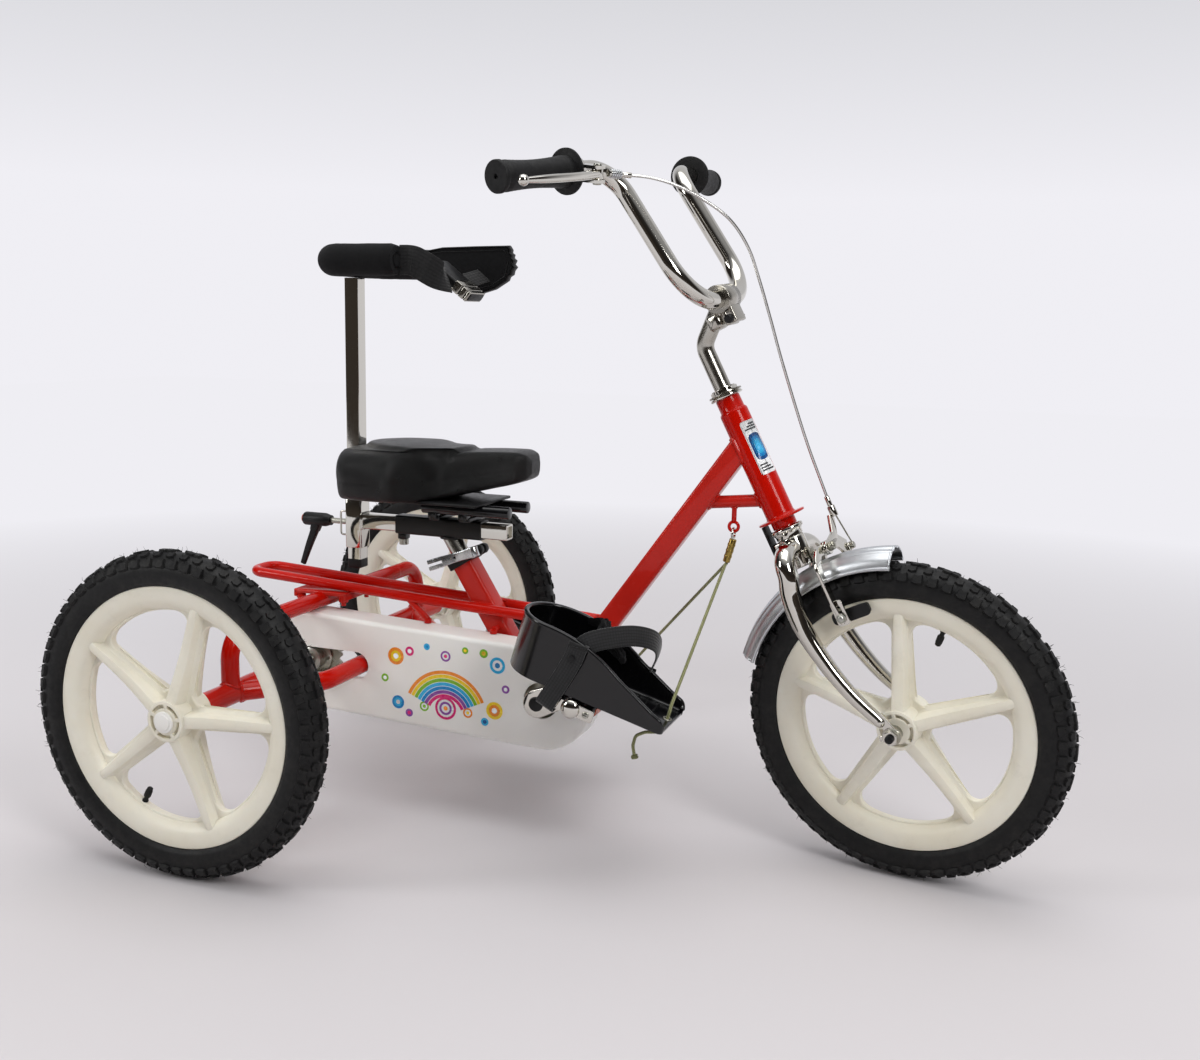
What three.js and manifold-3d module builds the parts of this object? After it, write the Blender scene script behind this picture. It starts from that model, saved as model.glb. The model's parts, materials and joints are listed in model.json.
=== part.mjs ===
// Adaptive tricycle for a child who needs support: two driven and free rear wheels, a steered front wheel,
// cup-shaped footplates on the pedals, a low saddle and a height-adjustable backrest with a chest belt.
// Units are millimetres. +X is the direction of travel, +Y the rider's left, +Z up.
import * as THREE from 'three';
import { mergeVertices } from 'three/addons/utils/BufferGeometryUtils.js';
import Module from 'manifold-3d';

const wasm = await Module();
wasm.setup();

// Fits and modelling allowances
const gap = 0.3;
const overrun = 4;
const sunk = 1;
const weldTolerance = 0.0001;
const degree = Math.PI / 180;
const bendStep = 24 * degree;
const nearlyParallel = 0.99;
const wheelFacets = 30;

// Layout of the whole tricycle
const wheelbase = 806;
const track = 680;
const headAngle = 27.3 * degree;
const steerAtRest = 10.5 * degree;
const forkRake = 37;

// Tyres and wheels
const tyreRadius = 201.5;
const tyreWidth = 54;
const treadHeight = 2.6;
const treadHalfAngle = 60 * degree;
const rimRadius = 160;
const rimWidth = 36;
const rimInnerRadius = 133;
const rimFlange = 4;
const rimWellRadius = 147;
const rimInnerWidth = 26;
const spokeCount = 5;
const webThickness = 8;
const webHalfWidth = 11;
const windowFillet = 22;
const windowHubFillet = 9;
const ribWidth = 10;
const ribChamfer = 2.5;
const ribEndRadius = 140;
const hubRadius = 25;
const hubSlotRadius = 18.5;
const hubSlotWidth = 4;
const hubSlotDepth = 6;
const hubSlotBridgeAngle = 14 * degree;
const capRadius = 13;
const capHeight = 4;
const rearHubWidth = 56;
const frontHubWidth = 68;
const rearWheelPhase = 2.7 * degree;
const rearValveAngle = 244 * degree;
const frontWheelPhase = 66.7 * degree;
const frontValveAngle = 44 * degree;
const valveRadius = 3.6;
const valveInnerRadius = 112;

// Axles and rear subframe
const rearAxleRadius = 8.5;
const frontAxleRadius = 4.8;
const housingRadius = 14.5;
const housingInnerY = 150;
const bearingFlange = 8;
const archTubeRadius = 11.5;
const archHalfWidth = 242;
const archBend = 38;
const bridgeTubeRadius = 12.5;
const bridgeForward = 78;
const bridgeBend = 50;
const bridgeFootY = 236;
const bridgeHalfWidth = 150;
const clampPlateLength = 84;
const clampPlateWidth = 76;
const clampPlateThickness = 3;
const clampBoltRadius = 6.5;
const clampBoltLength = 9;

// Main frame
const bracketX = 350;
const bracketZ = 186;
const bracketShellRadius = 21;
const bracketShellWidth = 68;
const downTubeWidth = 28;
const seatTubeWidth = 30;
const tubeCorner = 5;
const seatTubeTopX = 204.6;
const seatTubeTopZ = 352.6;
const seatTubeLean = 32.2 * degree;
const seatTubeLength = 214;
const railRadius = 7;
const railHalfSpacing = 25;
const railTailX = -121;
const railBend = 18;
const railHeightAtAxle = 302.6;
const railFall = 3.1 * degree;
const gussetTubeRadius = 8;
const gussetFallback = 44;
const gussetHeadZ = 324;
const eyeLength = 30;
const eyeWireRadius = 3.2;
const headTubeBottom = 275.6;
const headTubeTop = 449.4;
const headTubeRadius = 15.5;
const headSleeveRadius = 18;
const headSleeveTop = 430;
const stopRingRadius = 30;
const stopRingThickness = 3;
const stopRingZ = 286;
const downTubeHeadZ = 392;
const guardLugRadius = 5;

// Headset and fork
const steererRadius = 12.7;
const steererWall = 1.5;
const steererTop = 460;
const crownZ = 248;
const crownHeight = 18;
const crownRadius = 17;
const raceRadius = 21;
const raceHeight = 14;
const locknutRadius = 21;
const locknutHeight = 13;
const bladeSpacing = 100;
const bladeTopRadius = 12.5;
const bladeTipRadius = 7.5;
const dropoutThickness = 5;
const dropoutWidth = 22;

// Stem, handlebar, grips
const quillBottom = 350;
const stemBendZ = 520;
const barClampX = 49;
const barClampZ = 560;
const barClampRadius = 17.5;
const barClampWidth = 34;
const clampEarLength = 27;
const clampEarWidth = 14;
const clampEarHeight = 16;
const barRadius = 11;
const barKneeY = 83;
const barShoulderX = 25;
const barShoulderY = 85;
const barShoulderZ = 746;
const barEndX = -13;
const barEndY = 265;
const barEndZ = 753;
const barKneeBend = 57;
const barShoulderBend = 42;
const gripStartY = 157;
const gripFlangeRadius = 26;
const gripRadius = 18;
const gripEndRadius = 15.5;
const gripDiscRadius = 18;
const gripDiscThickness = 6;

// Front mudguard
const guardRidgeRadius = 220;
const guardEdgeRadius = 197;
const guardHalfWidth = 27;
const guardThickness = 1.8;
const guardFrontAngle = 68 * degree;
const guardRearAngle = 137 * degree;
const guardBeadRadius = 2.4;

// Caliper brake and lever
const caliperZ = 232;
const caliperBoltRadius = 4;
const caliperNutRadius = 8;
const caliperArmThickness = 4;
const caliperArmWidth = 11;
const caliperArmX = 34;
const caliperDomeX = 50;
const caliperReach = 44;
const caliperPadZ = 150;
const caliperCableY = 45;
const caliperBarrelZ = 268;
const caliperAnchorY = 57;
const caliperAnchorZ = 222;
const padClearance = 3.5;
const padThickness = 8;
const padLength = 46;
const padHeight = 13;
const leverPivotX = 40;
const leverPivotY = 152;
const leverPivotZ = 729;
const leverLength = 134;
const leverWidth = 11;
const leverThickness = 5;
const leverBallRadius = 7;
const leverClampWidth = 16;
const leverClampRadius = 15.5;
const cableRadius = 2.5;
const innerCableRadius = 1;

// Chain case and drive
const caseRadius = 67.5;
const caseNearY = 66;
const caseFarY = 22;
const caseWall = 3;
const caseEdge = 6;
const slotHalfHeight = 19;
const slotEndX = 75;
const slotLip = 12;
const caseBoreRadius = 24;
const chainPitch = 12.7;
const rearTeeth = 19;
const frontTeeth = 26;
const toothHeight = 3.4;
const sprocketThickness = 3;
const chainPlaneY = 44;
const chainWidth = 8;
const chainHeight = 5.4;
const sprocketDrumRadius = 17;
const sprocketDrumWidth = 44;
const spindleRadius = 8;
const crankLength = 100;
const crankAngle = 22.8 * degree;
const crankInnerY = 70;
const crankThickness = 12;
const crankBossRadius = 18.5;
const crankEyeRadius = 12;
const pedalSpindleRadius = 6;

// Pedals and footplates
const pedalInnerY = 105;
const pedalWidth = 90;
const pedalBarrelRadius = 9;
const pedalLength = 58;
const pedalHeight = 15;
const pedalCageThickness = 4;
const pedalBlockLength = 12;
const pedalDomeRadius = 12;
const pedalDomeHeight = 6;
const footPitch = 16 * degree;
const soleLift = 13.7;
const soleThickness = 4;
const footWall = 4;
const footHeel = 101;
const footToe = 113;
const footWidth = 90;
const heelWallHeight = 72;
const midWallHeight = 44;
const toeWallHeight = 16;
const strapWidth = 26;
const strapThickness = 2;
const strapRise = 9;
const strapU = 6;
const toeHoleRadius = 3.5;

// Seat, seat post and under-frame
const seatPostRadius = 12.5;
const seatPostDepth = 118;
const sleeveWidth = 25.4;
const sleeveWall = 2.1;
const sleeveRearX = 107;
const sleeveFrontX = 237;
const barZ = 392;
const setScrewX = 113.6;
const setScrewRadius = 4;
const setScrewHeadRadius = 6.5;
const setScrewLength = 16;
const collarHeight = 14;
const collarWall = 4;
const releaseLeverLength = 76;
const releaseLeverWidth = 14;
const releaseLeverThickness = 5;
const rodRadius = 8;
const rodSpacing = 60;
const rodRearX = 160;
const rodFrontX = 288;
const saddleRearX = 54.5;
const saddleLength = 257;
const saddleHalfWidth = 100;
const saddleTopZ = 497;
const saddleBottomZ = 431;
const rodZ = saddleBottomZ - rodRadius - gap;
const saddleCrown = 13;

// Backrest
const barWidth = 20.6;
const barFrontX = 274;
const uprightX = 40;
const uprightSleeveBottom = 354;
const uprightSleeveTop = 429;
const uprightBottomZ = 325;
const hoopRadius = 20.5;
const hoopZ = 746;
const hoopHalfWidth = 75;
const hoopBend = 32;
const hoopArmEndX = 148;
const postCapHeight = 8;
const clampHubX = -46;
const clampHubEndX = -2;
const clampHubRadius = 9.5;
const clampLeverReach = 66;
const clampLeverWidth = 9;
const clampLeverDepth = 13;
const clampStudRadius = 4;
const clampZ = 388;
const webbingWidth = 40;
const webbingThickness = 2.4;
const buckleLength = 74;
const buckleWidth = 44;
const buckleThickness = 13;
const padBeltHeight = 67;
const padBeltThickness = 9;

// Cords
const cordRadius = 2;
const cordClipTopZ = 410;

// Sizes of small pieces
const gripFlange = 4;
const leverPinRadius = 3;
const adjusterRadius = 4;
const adjusterLength = 22;
const axleWasher = 1.6;
const axleNutHeight = 8;
const axleNutRadius = 8;
const coneRadius = 9.5;
const caliperNutHeight = 6;
const caliperBarrelX = 46;
const barrelLength = 14;
const barrelRadius = 5;
const barrelBore = 3;
const stripX = -24;
const stripThickness = 4;
const stripWidth = 15;
const collarTop = 4;
const earReach = 9;
const releaseNutHeight = 6;
const camRadius = 6.5;
const releaseLeverFlare = 9;
const releaseLeverFall = 20 * degree;
const stapleRadius = 1.4;
const stapleReach = 8;
const buckleTilt = 52 * degree;
const padBeltEndX = 258;
const eyeRingRadius = 6;
const eyeWire = 2.2;
const clipRingRadius = 7;
const clipWireRadius = 1.6;
const crimpRadius = 5;
const crankFluteDepth = crankThickness / 4;
const quillRadius = steererRadius - steererWall - gap;
const guardLugX = 165;
const guardLugLength = 34;

// Shares of the sizes that each name stands by
const postBoreShare = 0.82;
const gussetFootShare = 0.45;
const eyeShare = 0.3;
const edgeShare = 0.3;
const domeShare = 0.55;
const heelShare = 0.55;
const midShare = 0.4;
const raceShare = 0.82;
const coneShare = 0.7;
const earShare = 0.75;
const crimpTiltShare = 0.4;
const leverTaperShare = 0.1;
const rootShare = 0.75;
const bladeTaperShare = 0.35;
const dropoutNeckShare = 0.7;
const stayDropShare = 0.06;
const limbShoulderShare = 0.6;
const limbDropShare = 0.3;
const eyeRingShare = 0.75;
const studShare = 1.9;
const earWidthShare = 0.75;
const stapleShare = 0.65;
const leverTipShare = 0.55;
const tongueShare = 0.9;
const bladeShares = [
  [0, 0.2, 1], [0, 0.66, 0.99], [0, 0.93, 0.95], [-0.04, 1, 0.88], [-0.22, 1, 0.8],
  [-0.3, 1, 0.63], [-0.08, 1, 0.43], [0.3, 1, 0.245], [0.81, 1, 0.085],
];
const guardArchShares = [[0, 0], [0.4, 0.12], [0.8, 0.5], [1, 1]];
const saddleShares = [
  [0, 0.66, 0.86, 0.12], [0.016, 0.78, 0.95, 0.03], [0.06, 0.91, 1, 0], [0.13, 0.99, 1.02, 0],
  [0.22, 1, 1.04, 0], [0.34, 0.88, 1.05, 0], [0.45, 0.68, 1.04, 0], [0.56, 0.49, 1.01, 0.08],
  [0.68, 0.37, 1.02, 0.2], [0.82, 0.31, 1.06, 0.36], [0.93, 0.27, 1.04, 0.48], [0.985, 0.2, 0.95, 0.58],
  [1, 0.12, 0.85, 0.66],
];
const saddleSectionShares = [
  [0, 1], [0.45, 1], [0.78, 0.95], [0.95, 0.8], [1, 0.55], [0.97, 0.2], [0.88, 0.02], [0.45, 0],
  [-0.45, 0], [-0.88, 0.02], [-0.97, 0.2], [-1, 0.55], [-0.95, 0.8], [-0.78, 0.95], [-0.45, 1],
];
const buckleShares = [0.9, 0.3, 0.4];
const webbingShares = [[0, 0, 0], [0.35, 0.04, 0.1], [0.7, 0.2, 0.4], [0.93, 0.55, 0.8], [1, 1, 1]];
const padShares = { low: 0.56, corner: 0.7, slant: 0.2, shoulder: 0.72 };

// Routes of the cable and the cords, point by point
const cableStart = new THREE.Vector3(51, -121, 723);
const cableRoute = [
  [71, -96, 708.5], [87.5, -76, 690], [102, -55, 664.5], [114, -36, 632], [114, -20, 596], [104.5, -6, 558.5],
  [92.5, 4, 510], [79.5, 13, 457], [60, 29, 365.5], [49, 42, 300],
];
const cordTop = [573.6, 2.6, 375.5];
const cordRouteRight = [
  [573.6, -2.6, 375.5], [551.5, -147, 229], [550.8, -150, 222.4], [545.2, -150, 203], [536, -150, 195],
  [521, -150, 193], [509, -150, 187], [506, -150, 174], [509, -150, 158],
];
const cordRouteLeft = [
  [573.6, 2.6, 375.5], [368, 147.5, 149.5], [366.4, 150, 144.9], [360.8, 150, 125.7], [352, 150, 118], [340, 150, 114],
];

const point = (x, y, z) => new THREE.Vector3(x, y, z);

// Indexed copy with merged corners and without collapsed triangles
function welded(geometry) {
  const bare = new THREE.BufferGeometry();
  bare.setAttribute('position', geometry.getAttribute('position').clone());
  if (geometry.index) {
    bare.setIndex(geometry.index.clone());
  }
  const merged = mergeVertices(bare, weldTolerance);
  const corners = merged.index.array;
  const kept = [];
  for (let i = 0; i < corners.length; i += 3) {
    const [a, b, c] = [corners[i], corners[i + 1], corners[i + 2]];
    if (a !== b && b !== c && c !== a) {
      kept.push(a, b, c);
    }
  }
  merged.setIndex(kept);
  return outward(merged);
}

// Faces turned so that the enclosed volume is positive
function outward(geometry) {
  const place = geometry.getAttribute('position');
  const corners = geometry.index.array;
  const [a, b, c] = [point(0, 0, 0), point(0, 0, 0), point(0, 0, 0)];
  let volume = 0;
  for (let i = 0; i < corners.length; i += 3) {
    a.fromBufferAttribute(place, corners[i]);
    b.fromBufferAttribute(place, corners[i + 1]);
    c.fromBufferAttribute(place, corners[i + 2]);
    volume += a.dot(b.cross(c));
  }
  if (volume < 0) {
    for (let i = 0; i < corners.length; i += 3) {
      [corners[i], corners[i + 1]] = [corners[i + 1], corners[i]];
    }
  }
  return geometry;
}

function toManifold(geometry) {
  const closed = welded(geometry);
  const vertProperties = new Float32Array(closed.getAttribute('position').array);
  const triVerts = new Uint32Array(closed.index.array);
  return new wasm.Manifold(new wasm.Mesh({ numProp: 3, vertProperties, triVerts }));
}

function toGeometry(solid) {
  const mesh = solid.getMesh();
  const geometry = new THREE.BufferGeometry();
  geometry.setAttribute('position', new THREE.BufferAttribute(new Float32Array(mesh.vertProperties), 3));
  geometry.setIndex(new THREE.BufferAttribute(new Uint32Array(mesh.triVerts), 1));
  return geometry;
}

const fused = (...pieces) => toGeometry(pieces.map(toManifold).reduce((whole, piece) => whole.add(piece)));
const cut = (base, ...tools) => toGeometry(
  tools.map(toManifold).reduce((whole, tool) => whole.subtract(tool), toManifold(base)),
);
const common = (a, b) => toGeometry(toManifold(a).intersect(toManifold(b)));

// Mirror image across the tricycle's middle plane
function mirrored(geometry) {
  return welded(geometry.clone().scale(1, -1, 1));
}

// Skin over rings with equal numbers of points, capped at both ends
function loft(rings) {
  const count = rings[0].length;
  const index = [];
  for (let i = 0; i < rings.length - 1; i += 1) {
    for (let j = 0; j < count; j += 1) {
      const k = (j + 1) % count;
      const [a, b] = [i * count + j, i * count + k];
      index.push(a, b, b + count, a, b + count, a + count);
    }
  }
  cap(rings[0], 0, -1, index);
  cap(rings[rings.length - 1], (rings.length - 1) * count, 1, index);
  const geometry = new THREE.BufferGeometry();
  const places = rings.flat().flatMap((p) => [p.x, p.y, p.z]);
  geometry.setAttribute('position', new THREE.BufferAttribute(new Float32Array(places), 3));
  geometry.setIndex(index);
  return welded(geometry);
}

function cap(ring, first, sense, index) {
  const normal = point(0, 0, 0);
  ring.forEach((p, i) => {
    const q = ring[(i + 1) % ring.length];
    normal.add(p.clone().cross(q));
  });
  normal.normalize();
  const side = Math.abs(normal.x) < Math.SQRT1_2 ? point(1, 0, 0) : point(0, 1, 0);
  const u = side.cross(normal).normalize();
  const v = normal.clone().cross(u);
  const flat = ring.map((p) => new THREE.Vector2(p.dot(u), p.dot(v)));
  for (const [a, b, c] of THREE.ShapeUtils.triangulateShape(flat, [])) {
    const area = flat[b].clone().sub(flat[a]).cross(flat[c].clone().sub(flat[a]));
    const turned = area * sense > 0;
    index.push(first + a, first + (turned ? b : c), first + (turned ? c : b));
  }
}

// Corner points of a path with its corners rounded to the given bend radii
function bent(corners, bends) {
  const path = [corners[0]];
  for (let i = 1; i < corners.length - 1; i += 1) {
    const bend = Array.isArray(bends) ? bends[i - 1] : bends;
    const into = corners[i].clone().sub(corners[i - 1]).normalize();
    const out = corners[i + 1].clone().sub(corners[i]).normalize();
    const turn = into.angleTo(out);
    const start = corners[i].clone().addScaledVector(into, -bend * Math.tan(turn / 2));
    const centre = corners[i].clone().addScaledVector(out.clone().sub(into).normalize(), bend / Math.cos(turn / 2));
    const axis = into.clone().cross(out).normalize();
    const steps = Math.max(2, Math.ceil(turn / bendStep));
    for (let step = 0; step <= steps; step += 1) {
      const spoke = start.clone().sub(centre).applyAxisAngle(axis, (turn * step) / steps);
      path.push(centre.clone().add(spoke));
    }
  }
  path.push(corners[corners.length - 1]);
  return path;
}

// Section carried along a path without twisting; sizeAt scales it at each point
function swept(path, section, hint = point(0, 0, 1), sizeAt = () => 1) {
  const tangents = path.map((p, i) => {
    const before = i ? p.clone().sub(path[i - 1]).normalize() : point(0, 0, 0);
    const after = i < path.length - 1 ? path[i + 1].clone().sub(p).normalize() : point(0, 0, 0);
    return before.add(after).normalize();
  });
  const aside = Math.abs(hint.dot(tangents[0])) > nearlyParallel ? point(hint.z, hint.x, hint.y) : hint;
  let across = aside.clone().cross(tangents[0]).normalize();
  const rings = path.map((p, i) => {
    const tangent = tangents[i];
    across = across.clone().addScaledVector(tangent, -across.dot(tangent)).normalize();
    const upward = tangent.clone().cross(across);
    const size = sizeAt(i, path.length);
    return section.map((s) => p.clone().addScaledVector(across, s.x * size).addScaledVector(upward, s.y * size));
  });
  return loft(rings);
}

function circleSection(radius, sides) {
  return Array.from({ length: sides }, (_, i) => {
    const turn = (2 * Math.PI * (i + 0.5)) / sides;
    return new THREE.Vector2(radius * Math.cos(turn), radius * Math.sin(turn));
  });
}

function boxSection(width, height, corner = 0) {
  const signs = [[1, 1], [-1, 1], [-1, -1], [1, -1]];
  return signs.flatMap(([sx, sy]) => {
    const [x, y] = [(sx * width) / 2, (sy * height) / 2];
    if (!corner) {
      return [new THREE.Vector2(x, y)];
    }
    const first = new THREE.Vector2(x, y - sy * corner);
    const second = new THREE.Vector2(x - sx * corner, y);
    return sx * sy > 0 ? [first, second] : [second, first];
  });
}

const tube = (path, radius, sides = 12) => swept(path, circleSection(radius, sides));
const rod = (from, to, radius, sides = 16) => tube([from, to], radius, sides);

// Solid of revolution about Y from a closed profile of [radius, along] pairs
function turnedAboutY(profile, segments) {
  const outline = [...profile, profile[0]].map(([radius, along]) => new THREE.Vector2(radius, along));
  return welded(new THREE.LatheGeometry(outline, segments));
}
const turnedAboutZ = (profile, segments) => turnedAboutY(profile, segments).rotateX(Math.PI / 2);
const turnedAboutX = (profile, segments) => turnedAboutY(profile, segments).rotateZ(-Math.PI / 2);

// Outline in the X-Z plane, thick along Y from y1 to y2
function slab(shape, y1, y2, curveSegments = 6) {
  const depth = Math.abs(y2 - y1);
  const plain = new THREE.ExtrudeGeometry(shape, { depth, bevelEnabled: false, curveSegments });
  return welded(plain.rotateX(Math.PI / 2).translate(0, Math.max(y1, y2), 0));
}

function block(x1, x2, y1, y2, z1, z2) {
  const plain = new THREE.BoxGeometry(x2 - x1, y2 - y1, z2 - z1);
  return welded(plain.translate((x1 + x2) / 2, (y1 + y2) / 2, (z1 + z2) / 2));
}

const outline = (pairs) => new THREE.Shape(pairs.map(([x, z]) => new THREE.Vector2(x, z)));

const paint = (color, roughness, metalness = 0) => () => new THREE.MeshStandardMaterial({ color, roughness, metalness });
const redPaint = paint(0xc21f12, 0.3);
const whitePlastic = paint(0xe9e7e2, 0.45);
const creamPlastic = paint(0xe6e2d2, 0.5);
const blackPlastic = paint(0x141414, 0.4);
const blackPaint = paint(0x121212, 0.35);
const blackRubber = paint(0x101010, 0.85);
const blackFoam = paint(0x0d0d0d, 0.95);
const blackFabric = paint(0x151515, 0.9);
const blackVinyl = paint(0x121212, 0.55);
const chromePlate = paint(0xd8d8d8, 0.12, 1);
const zincSteel = paint(0xb8b8b5, 0.35, 1);
const brushedAluminium = paint(0xc9cbcd, 0.3, 1);
const oliveElastic = paint(0x8a8a55, 0.8);

function add(group, name, geometry, finish) {
  geometry.computeVertexNormals();
  const mesh = new THREE.Mesh(geometry, finish());
  mesh.name = name;
  group.add(mesh);
  return mesh;
}

// Wheels: each stands in the X-Z plane about its own centre
const tyreHalf = tyreWidth / 2;
const tyreCentreRadius = tyreRadius - tyreHalf;
const rimChannelHalf = rimWidth / 2 - rimFlange;

function tyreWithValve(valveAngle, lowestAngle) {
  const carcass = tyreHalf - treadHeight;
  const seatRadius = rimRadius + gap;
  const seatAngle = Math.acos((seatRadius - tyreCentreRadius) / carcass);
  const around = (radius, angle) => [tyreCentreRadius + radius * Math.cos(angle), radius * Math.sin(angle)];
  const footHalf = rimChannelHalf - gap;
  const wallAngle = (seatAngle + treadHalfAngle) / 2;
  const half = [
    [rimWellRadius + gap, footHalf],
    [seatRadius, footHalf],
    around(carcass, seatAngle),
    around(carcass, wallAngle),
    around(carcass, treadHalfAngle),
    around(tyreHalf, treadHalfAngle),
    around(tyreHalf, treadHalfAngle / 3),
  ];
  const profile = [...half, [tyreRadius, 0], ...half.map(([r, y]) => [r, -y]).reverse()];
  const ring = turnedAboutY(profile, wheelFacets).rotateY(Math.PI / 2 - lowestAngle);
  const direction = point(Math.cos(valveAngle), 0, Math.sin(valveAngle));
  const stem = rod(
    direction.clone().multiplyScalar(rimWellRadius + gap + sunk),
    direction.clone().multiplyScalar(valveInnerRadius),
    valveRadius,
    8,
  );
  return fused(ring, stem);
}

// One window of the moulded wheel, between two spokes, about the direction +X
function windowShape() {
  const outer = rimInnerRadius - sunk;
  const inner = hubRadius + windowHubFillet;
  const halfPitch = Math.PI / spokeCount;
  const outerAngle = halfPitch - Math.asin(webHalfWidth / outer);
  const innerAngle = halfPitch - Math.asin(webHalfWidth / inner);
  const polar = (radius, angle) => new THREE.Vector2(radius * Math.cos(angle), radius * Math.sin(angle));
  const outerCorner = polar(outer, outerAngle);
  const innerCorner = polar(inner, innerAngle);
  const along = innerCorner.clone().sub(outerCorner).normalize();
  const arcAngle = outerAngle - windowFillet / outer;
  const shape = new THREE.Shape();
  const flip = (v) => new THREE.Vector2(v.x, -v.y);
  const leaveOuter = outerCorner.clone().addScaledVector(along, windowFillet);
  const reachInner = innerCorner.clone().addScaledVector(along, -windowHubFillet);
  const nose = new THREE.Vector2(inner * Math.cos(innerAngle / 2), 0);
  shape.absarc(0, 0, outer, -arcAngle, arcAngle, false);
  shape.quadraticCurveTo(outerCorner.x, outerCorner.y, leaveOuter.x, leaveOuter.y);
  shape.lineTo(reachInner.x, reachInner.y);
  shape.quadraticCurveTo(innerCorner.x, innerCorner.y, nose.x, 0);
  shape.quadraticCurveTo(innerCorner.x, -innerCorner.y, flip(reachInner).x, flip(reachInner).y);
  shape.lineTo(flip(leaveOuter).x, flip(leaveOuter).y);
  shape.quadraticCurveTo(outerCorner.x, -outerCorner.y, polar(outer, -arcAngle).x, polar(outer, -arcAngle).y);
  return shape;
}

function mouldedWheel(hubWidth, boreRadius, phase, valveAngle, lowestAngle) {
  const half = rimWidth / 2;
  const hubHalf = hubWidth / 2;
  const rim = turnedAboutY([
    [rimInnerRadius, -rimInnerWidth / 2], [rimRadius, -half],
    [rimRadius, -rimChannelHalf], [rimWellRadius, -rimChannelHalf],
    [rimWellRadius, rimChannelHalf], [rimRadius, rimChannelHalf],
    [rimRadius, half], [rimInnerRadius, rimInnerWidth / 2],
  ], wheelFacets).rotateY(Math.PI / 2 - lowestAngle);
  const hub = turnedAboutY([
    [boreRadius, -hubHalf], [hubRadius - ribChamfer, -hubHalf], [hubRadius, ribChamfer - hubHalf],
    [hubRadius, hubHalf - ribChamfer], [hubRadius - ribChamfer, hubHalf], [boreRadius, hubHalf],
  ], 15);
  const disc = new THREE.Shape();
  disc.absarc(0, 0, rimInnerRadius + sunk, 0, 2 * Math.PI, false);
  const web = slab(disc, -webThickness / 2, webThickness / 2, wheelFacets / 2);
  const windowTool = slab(windowShape(), -webThickness, webThickness, 2);
  const bore = rod(point(0, -webThickness, 0), point(0, webThickness, 0), boreRadius + sunk, 16);
  const valveDirection = point(Math.cos(valveAngle), 0, Math.sin(valveAngle));
  const valveHole = rod(
    valveDirection.clone().multiplyScalar(rimInnerRadius - overrun),
    valveDirection.clone().multiplyScalar(rimWellRadius + overrun),
    valveRadius + gap,
    8,
  );
  const slotDisc = new THREE.Shape();
  const slotOuter = hubSlotRadius + hubSlotWidth / 2;
  const slotInner = hubSlotRadius - hubSlotWidth / 2;
  const slotHalfAngle = Math.PI / spokeCount - hubSlotBridgeAngle / 2;
  slotDisc.absarc(0, 0, slotOuter, -slotHalfAngle, slotHalfAngle, false);
  slotDisc.absarc(0, 0, slotInner, slotHalfAngle, -slotHalfAngle, true);
  let body = toManifold(web);
  const pitch = (2 * Math.PI) / spokeCount;
  for (let i = 0; i < spokeCount; i += 1) {
    body = body.subtract(toManifold(windowTool.clone().rotateY(-(phase + pitch * (i + 1 / 2)))));
  }
  body = body.subtract(toManifold(bore)).add(toManifold(rim)).add(toManifold(hub));
  for (let i = 0; i < spokeCount; i += 1) {
    const rib = loft([
      boxSection(ribWidth, hubWidth - hubSlotWidth, ribChamfer).map((s) => point(hubRadius - hubSlotWidth, s.y, s.x)),
      boxSection(ribWidth, rimWidth - ribChamfer, ribChamfer).map((s) => point(ribEndRadius, s.y, s.x)),
    ]);
    body = body.add(toManifold(rib.rotateY(-(phase + pitch * i))));
    const slot = slab(slotDisc, -hubHalf - overrun, hubSlotDepth - hubHalf, 1).rotateY(-(phase + pitch * (i + 1 / 2)));
    body = body.subtract(toManifold(slot));
  }
  return toGeometry(body.subtract(toManifold(valveHole)));
}

function hubCap(side) {
  const inner = rearHubWidth / 2 + gap;
  const profile = [
    [0, inner], [capRadius, inner], [capRadius, inner + capHeight - ribChamfer / 2],
    [capRadius - ribChamfer, inner + capHeight], [0, inner + capHeight],
  ];
  return turnedAboutY(profile, 14).scale(1, side, 1);
}

// The tricycle, about the rear axle's middle over the floor
const tricycle = new THREE.Group();
const chassis = new THREE.Group();
tricycle.add(chassis);

const halfTrack = track / 2;
const axleZ = tyreRadius;

const downwards = -Math.PI / 2;
function rearWheel(label, side) {
  const place = (geometry) => welded(geometry.scale(1, side, 1)).translate(0, -side * halfTrack, axleZ);
  const rim = mouldedWheel(rearHubWidth, rearAxleRadius + gap, rearWheelPhase, rearValveAngle, downwards);
  add(chassis, `tyre_rear_${label}`, place(tyreWithValve(rearValveAngle, downwards)), blackRubber);
  add(chassis, `wheel_rear_${label}`, place(rim), creamPlastic);
  add(chassis, `hub_cap_${label}`, place(hubCap(-1)), whitePlastic);
}
rearWheel('right', 1);
rearWheel('left', -1);

const hubOuterY = halfTrack + rearHubWidth / 2;
const hubInnerY = halfTrack - rearHubWidth / 2;
const axle = point(0, 0, axleZ);
const alongY = (origin, y) => point(origin.x, y, origin.z);
add(chassis, 'rear_axle', rod(alongY(axle, -hubOuterY), alongY(axle, hubOuterY), rearAxleRadius, 20), zincSteel);

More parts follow.
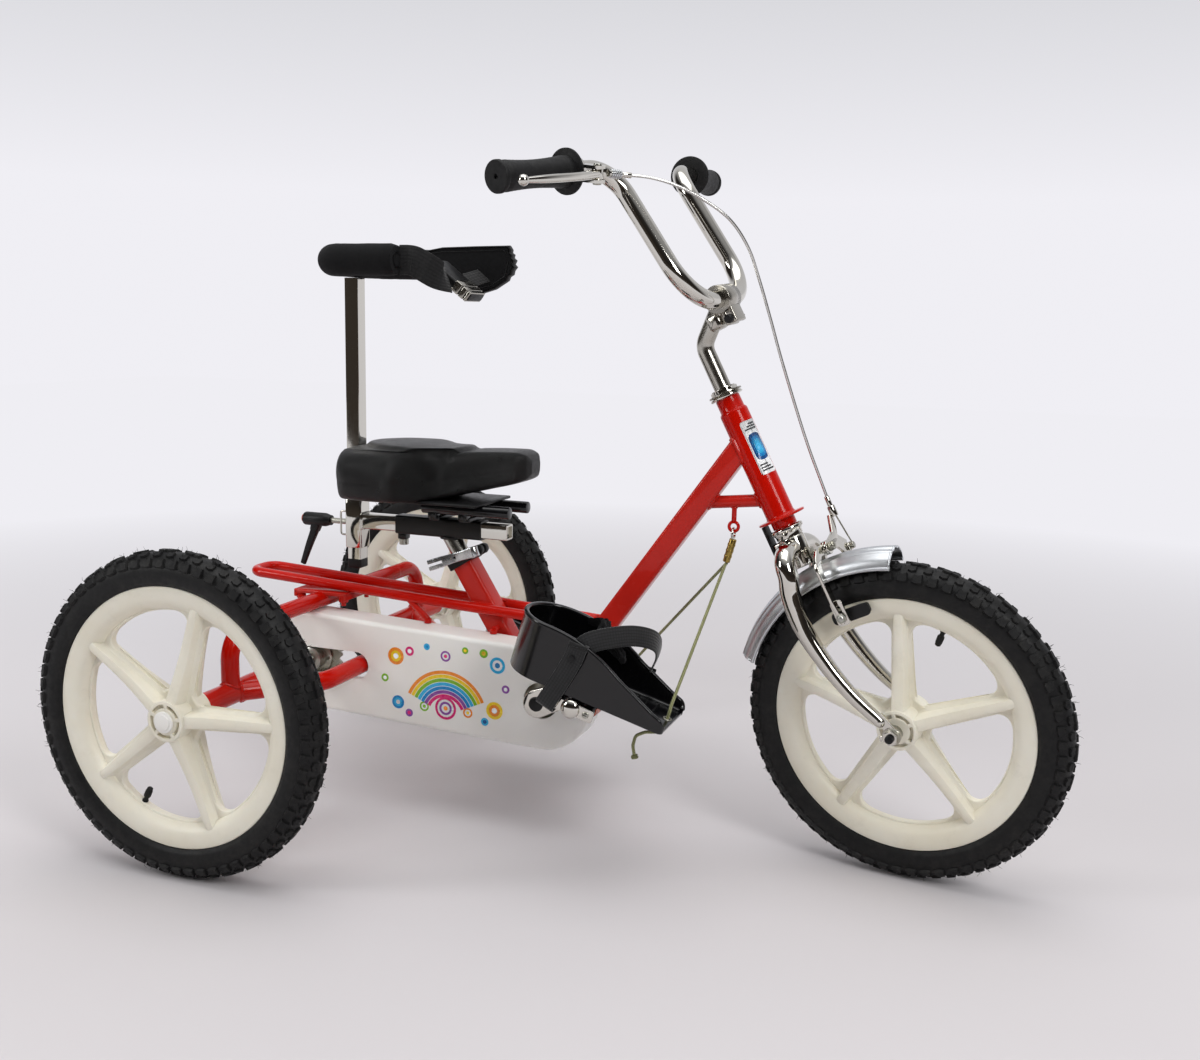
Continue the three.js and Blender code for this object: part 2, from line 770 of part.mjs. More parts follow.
// Toothed wheel about Y, centred on its own plane
function toothed(teeth, boreRadius, faceThickness) {
  const pitchRadius = chainPitch / (2 * Math.sin(Math.PI / teeth));
  const shape = new THREE.Shape();
  for (let i = 0; i < teeth; i += 1) {
    const turn = (angleShare) => (2 * Math.PI * (i + angleShare)) / teeth;
    const root = pitchRadius - toothHeight;
    const tip = pitchRadius + toothHeight / 2;
    const corners = [[root, 0], [tip, 0.5]];
    corners.forEach(([radius, angleShare], k) => {
      const [x, z] = [radius * Math.cos(turn(angleShare)), radius * Math.sin(turn(angleShare))];
      if (i + k) {
        shape.lineTo(x, z);
      } else {
        shape.moveTo(x, z);
      }
    });
  }
  const bore = new THREE.Path();
  bore.absarc(0, 0, boreRadius, 0, 2 * Math.PI, true);
  shape.holes.push(bore);
  return slab(shape, -faceThickness / 2, faceThickness / 2, 6);
}

function drum(boreRadius, outerRadius, width) {
  return turnedAboutY([
    [boreRadius, -width / 2], [outerRadius, -width / 2], [outerRadius, width / 2], [boreRadius, width / 2],
  ], 14);
}

const sprocketBore = rearAxleRadius + gap;
add(chassis, 'rear_sprocket', fused(
  toothed(rearTeeth, sprocketBore + sunk, sprocketThickness),
  drum(sprocketBore, sprocketDrumRadius, sprocketDrumWidth),
).translate(0, -chainPlaneY, axleZ), zincSteel);

// Rear subframe
const housingOuterY = hubInnerY - 2 * gap - bearingFlange;
function rearSubframe() {
  const housing = (side) => rod(alongY(axle, side * housingInnerY), alongY(axle, side * housingOuterY), housingRadius, 14);
  const archZ = railHeightAtAxle - railRadius - clampPlateThickness - archTubeRadius;
  const arch = tube(bent([
    point(0, -archHalfWidth, axleZ), point(0, -archHalfWidth, archZ),
    point(0, archHalfWidth, archZ), point(0, archHalfWidth, axleZ),
  ], archBend), archTubeRadius, 10);
  const bridge = tube(bent([
    point(0, -bridgeFootY, axleZ), point(bridgeForward, -bridgeHalfWidth, axleZ),
    point(bridgeForward, bridgeHalfWidth, axleZ), point(0, bridgeFootY, axleZ),
  ], bridgeBend), bridgeTubeRadius, 10);
  const plateTop = railHeightAtAxle - railRadius / Math.cos(railFall) - gap
    - (clampPlateLength / 2) * Math.tan(railFall);
  const plate = block(
    -clampPlateLength / 2, clampPlateLength / 2, -clampPlateWidth / 2, clampPlateWidth / 2,
    archZ, plateTop,
  );
  const bolts = [-1, 1].flatMap((sx) => [-1, 1].map((sy) => {
    const x = sx * (clampPlateLength / 2 - clampBoltRadius - sunk);
    const y = sy * (clampPlateWidth / 2 - clampBoltRadius - sunk);
    return rod(point(x, y, archZ + sunk), point(x, y, archZ - clampBoltLength), clampBoltRadius, 6);
  }));
  const bore = rod(alongY(axle, -hubInnerY), alongY(axle, hubInnerY), rearAxleRadius + bearingFlange / 4, 14);
  return cut(fused(arch, bridge, housing(-1), housing(1), plate, ...bolts), bore);
}
add(chassis, 'rear_subframe', rearSubframe(), redPaint);

function axleBearing(side) {
  const bore = rearAxleRadius + gap;
  const spigot = rearAxleRadius + bearingFlange / 4 - gap;
  return turnedAboutY([
    [bore, side * (housingOuterY - bearingFlange)], [spigot, side * (housingOuterY - bearingFlange)],
    [spigot, side * (housingOuterY + gap)], [housingRadius, side * (housingOuterY + gap)],
    [housingRadius, side * (housingOuterY + bearingFlange)], [bore, side * (housingOuterY + bearingFlange)],
  ], 14).translate(0, 0, axleZ);
}
add(chassis, 'axle_bearing_right', axleBearing(-1), whitePlastic);
add(chassis, 'axle_bearing_left', axleBearing(1), whitePlastic);

// Steering axis: origin on the axis, level with the front wheel's centre along it
const wheelAxisZ = Math.sin(steerAtRest) * Math.sin(headAngle);
const frontWheelZ = tyreCentreRadius * Math.sqrt(1 - wheelAxisZ ** 2) + tyreHalf;
const steeringOrigin = point(
  wheelbase - forkRake * Math.cos(steerAtRest) * Math.cos(headAngle),
  0,
  frontWheelZ - forkRake * Math.cos(steerAtRest) * Math.sin(headAngle),
);
const head = new THREE.Group();
head.position.copy(steeringOrigin);
head.rotation.y = -headAngle;
chassis.add(head);
const steering = new THREE.Group();
steering.rotation.z = -steerAtRest;
head.add(steering);
head.updateMatrixWorld(true);
const onHead = (z) => point(-Math.sin(headAngle) * z, 0, Math.cos(headAngle) * z).add(steeringOrigin);

// Main frame
const seatAxis = point(-Math.sin(seatTubeLean), 0, Math.cos(seatTubeLean));
const seatTubeTop = point(seatTubeTopX, 0, seatTubeTopZ);
const bracket = point(bracketX, 0, bracketZ);
const alongSeatTube = (distance) => seatTubeTop.clone().addScaledVector(seatAxis, distance);
const railZ = (x) => railHeightAtAxle - x * Math.tan(railFall);
const downTubeTop = onHead(downTubeHeadZ);
const downAxis = downTubeTop.clone().sub(bracket).normalize();
const gussetFoot = downTubeTop.clone().addScaledVector(downAxis, -gussetFallback - downTubeWidth * gussetFootShare);
const eyeRoot = gussetFoot.clone().lerp(onHead(gussetHeadZ), eyeShare);
const eyeCentre = eyeRoot.clone().add(point(0, 0, -eyeLength));

function headTube() {
  const bore = steererRadius + gap + sunk;
  return turnedAboutZ([
    [bore, headTubeBottom], [headTubeRadius, headTubeBottom],
    [headTubeRadius, stopRingZ], [stopRingRadius, stopRingZ],
    [stopRingRadius, stopRingZ + stopRingThickness], [headSleeveRadius, stopRingZ + 2 * stopRingThickness],
    [headSleeveRadius, headSleeveTop], [headTubeRadius, headSleeveTop + stopRingThickness],
    [headTubeRadius, headTubeTop], [bore, headTubeTop],
  ], 14).rotateY(-headAngle).translate(steeringOrigin.x, steeringOrigin.y, steeringOrigin.z);
}

function mainFrame() {
  const up = point(0, 1, 0);
  const downTube = swept([bracket, downTubeTop], boxSection(downTubeWidth, downTubeWidth, tubeCorner), up);
  const seatTube = swept(
    [alongSeatTube(-seatTubeLength), seatTubeTop],
    boxSection(seatTubeWidth, seatTubeWidth, tubeCorner),
    up,
  );
  const postBore = rod(
    alongSeatTube(-seatTubeLength * postBoreShare),
    alongSeatTube(overrun),
    seatPostRadius + gap,
    16,
  );
  const shell = rod(alongY(bracket, -bracketShellWidth / 2), alongY(bracket, bracketShellWidth / 2), bracketShellRadius, 14);
  const spindleBore = rod(alongY(bracket, -bracketShellWidth), alongY(bracket, bracketShellWidth), spindleRadius + gap, 14);
  const steererBore = rod(onHead(headTubeBottom - overrun), onHead(headTubeTop + overrun), steererRadius + gap + sunk, 14);
  const railNose = downTubeCrossing();
  const noseHalf = downTubeWidth / 2 + railRadius / 2;
  const leg = (side) => [
    point(railNose.x, side * noseHalf, railNose.z),
    point(seatTubeTopX, side * railHalfSpacing, railZ(seatTubeTopX)),
    point(railTailX, side * railHalfSpacing, railZ(railTailX)),
  ];
  const rails = tube(
    bent([...leg(-1), ...leg(1).reverse()], [bridgeBend, railBend, railBend, bridgeBend]),
    railRadius,
    8,
  );
  const gusset = rod(gussetFoot, onHead(gussetHeadZ), gussetTubeRadius, 10);
  const eye = fused(
    rod(eyeRoot, eyeCentre.clone().add(point(0, 0, eyeRingRadius)), eyeWireRadius, 8),
    welded(new THREE.TorusGeometry(eyeRingRadius, eyeWire, 5, 11).rotateX(Math.PI / 2)).translate(eyeCentre.x, 0, eyeCentre.z),
  );
  const lugEnd = (x) => point(x, -(caseFarY + guardLugRadius), caseTopZ(x) + guardLugRadius / Math.cos(caseSlope) + gap);
  const rearLug = rod(
    point(guardLugX - guardLugLength, -railHalfSpacing, railZ(guardLugX - guardLugLength)), lugEnd(guardLugX), guardLugRadius, 6,
  );
  const frontLugX = seatTubeTopX + (seatTubeTopZ - caseTopZ(bracketX) - guardLugRadius) * Math.tan(seatTubeLean);
  const frontLug = rod(alongY(lugEnd(frontLugX), 0), lugEnd(frontLugX), guardLugRadius, 6);
  const whole = fused(downTube, seatTube, shell, rails, gusset, eye, rearLug, frontLug, headTube());
  return cut(whole, postBore, spindleBore, steererBore);
}

// Where the rails' line meets the down tube's middle line
function downTubeCrossing() {
  const slope = downAxis.z / downAxis.x;
  const x = (railHeightAtAxle - bracketZ + slope * bracketX) / (slope + Math.tan(railFall));
  return point(x, 0, railZ(x));
}

// Chain case: a tray of even wall round the line between the axle and the bracket, open on its inner side
const caseSlope = Math.atan2(bracketZ - axleZ, bracketX);
const caseTopZ = (x) => axleZ + x * Math.tan(caseSlope) + caseRadius / Math.cos(caseSlope);

function stadium(radius, y, rear = axle, front = bracket) {
  const half = 8;
  const ring = [];
  for (const [centre, start] of [[rear, Math.PI / 2], [front, -Math.PI / 2]]) {
    for (let i = 0; i <= half; i += 1) {
      const turn = caseSlope + start + (Math.PI * i) / half;
      ring.push(point(centre.x + radius * Math.cos(turn), y, centre.z + radius * Math.sin(turn)));
    }
  }
  return ring;
}

function slotShape(halfHeight) {
  const shape = new THREE.Shape();
  shape.moveTo(-caseRadius - overrun, -halfHeight);
  shape.lineTo(slotEndX, -halfHeight);
  shape.absarc(slotEndX, 0, halfHeight, -Math.PI / 2, Math.PI / 2, false);
  shape.lineTo(-caseRadius - overrun, halfHeight);
  shape.closePath();
  return shape;
}

function chainCase() {
  const outer = loft([
    stadium(caseRadius, -caseFarY),
    stadium(caseRadius, caseEdge - caseNearY),
    stadium(caseRadius - caseEdge * edgeShare, caseEdge * edgeShare - caseNearY),
    stadium(caseRadius - caseEdge, -caseNearY),
  ]);
  const inner = loft([
    stadium(caseRadius - caseWall, overrun - caseFarY),
    stadium(caseRadius - caseWall, caseEdge - caseNearY),
    stadium(caseRadius - caseEdge, caseWall - caseNearY),
  ]);
  const lipRing = common(
    cut(
      slab(slotShape(slotHalfHeight + caseWall), -caseNearY + sunk, slotLip - caseNearY, 6),
      slab(slotShape(slotHalfHeight), -caseNearY - overrun, slotLip - caseNearY + overrun, 6),
    ).translate(0, 0, axleZ),
    outer,
  );
  const slot = slab(slotShape(slotHalfHeight), -caseNearY - overrun, overrun - caseFarY, 6).translate(0, 0, axleZ);
  const bore = rod(alongY(bracket, -caseNearY - overrun), alongY(bracket, -caseNearY + caseEdge), caseBoreRadius, 16);
  return cut(fused(cut(outer, inner), lipRing), slot, bore);
}
add(chassis, 'chain_case', chainCase(), whitePlastic);
add(chassis, 'main_frame', mainFrame(), redPaint);

// Chain, as one belt just outside the teeth
const pitchRadiusOf = (teeth) => chainPitch / (2 * Math.sin(Math.PI / teeth));
function chainLoop() {
  const tipOf = (teeth) => pitchRadiusOf(teeth) + toothHeight / 2 + gap;
  const loopRing = (extra, y) => {
    const [rearR, frontR] = [tipOf(rearTeeth) + extra, tipOf(frontTeeth) + extra];
    const span = Math.hypot(bracketX, bracketZ - axleZ);
    const lean = Math.asin((frontR - rearR) / span);
    const ring = [];
    const arcs = [
      [axle, rearR, caseSlope + Math.PI / 2 + lean, caseSlope + (3 * Math.PI) / 2 - lean, 10],
      [bracket, frontR, caseSlope - Math.PI / 2 - lean, caseSlope + Math.PI / 2 + lean, 12],
    ];
    for (const [centre, radius, from, to, steps] of arcs) {
      for (let i = 0; i <= steps; i += 1) {
        const turn = from + ((to - from) * i) / steps;
        ring.push(point(centre.x + radius * Math.cos(turn), y, centre.z + radius * Math.sin(turn)));
      }
    }
    return ring;
  };
  const [near, far] = [-chainPlaneY - chainWidth / 2, -chainPlaneY + chainWidth / 2];
  const outer = loft([loopRing(chainHeight, near), loopRing(chainHeight, far)]);
  const inner = loft([loopRing(sunk / 2, near - overrun), loopRing(sunk / 2, far + overrun)]);
  return cut(outer, inner);
}
add(chassis, 'chain', chainLoop(), zincSteel);

// Cranks, spindle and chainring
const crankOuterY = crankInnerY + crankThickness;
add(chassis, 'crank_spindle', rod(alongY(bracket, -crankOuterY), alongY(bracket, crankOuterY), spindleRadius, 14), zincSteel);
add(chassis, 'chainring', fused(
  toothed(frontTeeth, spindleRadius + gap + sunk, sprocketThickness),
  drum(spindleRadius + gap, crankBossRadius, chainWidth).translate(0, 0, 0),
).translate(bracketX, -chainPlaneY, bracketZ), zincSteel);

function crankArm() {
  const outlineOf = new THREE.Shape();
  const taper = Math.asin((crankBossRadius - crankEyeRadius) / crankLength);
  outlineOf.absarc(0, 0, crankBossRadius, Math.PI / 2 - taper, -Math.PI / 2 + taper, false);
  outlineOf.absarc(crankLength, 0, crankEyeRadius, -Math.PI / 2 + taper, Math.PI / 2 - taper, false);
  const arm = slab(outlineOf, -crankOuterY, -crankInnerY, 5);
  const hollow = slab(crankFlute(), -crankOuterY - overrun, crankFluteDepth - crankOuterY, 2);
  const spindle = rod(
    point(crankLength, -crankOuterY + sunk, 0),
    point(crankLength, -(pedalInnerY + pedalWidth / 3), 0),
    pedalSpindleRadius,
    12,
  );
  const bore = rod(point(0, -crankOuterY - overrun, 0), point(0, -crankInnerY + overrun, 0), spindleRadius + gap, 14);
  return cut(fused(cut(arm, hollow), spindle), bore);
}
function crankFlute() {
  const shape = new THREE.Shape();
  const start = crankBossRadius + crankFluteDepth;
  const end = crankLength - crankEyeRadius - crankFluteDepth;
  const half = crankEyeRadius / 2;
  shape.absarc(start + half, 0, half, Math.PI / 2, (3 * Math.PI) / 2, false);
  shape.absarc(end - half, 0, half, -Math.PI / 2, Math.PI / 2, false);
  return shape;
}
add(chassis, 'crank_right', crankArm().rotateY(-crankAngle).translate(bracketX, 0, bracketZ), chromePlate);
add(chassis, 'crank_left', mirrored(
  crankArm().rotateY(Math.PI - crankAngle).translate(bracketX, 0, bracketZ),
), chromePlate);

// Pedals with footplates; u runs forward along the sole, v square to it, both from the pedal's axis
function pedalGroup(side) {
  const reach = side > 0 ? crankLength : -crankLength;
  const group = new THREE.Group();
  group.position.set(bracketX + reach * Math.cos(crankAngle), 0, bracketZ + reach * Math.sin(crankAngle));
  group.rotation.y = footPitch;
  chassis.add(group);
  return group;
}

function pedalBody() {
  const outerY = pedalInnerY + pedalWidth;
  const cage = (y) => block(-pedalLength / 2, pedalLength / 2, -y - pedalCageThickness, -y, -pedalHeight / 2, pedalHeight / 2);
  const blockAt = (x) => block(
    x - pedalBlockLength / 2, x + pedalBlockLength / 2, -outerY + sunk, -pedalInnerY - sunk,
    -pedalHeight / 2, pedalHeight / 2,
  );
  const blockX = pedalLength / 2 - pedalBlockLength / 2 - pedalCageThickness;
  const barrel = rod(point(0, -pedalInnerY, 0), point(0, -outerY, 0), pedalBarrelRadius, 12);
  const dome = turnedAboutY([
    [0, -outerY + sunk], [pedalDomeRadius, -outerY + sunk], [pedalDomeRadius, -outerY - pedalDomeHeight / 2],
    [pedalDomeRadius * domeShare, -outerY - pedalDomeHeight], [0, -outerY - pedalDomeHeight],
  ], 12);
  const studZ = soleLift - gap;
  const studs = [-1, 1].map((s) => block(
    s * blockX - pedalBlockLength / 3, s * blockX + pedalBlockLength / 3,
    -pedalInnerY - (pedalWidth * 2) / 3, -pedalInnerY - pedalWidth / 3, 0, studZ,
  ));
  const bore = rod(
    point(0, -pedalInnerY + overrun, 0), point(0, -(pedalInnerY + pedalWidth / 3) - gap, 0), pedalSpindleRadius + gap, 12,
  );
  return cut(fused(
    cage(pedalInnerY), cage(outerY - pedalCageThickness), blockAt(-blockX), blockAt(blockX), barrel, dome, ...studs,
  ), bore);
}

function footPlan(inset, toe) {
  const half = footWidth / 2 - inset;
  const shape = new THREE.Shape();
  shape.absarc(-footHeel + footWidth / 2, 0, half, Math.PI / 2, (3 * Math.PI) / 2, false);
  shape.lineTo(toe, -half);
  shape.lineTo(toe, half);
  shape.closePath();
  return shape;
}

function footplate() {
  const middleY = -(pedalInnerY + pedalWidth / 2);
  const tall = heelWallHeight + soleLift;
  const risen = (shape, z1, z2) => welded(
    new THREE.ExtrudeGeometry(shape, { depth: z2 - z1, bevelEnabled: false, curveSegments: 6 })
      .translate(0, middleY, z1),
  );
  const outer = risen(footPlan(0, footToe), soleLift, tall);
  const inner = risen(footPlan(footWall, footToe + overrun), soleLift + soleThickness, tall + overrun);
  const side = new THREE.Shape();
  side.moveTo(-footHeel - overrun, 0);
  side.lineTo(-footHeel - overrun, tall);
  side.lineTo(-footHeel * heelShare, tall);
  side.quadraticCurveTo(0, tall, footToe * midShare, soleLift + midWallHeight);
  side.lineTo(footToe - toeWallHeight, soleLift + toeWallHeight);
  side.quadraticCurveTo(footToe, soleLift + toeWallHeight, footToe, soleLift + soleThickness);
  side.lineTo(footToe, 0);
  side.closePath();
  const envelope = slab(side, -pedalInnerY - footWidth - overrun, -pedalInnerY + overrun, 4);
  const hole = rod(
    point(footToe - toeWallHeight / 2, middleY, 0),
    point(footToe - toeWallHeight / 2, middleY, soleLift + soleThickness + overrun),
    toeHoleRadius,
    10,
  );
  return cut(common(outer, envelope), inner, hole);
}

// Strap across the instep, from wall to wall
function footStrap() {
  const middleY = -(pedalInnerY + pedalWidth / 2);
  const half = footWidth / 2 + gap + strapThickness / 2;
  const wallTop = soleLift + heelWallHeight + strapThickness;
  const rise = wallTop + strapRise;
  const foot = soleLift + midWallHeight / 2;
  const path = bent([
    point(strapU, middleY - half, foot), point(strapU, middleY - half, wallTop),
    point(strapU, middleY - half / 2, rise), point(strapU, middleY + half / 2, rise),
    point(strapU, middleY + half, wallTop), point(strapU, middleY + half, foot),
  ], strapRise);
  return swept(path, boxSection(strapWidth, strapThickness), point(0, 1, 0));
}

for (const [label, side] of [['right', 1], ['left', -1]]) {
  const group = pedalGroup(side);
  const handed = (geometry) => (side > 0 ? geometry : mirrored(geometry));
  add(group, `pedal_${label}`, handed(pedalBody()), blackPlastic);
  add(group, `footplate_${label}`, handed(footplate()), blackPlastic);
  add(group, `foot_strap_${label}`, handed(footStrap()), blackFabric);
}

// Headset
add(head, 'headset_race', turnedAboutZ([
  [steererRadius + gap, headTubeBottom - gap], [raceRadius * raceShare, headTubeBottom - gap],
  [raceRadius, headTubeBottom - raceHeight / 2], [raceRadius, headTubeBottom - raceHeight + sunk],
  [raceRadius * raceShare, headTubeBottom - raceHeight], [steererRadius + gap, headTubeBottom - raceHeight],
], 16), chromePlate);

add(steering, 'headset_locknut', turnedAboutZ([
  [steererRadius + gap, headTubeTop + gap], [headSleeveRadius, headTubeTop + gap],
  [locknutRadius, headTubeTop + locknutHeight / 3], [locknutRadius, headTubeTop + (locknutHeight * 2) / 3],
  [headTubeRadius, headTubeTop + locknutHeight], [steererRadius + gap, headTubeTop + locknutHeight],
], 16), chromePlate);

// Fork: crown, steerer, blades that close in under the crown and sweep forward, flattened dropouts
const crownTop = headTubeBottom - raceHeight - gap;
const crownBottom = caliperZ - crownHeight / 2;
function fork() {
  const bladeAt = ([rakeShare, spreadShare, heightShare]) => point(
    forkRake * rakeShare, (-bladeSpacing / 2) * spreadShare, crownZ * heightShare,
  );
  const curve = new THREE.CatmullRomCurve3(bladeShares.map(bladeAt));
  const radiusAt = (i, count) => {
    const down = Math.max(0, i / (count - 1) - bladeTaperShare) / (1 - bladeTaperShare);
    return 1 + (bladeTipRadius / bladeTopRadius - 1) * down;
  };
  const blade = swept(curve.getSpacedPoints(12), circleSection(bladeTopRadius, 9), point(0, 0, 1), radiusAt);
  const half = bladeSpacing / 2;
  const tip = bladeAt(bladeShares[bladeShares.length - 1]);
  const plate = fused(
    rod(point(forkRake, -half - dropoutThickness / 2, 0), point(forkRake, -half + dropoutThickness / 2, 0), dropoutWidth / 2, 12),
    swept([tip, point(forkRake, -half, 0)], boxSection(dropoutThickness, dropoutWidth * dropoutNeckShare), point(1, 0, 0)),
  );
  const crown = turnedAboutZ([
    [0, crownBottom], [crownRadius - ribChamfer, crownBottom], [crownRadius, crownBottom + ribChamfer],
    [crownRadius, crownTop], [steererRadius, crownTop], [steererRadius, steererTop], [0, steererTop],
  ], 14);
  const boss = block(stripX + gap, 0, -stripWidth / 2, stripWidth / 2, crownBottom + sunk, crownTop - sunk);
  const quillBore = rod(point(0, 0, quillBottom - overrun), point(0, 0, steererTop + overrun), steererRadius - steererWall, 14);
  const boltBore = rod(point(-crownRadius * 2, 0, caliperZ), point(crownRadius * 2, 0, caliperZ), caliperBoltRadius + gap, 12);
  const axleBore = rod(point(forkRake, -half * 2, 0), point(forkRake, half * 2, 0), frontAxleRadius + gap, 12);
  return cut(fused(crown, boss, blade, mirrored(blade), plate, mirrored(plate)), quillBore, boltBore, axleBore);
}
add(steering, 'fork', fork(), chromePlate);

const frontHub = frontHubWidth / 2;
function frontAxle() {
  const inner = bladeSpacing / 2 - dropoutThickness / 2 - gap;
  const outer = bladeSpacing / 2 + dropoutThickness / 2 + gap;
  const half = [
    [coneRadius * coneShare, frontHub + gap], [coneRadius, frontHub + coneRadius / 2], [coneRadius, inner],
    [frontAxleRadius, inner], [frontAxleRadius, outer], [coneRadius, outer], [coneRadius, outer + axleWasher],
    [axleNutRadius, outer + axleWasher], [axleNutRadius, outer + axleNutHeight],
    [frontAxleRadius, outer + axleNutHeight], [frontAxleRadius, outer + axleNutHeight + axleWasher * 2],
    [0, outer + axleNutHeight + axleWasher * 2],
  ];
  const profile = [...half.map(([r, y]) => [r, -y]).reverse(), [frontAxleRadius, -frontHub - gap], [frontAxleRadius, frontHub + gap], ...half];
  return turnedAboutY(profile, 10).translate(forkRake, 0, 0);
}
add(steering, 'front_axle', frontAxle(), zincSteel);
const frontLowest = Math.atan2(-Math.cos(headAngle), -Math.sin(headAngle) * Math.cos(steerAtRest));
add(steering, 'wheel_front', mouldedWheel(
  frontHubWidth, frontAxleRadius + gap, frontWheelPhase, frontValveAngle, frontLowest,
).translate(forkRake, 0, 0), creamPlastic);
add(steering, 'tyre_front', tyreWithValve(frontValveAngle, frontLowest).translate(forkRake, 0, 0), blackRubber);

// Stem and handlebar
function stem() {
  const quill = swept(bent([
    point(0, 0, quillBottom), point(0, 0, stemBendZ), point(barClampX, 0, barClampZ),
  ], barRadius * 2), circleSection(quillRadius, 14), point(0, 1, 0));
  const clampPoint = point(barClampX, 0, barClampZ);
  const clamp = rod(alongY(clampPoint, -barClampWidth / 2), alongY(clampPoint, barClampWidth / 2), barClampRadius, 14);
  const ear = block(
    barClampX - clampEarHeight / 4, barClampX + clampEarHeight * earShare, -clampEarWidth, clampEarWidth,
    barClampZ - barClampRadius - clampEarHeight, barClampZ - barRadius - sunk,
  );
  const bolt = rod(
    point(barClampX + clampEarHeight / 4, -clampEarLength / 2 - clampEarWidth / 2, barClampZ - clampEarLength),
    point(barClampX + clampEarHeight / 4, clampEarLength / 2 + clampEarWidth / 2, barClampZ - clampEarLength),
    clampEarHeight / 3,
    8,
  );
  const bore = rod(alongY(clampPoint, -barClampWidth), alongY(clampPoint, barClampWidth), barRadius + gap, 14);
  return cut(fused(quill, clamp, ear, bolt), bore);
}
add(steering, 'stem', stem(), chromePlate);

const shoulder = point(barShoulderX, -barShoulderY, barShoulderZ);
const barEnd = point(barEndX, -barEndY, barEndZ);
const rightBar = [barEnd, shoulder, point(barClampX, -barKneeY, barClampZ)];
const leftOf = (p) => point(p.x, -p.y, p.z);
add(steering, 'handlebar', tube(
  bent([...rightBar, ...rightBar.map(leftOf).reverse()], [barShoulderBend, barKneeBend, barKneeBend, barShoulderBend]),
  barRadius,
  10,
), chromePlate);

const barDirection = barEnd.clone().sub(shoulder).normalize();
const onBar = (y) => shoulder.clone().lerp(barEnd, (y - barShoulderY) / (barEndY - barShoulderY));
function grip() {
  const length = onBar(gripStartY).distanceTo(barEnd);
  const bore = barRadius + gap;
  return turnedAboutY([
    [bore, 0], [gripFlangeRadius, 0], [gripFlangeRadius, gripFlange], [gripRadius, gripFlange * 2],
    [gripRadius, length / 4], [gripEndRadius, length - gripDiscThickness], [gripDiscRadius, length - gripDiscThickness / 2],
    [gripDiscRadius, length + gripDiscThickness / 2], [0, length + gripDiscThickness], [0, length + gap], [bore, length + gap],
  ], 16).applyQuaternion(new THREE.Quaternion().setFromUnitVectors(point(0, 1, 0), barDirection))
    .translate(...onBar(gripStartY).toArray());
}
add(steering, 'grip_right', grip(), blackRubber);
add(steering, 'grip_left', mirrored(grip()), blackRubber);

// Brake lever: X runs along the lever, Z along its pivot
const leverPivot = point(leverPivotX, -leverPivotY, leverPivotZ);
const leverGroup = new THREE.Group();
const towardBar = onBar(leverPivotY).sub(leverPivot).normalize();
const leverDirection = barDirection.clone().addScaledVector(towardBar, -barDirection.dot(towardBar)).normalize();
const pivotDirection = leverDirection.clone().cross(towardBar).normalize();
leverGroup.quaternion.setFromRotationMatrix(new THREE.Matrix4().makeBasis(
  leverDirection, pivotDirection.clone().cross(leverDirection), pivotDirection,
));
leverGroup.position.copy(leverPivot);
steering.add(leverGroup);

function brakeLever() {
  const blade = swept(
    [point(0, 0, 0), point(leverLength / 4, -leverWidth / 2, 0), point(leverLength / 2, -leverWidth / 2, 0), point(leverLength, 0, 0)],
    boxSection(leverWidth, leverThickness * 2, leverThickness / 2),
    point(0, 0, 1),
    (i) => 1 - i * leverTaperShare,
  );
  const root = rod(point(0, 0, -leverThickness), point(0, 0, leverThickness), leverWidth * rootShare, 12);
  const ball = new THREE.SphereGeometry(leverBallRadius, 8, 6).translate(leverLength, 0, 0);
  const bore = rod(point(0, 0, -leverWidth), point(0, 0, leverWidth), leverPinRadius + gap, 10);
  return cut(fused(blade, root, ball), bore);
}
add(leverGroup, 'brake_lever', brakeLever(), brushedAluminium);

function leverClamp() {
  const ringFrom = onBar(gripStartY - gap).addScaledVector(barDirection, -leverClampWidth);
  const ringTo = onBar(gripStartY - gap);
  const ring = rod(ringFrom, ringTo, leverClampRadius, 16);
  const along = (p, direction, distance) => p.clone().addScaledVector(direction, distance);
  const reach = leverThickness + gap;
  const cheek = (sign) => swept([
    along(along(onBar(leverPivotY - leverClampWidth / 2), pivotDirection, sign * (reach + leverPinRadius / 2)), towardBar, -barRadius - sunk),
    along(along(leverPivot, pivotDirection, sign * (reach + leverPinRadius / 2)), towardBar, -leverPinRadius),
  ], boxSection(leverClampWidth - sunk, leverPinRadius), pivotDirection);
  const pin = rod(along(leverPivot, pivotDirection, -reach - leverPinRadius / 2), along(leverPivot, pivotDirection, reach + leverPinRadius / 2), leverPinRadius, 10);
  const bodyStart = along(onBar(gripStartY - leverClampWidth + sunk), towardBar, -barRadius - gap - leverClampWidth / 2);
  const spine = swept([bodyStart, along(bodyStart, barDirection, -leverClampWidth)], boxSection(leverClampWidth, leverClampWidth, leverPinRadius), pivotDirection);
  const cableWay = point(...cableRoute[0]).sub(cableStart).normalize();
  const adjuster = rod(along(cableStart, cableWay, -adjusterLength), cableStart, adjusterRadius, 10);
  const bore = rod(along(ringFrom, barDirection, -overrun), along(ringTo, barDirection, overrun), barRadius + gap, 16);
  return cut(fused(ring, cheek(1), cheek(-1), pin, spine, adjuster), bore);
}
add(steering, 'lever_clamp', leverClamp(), brushedAluminium);

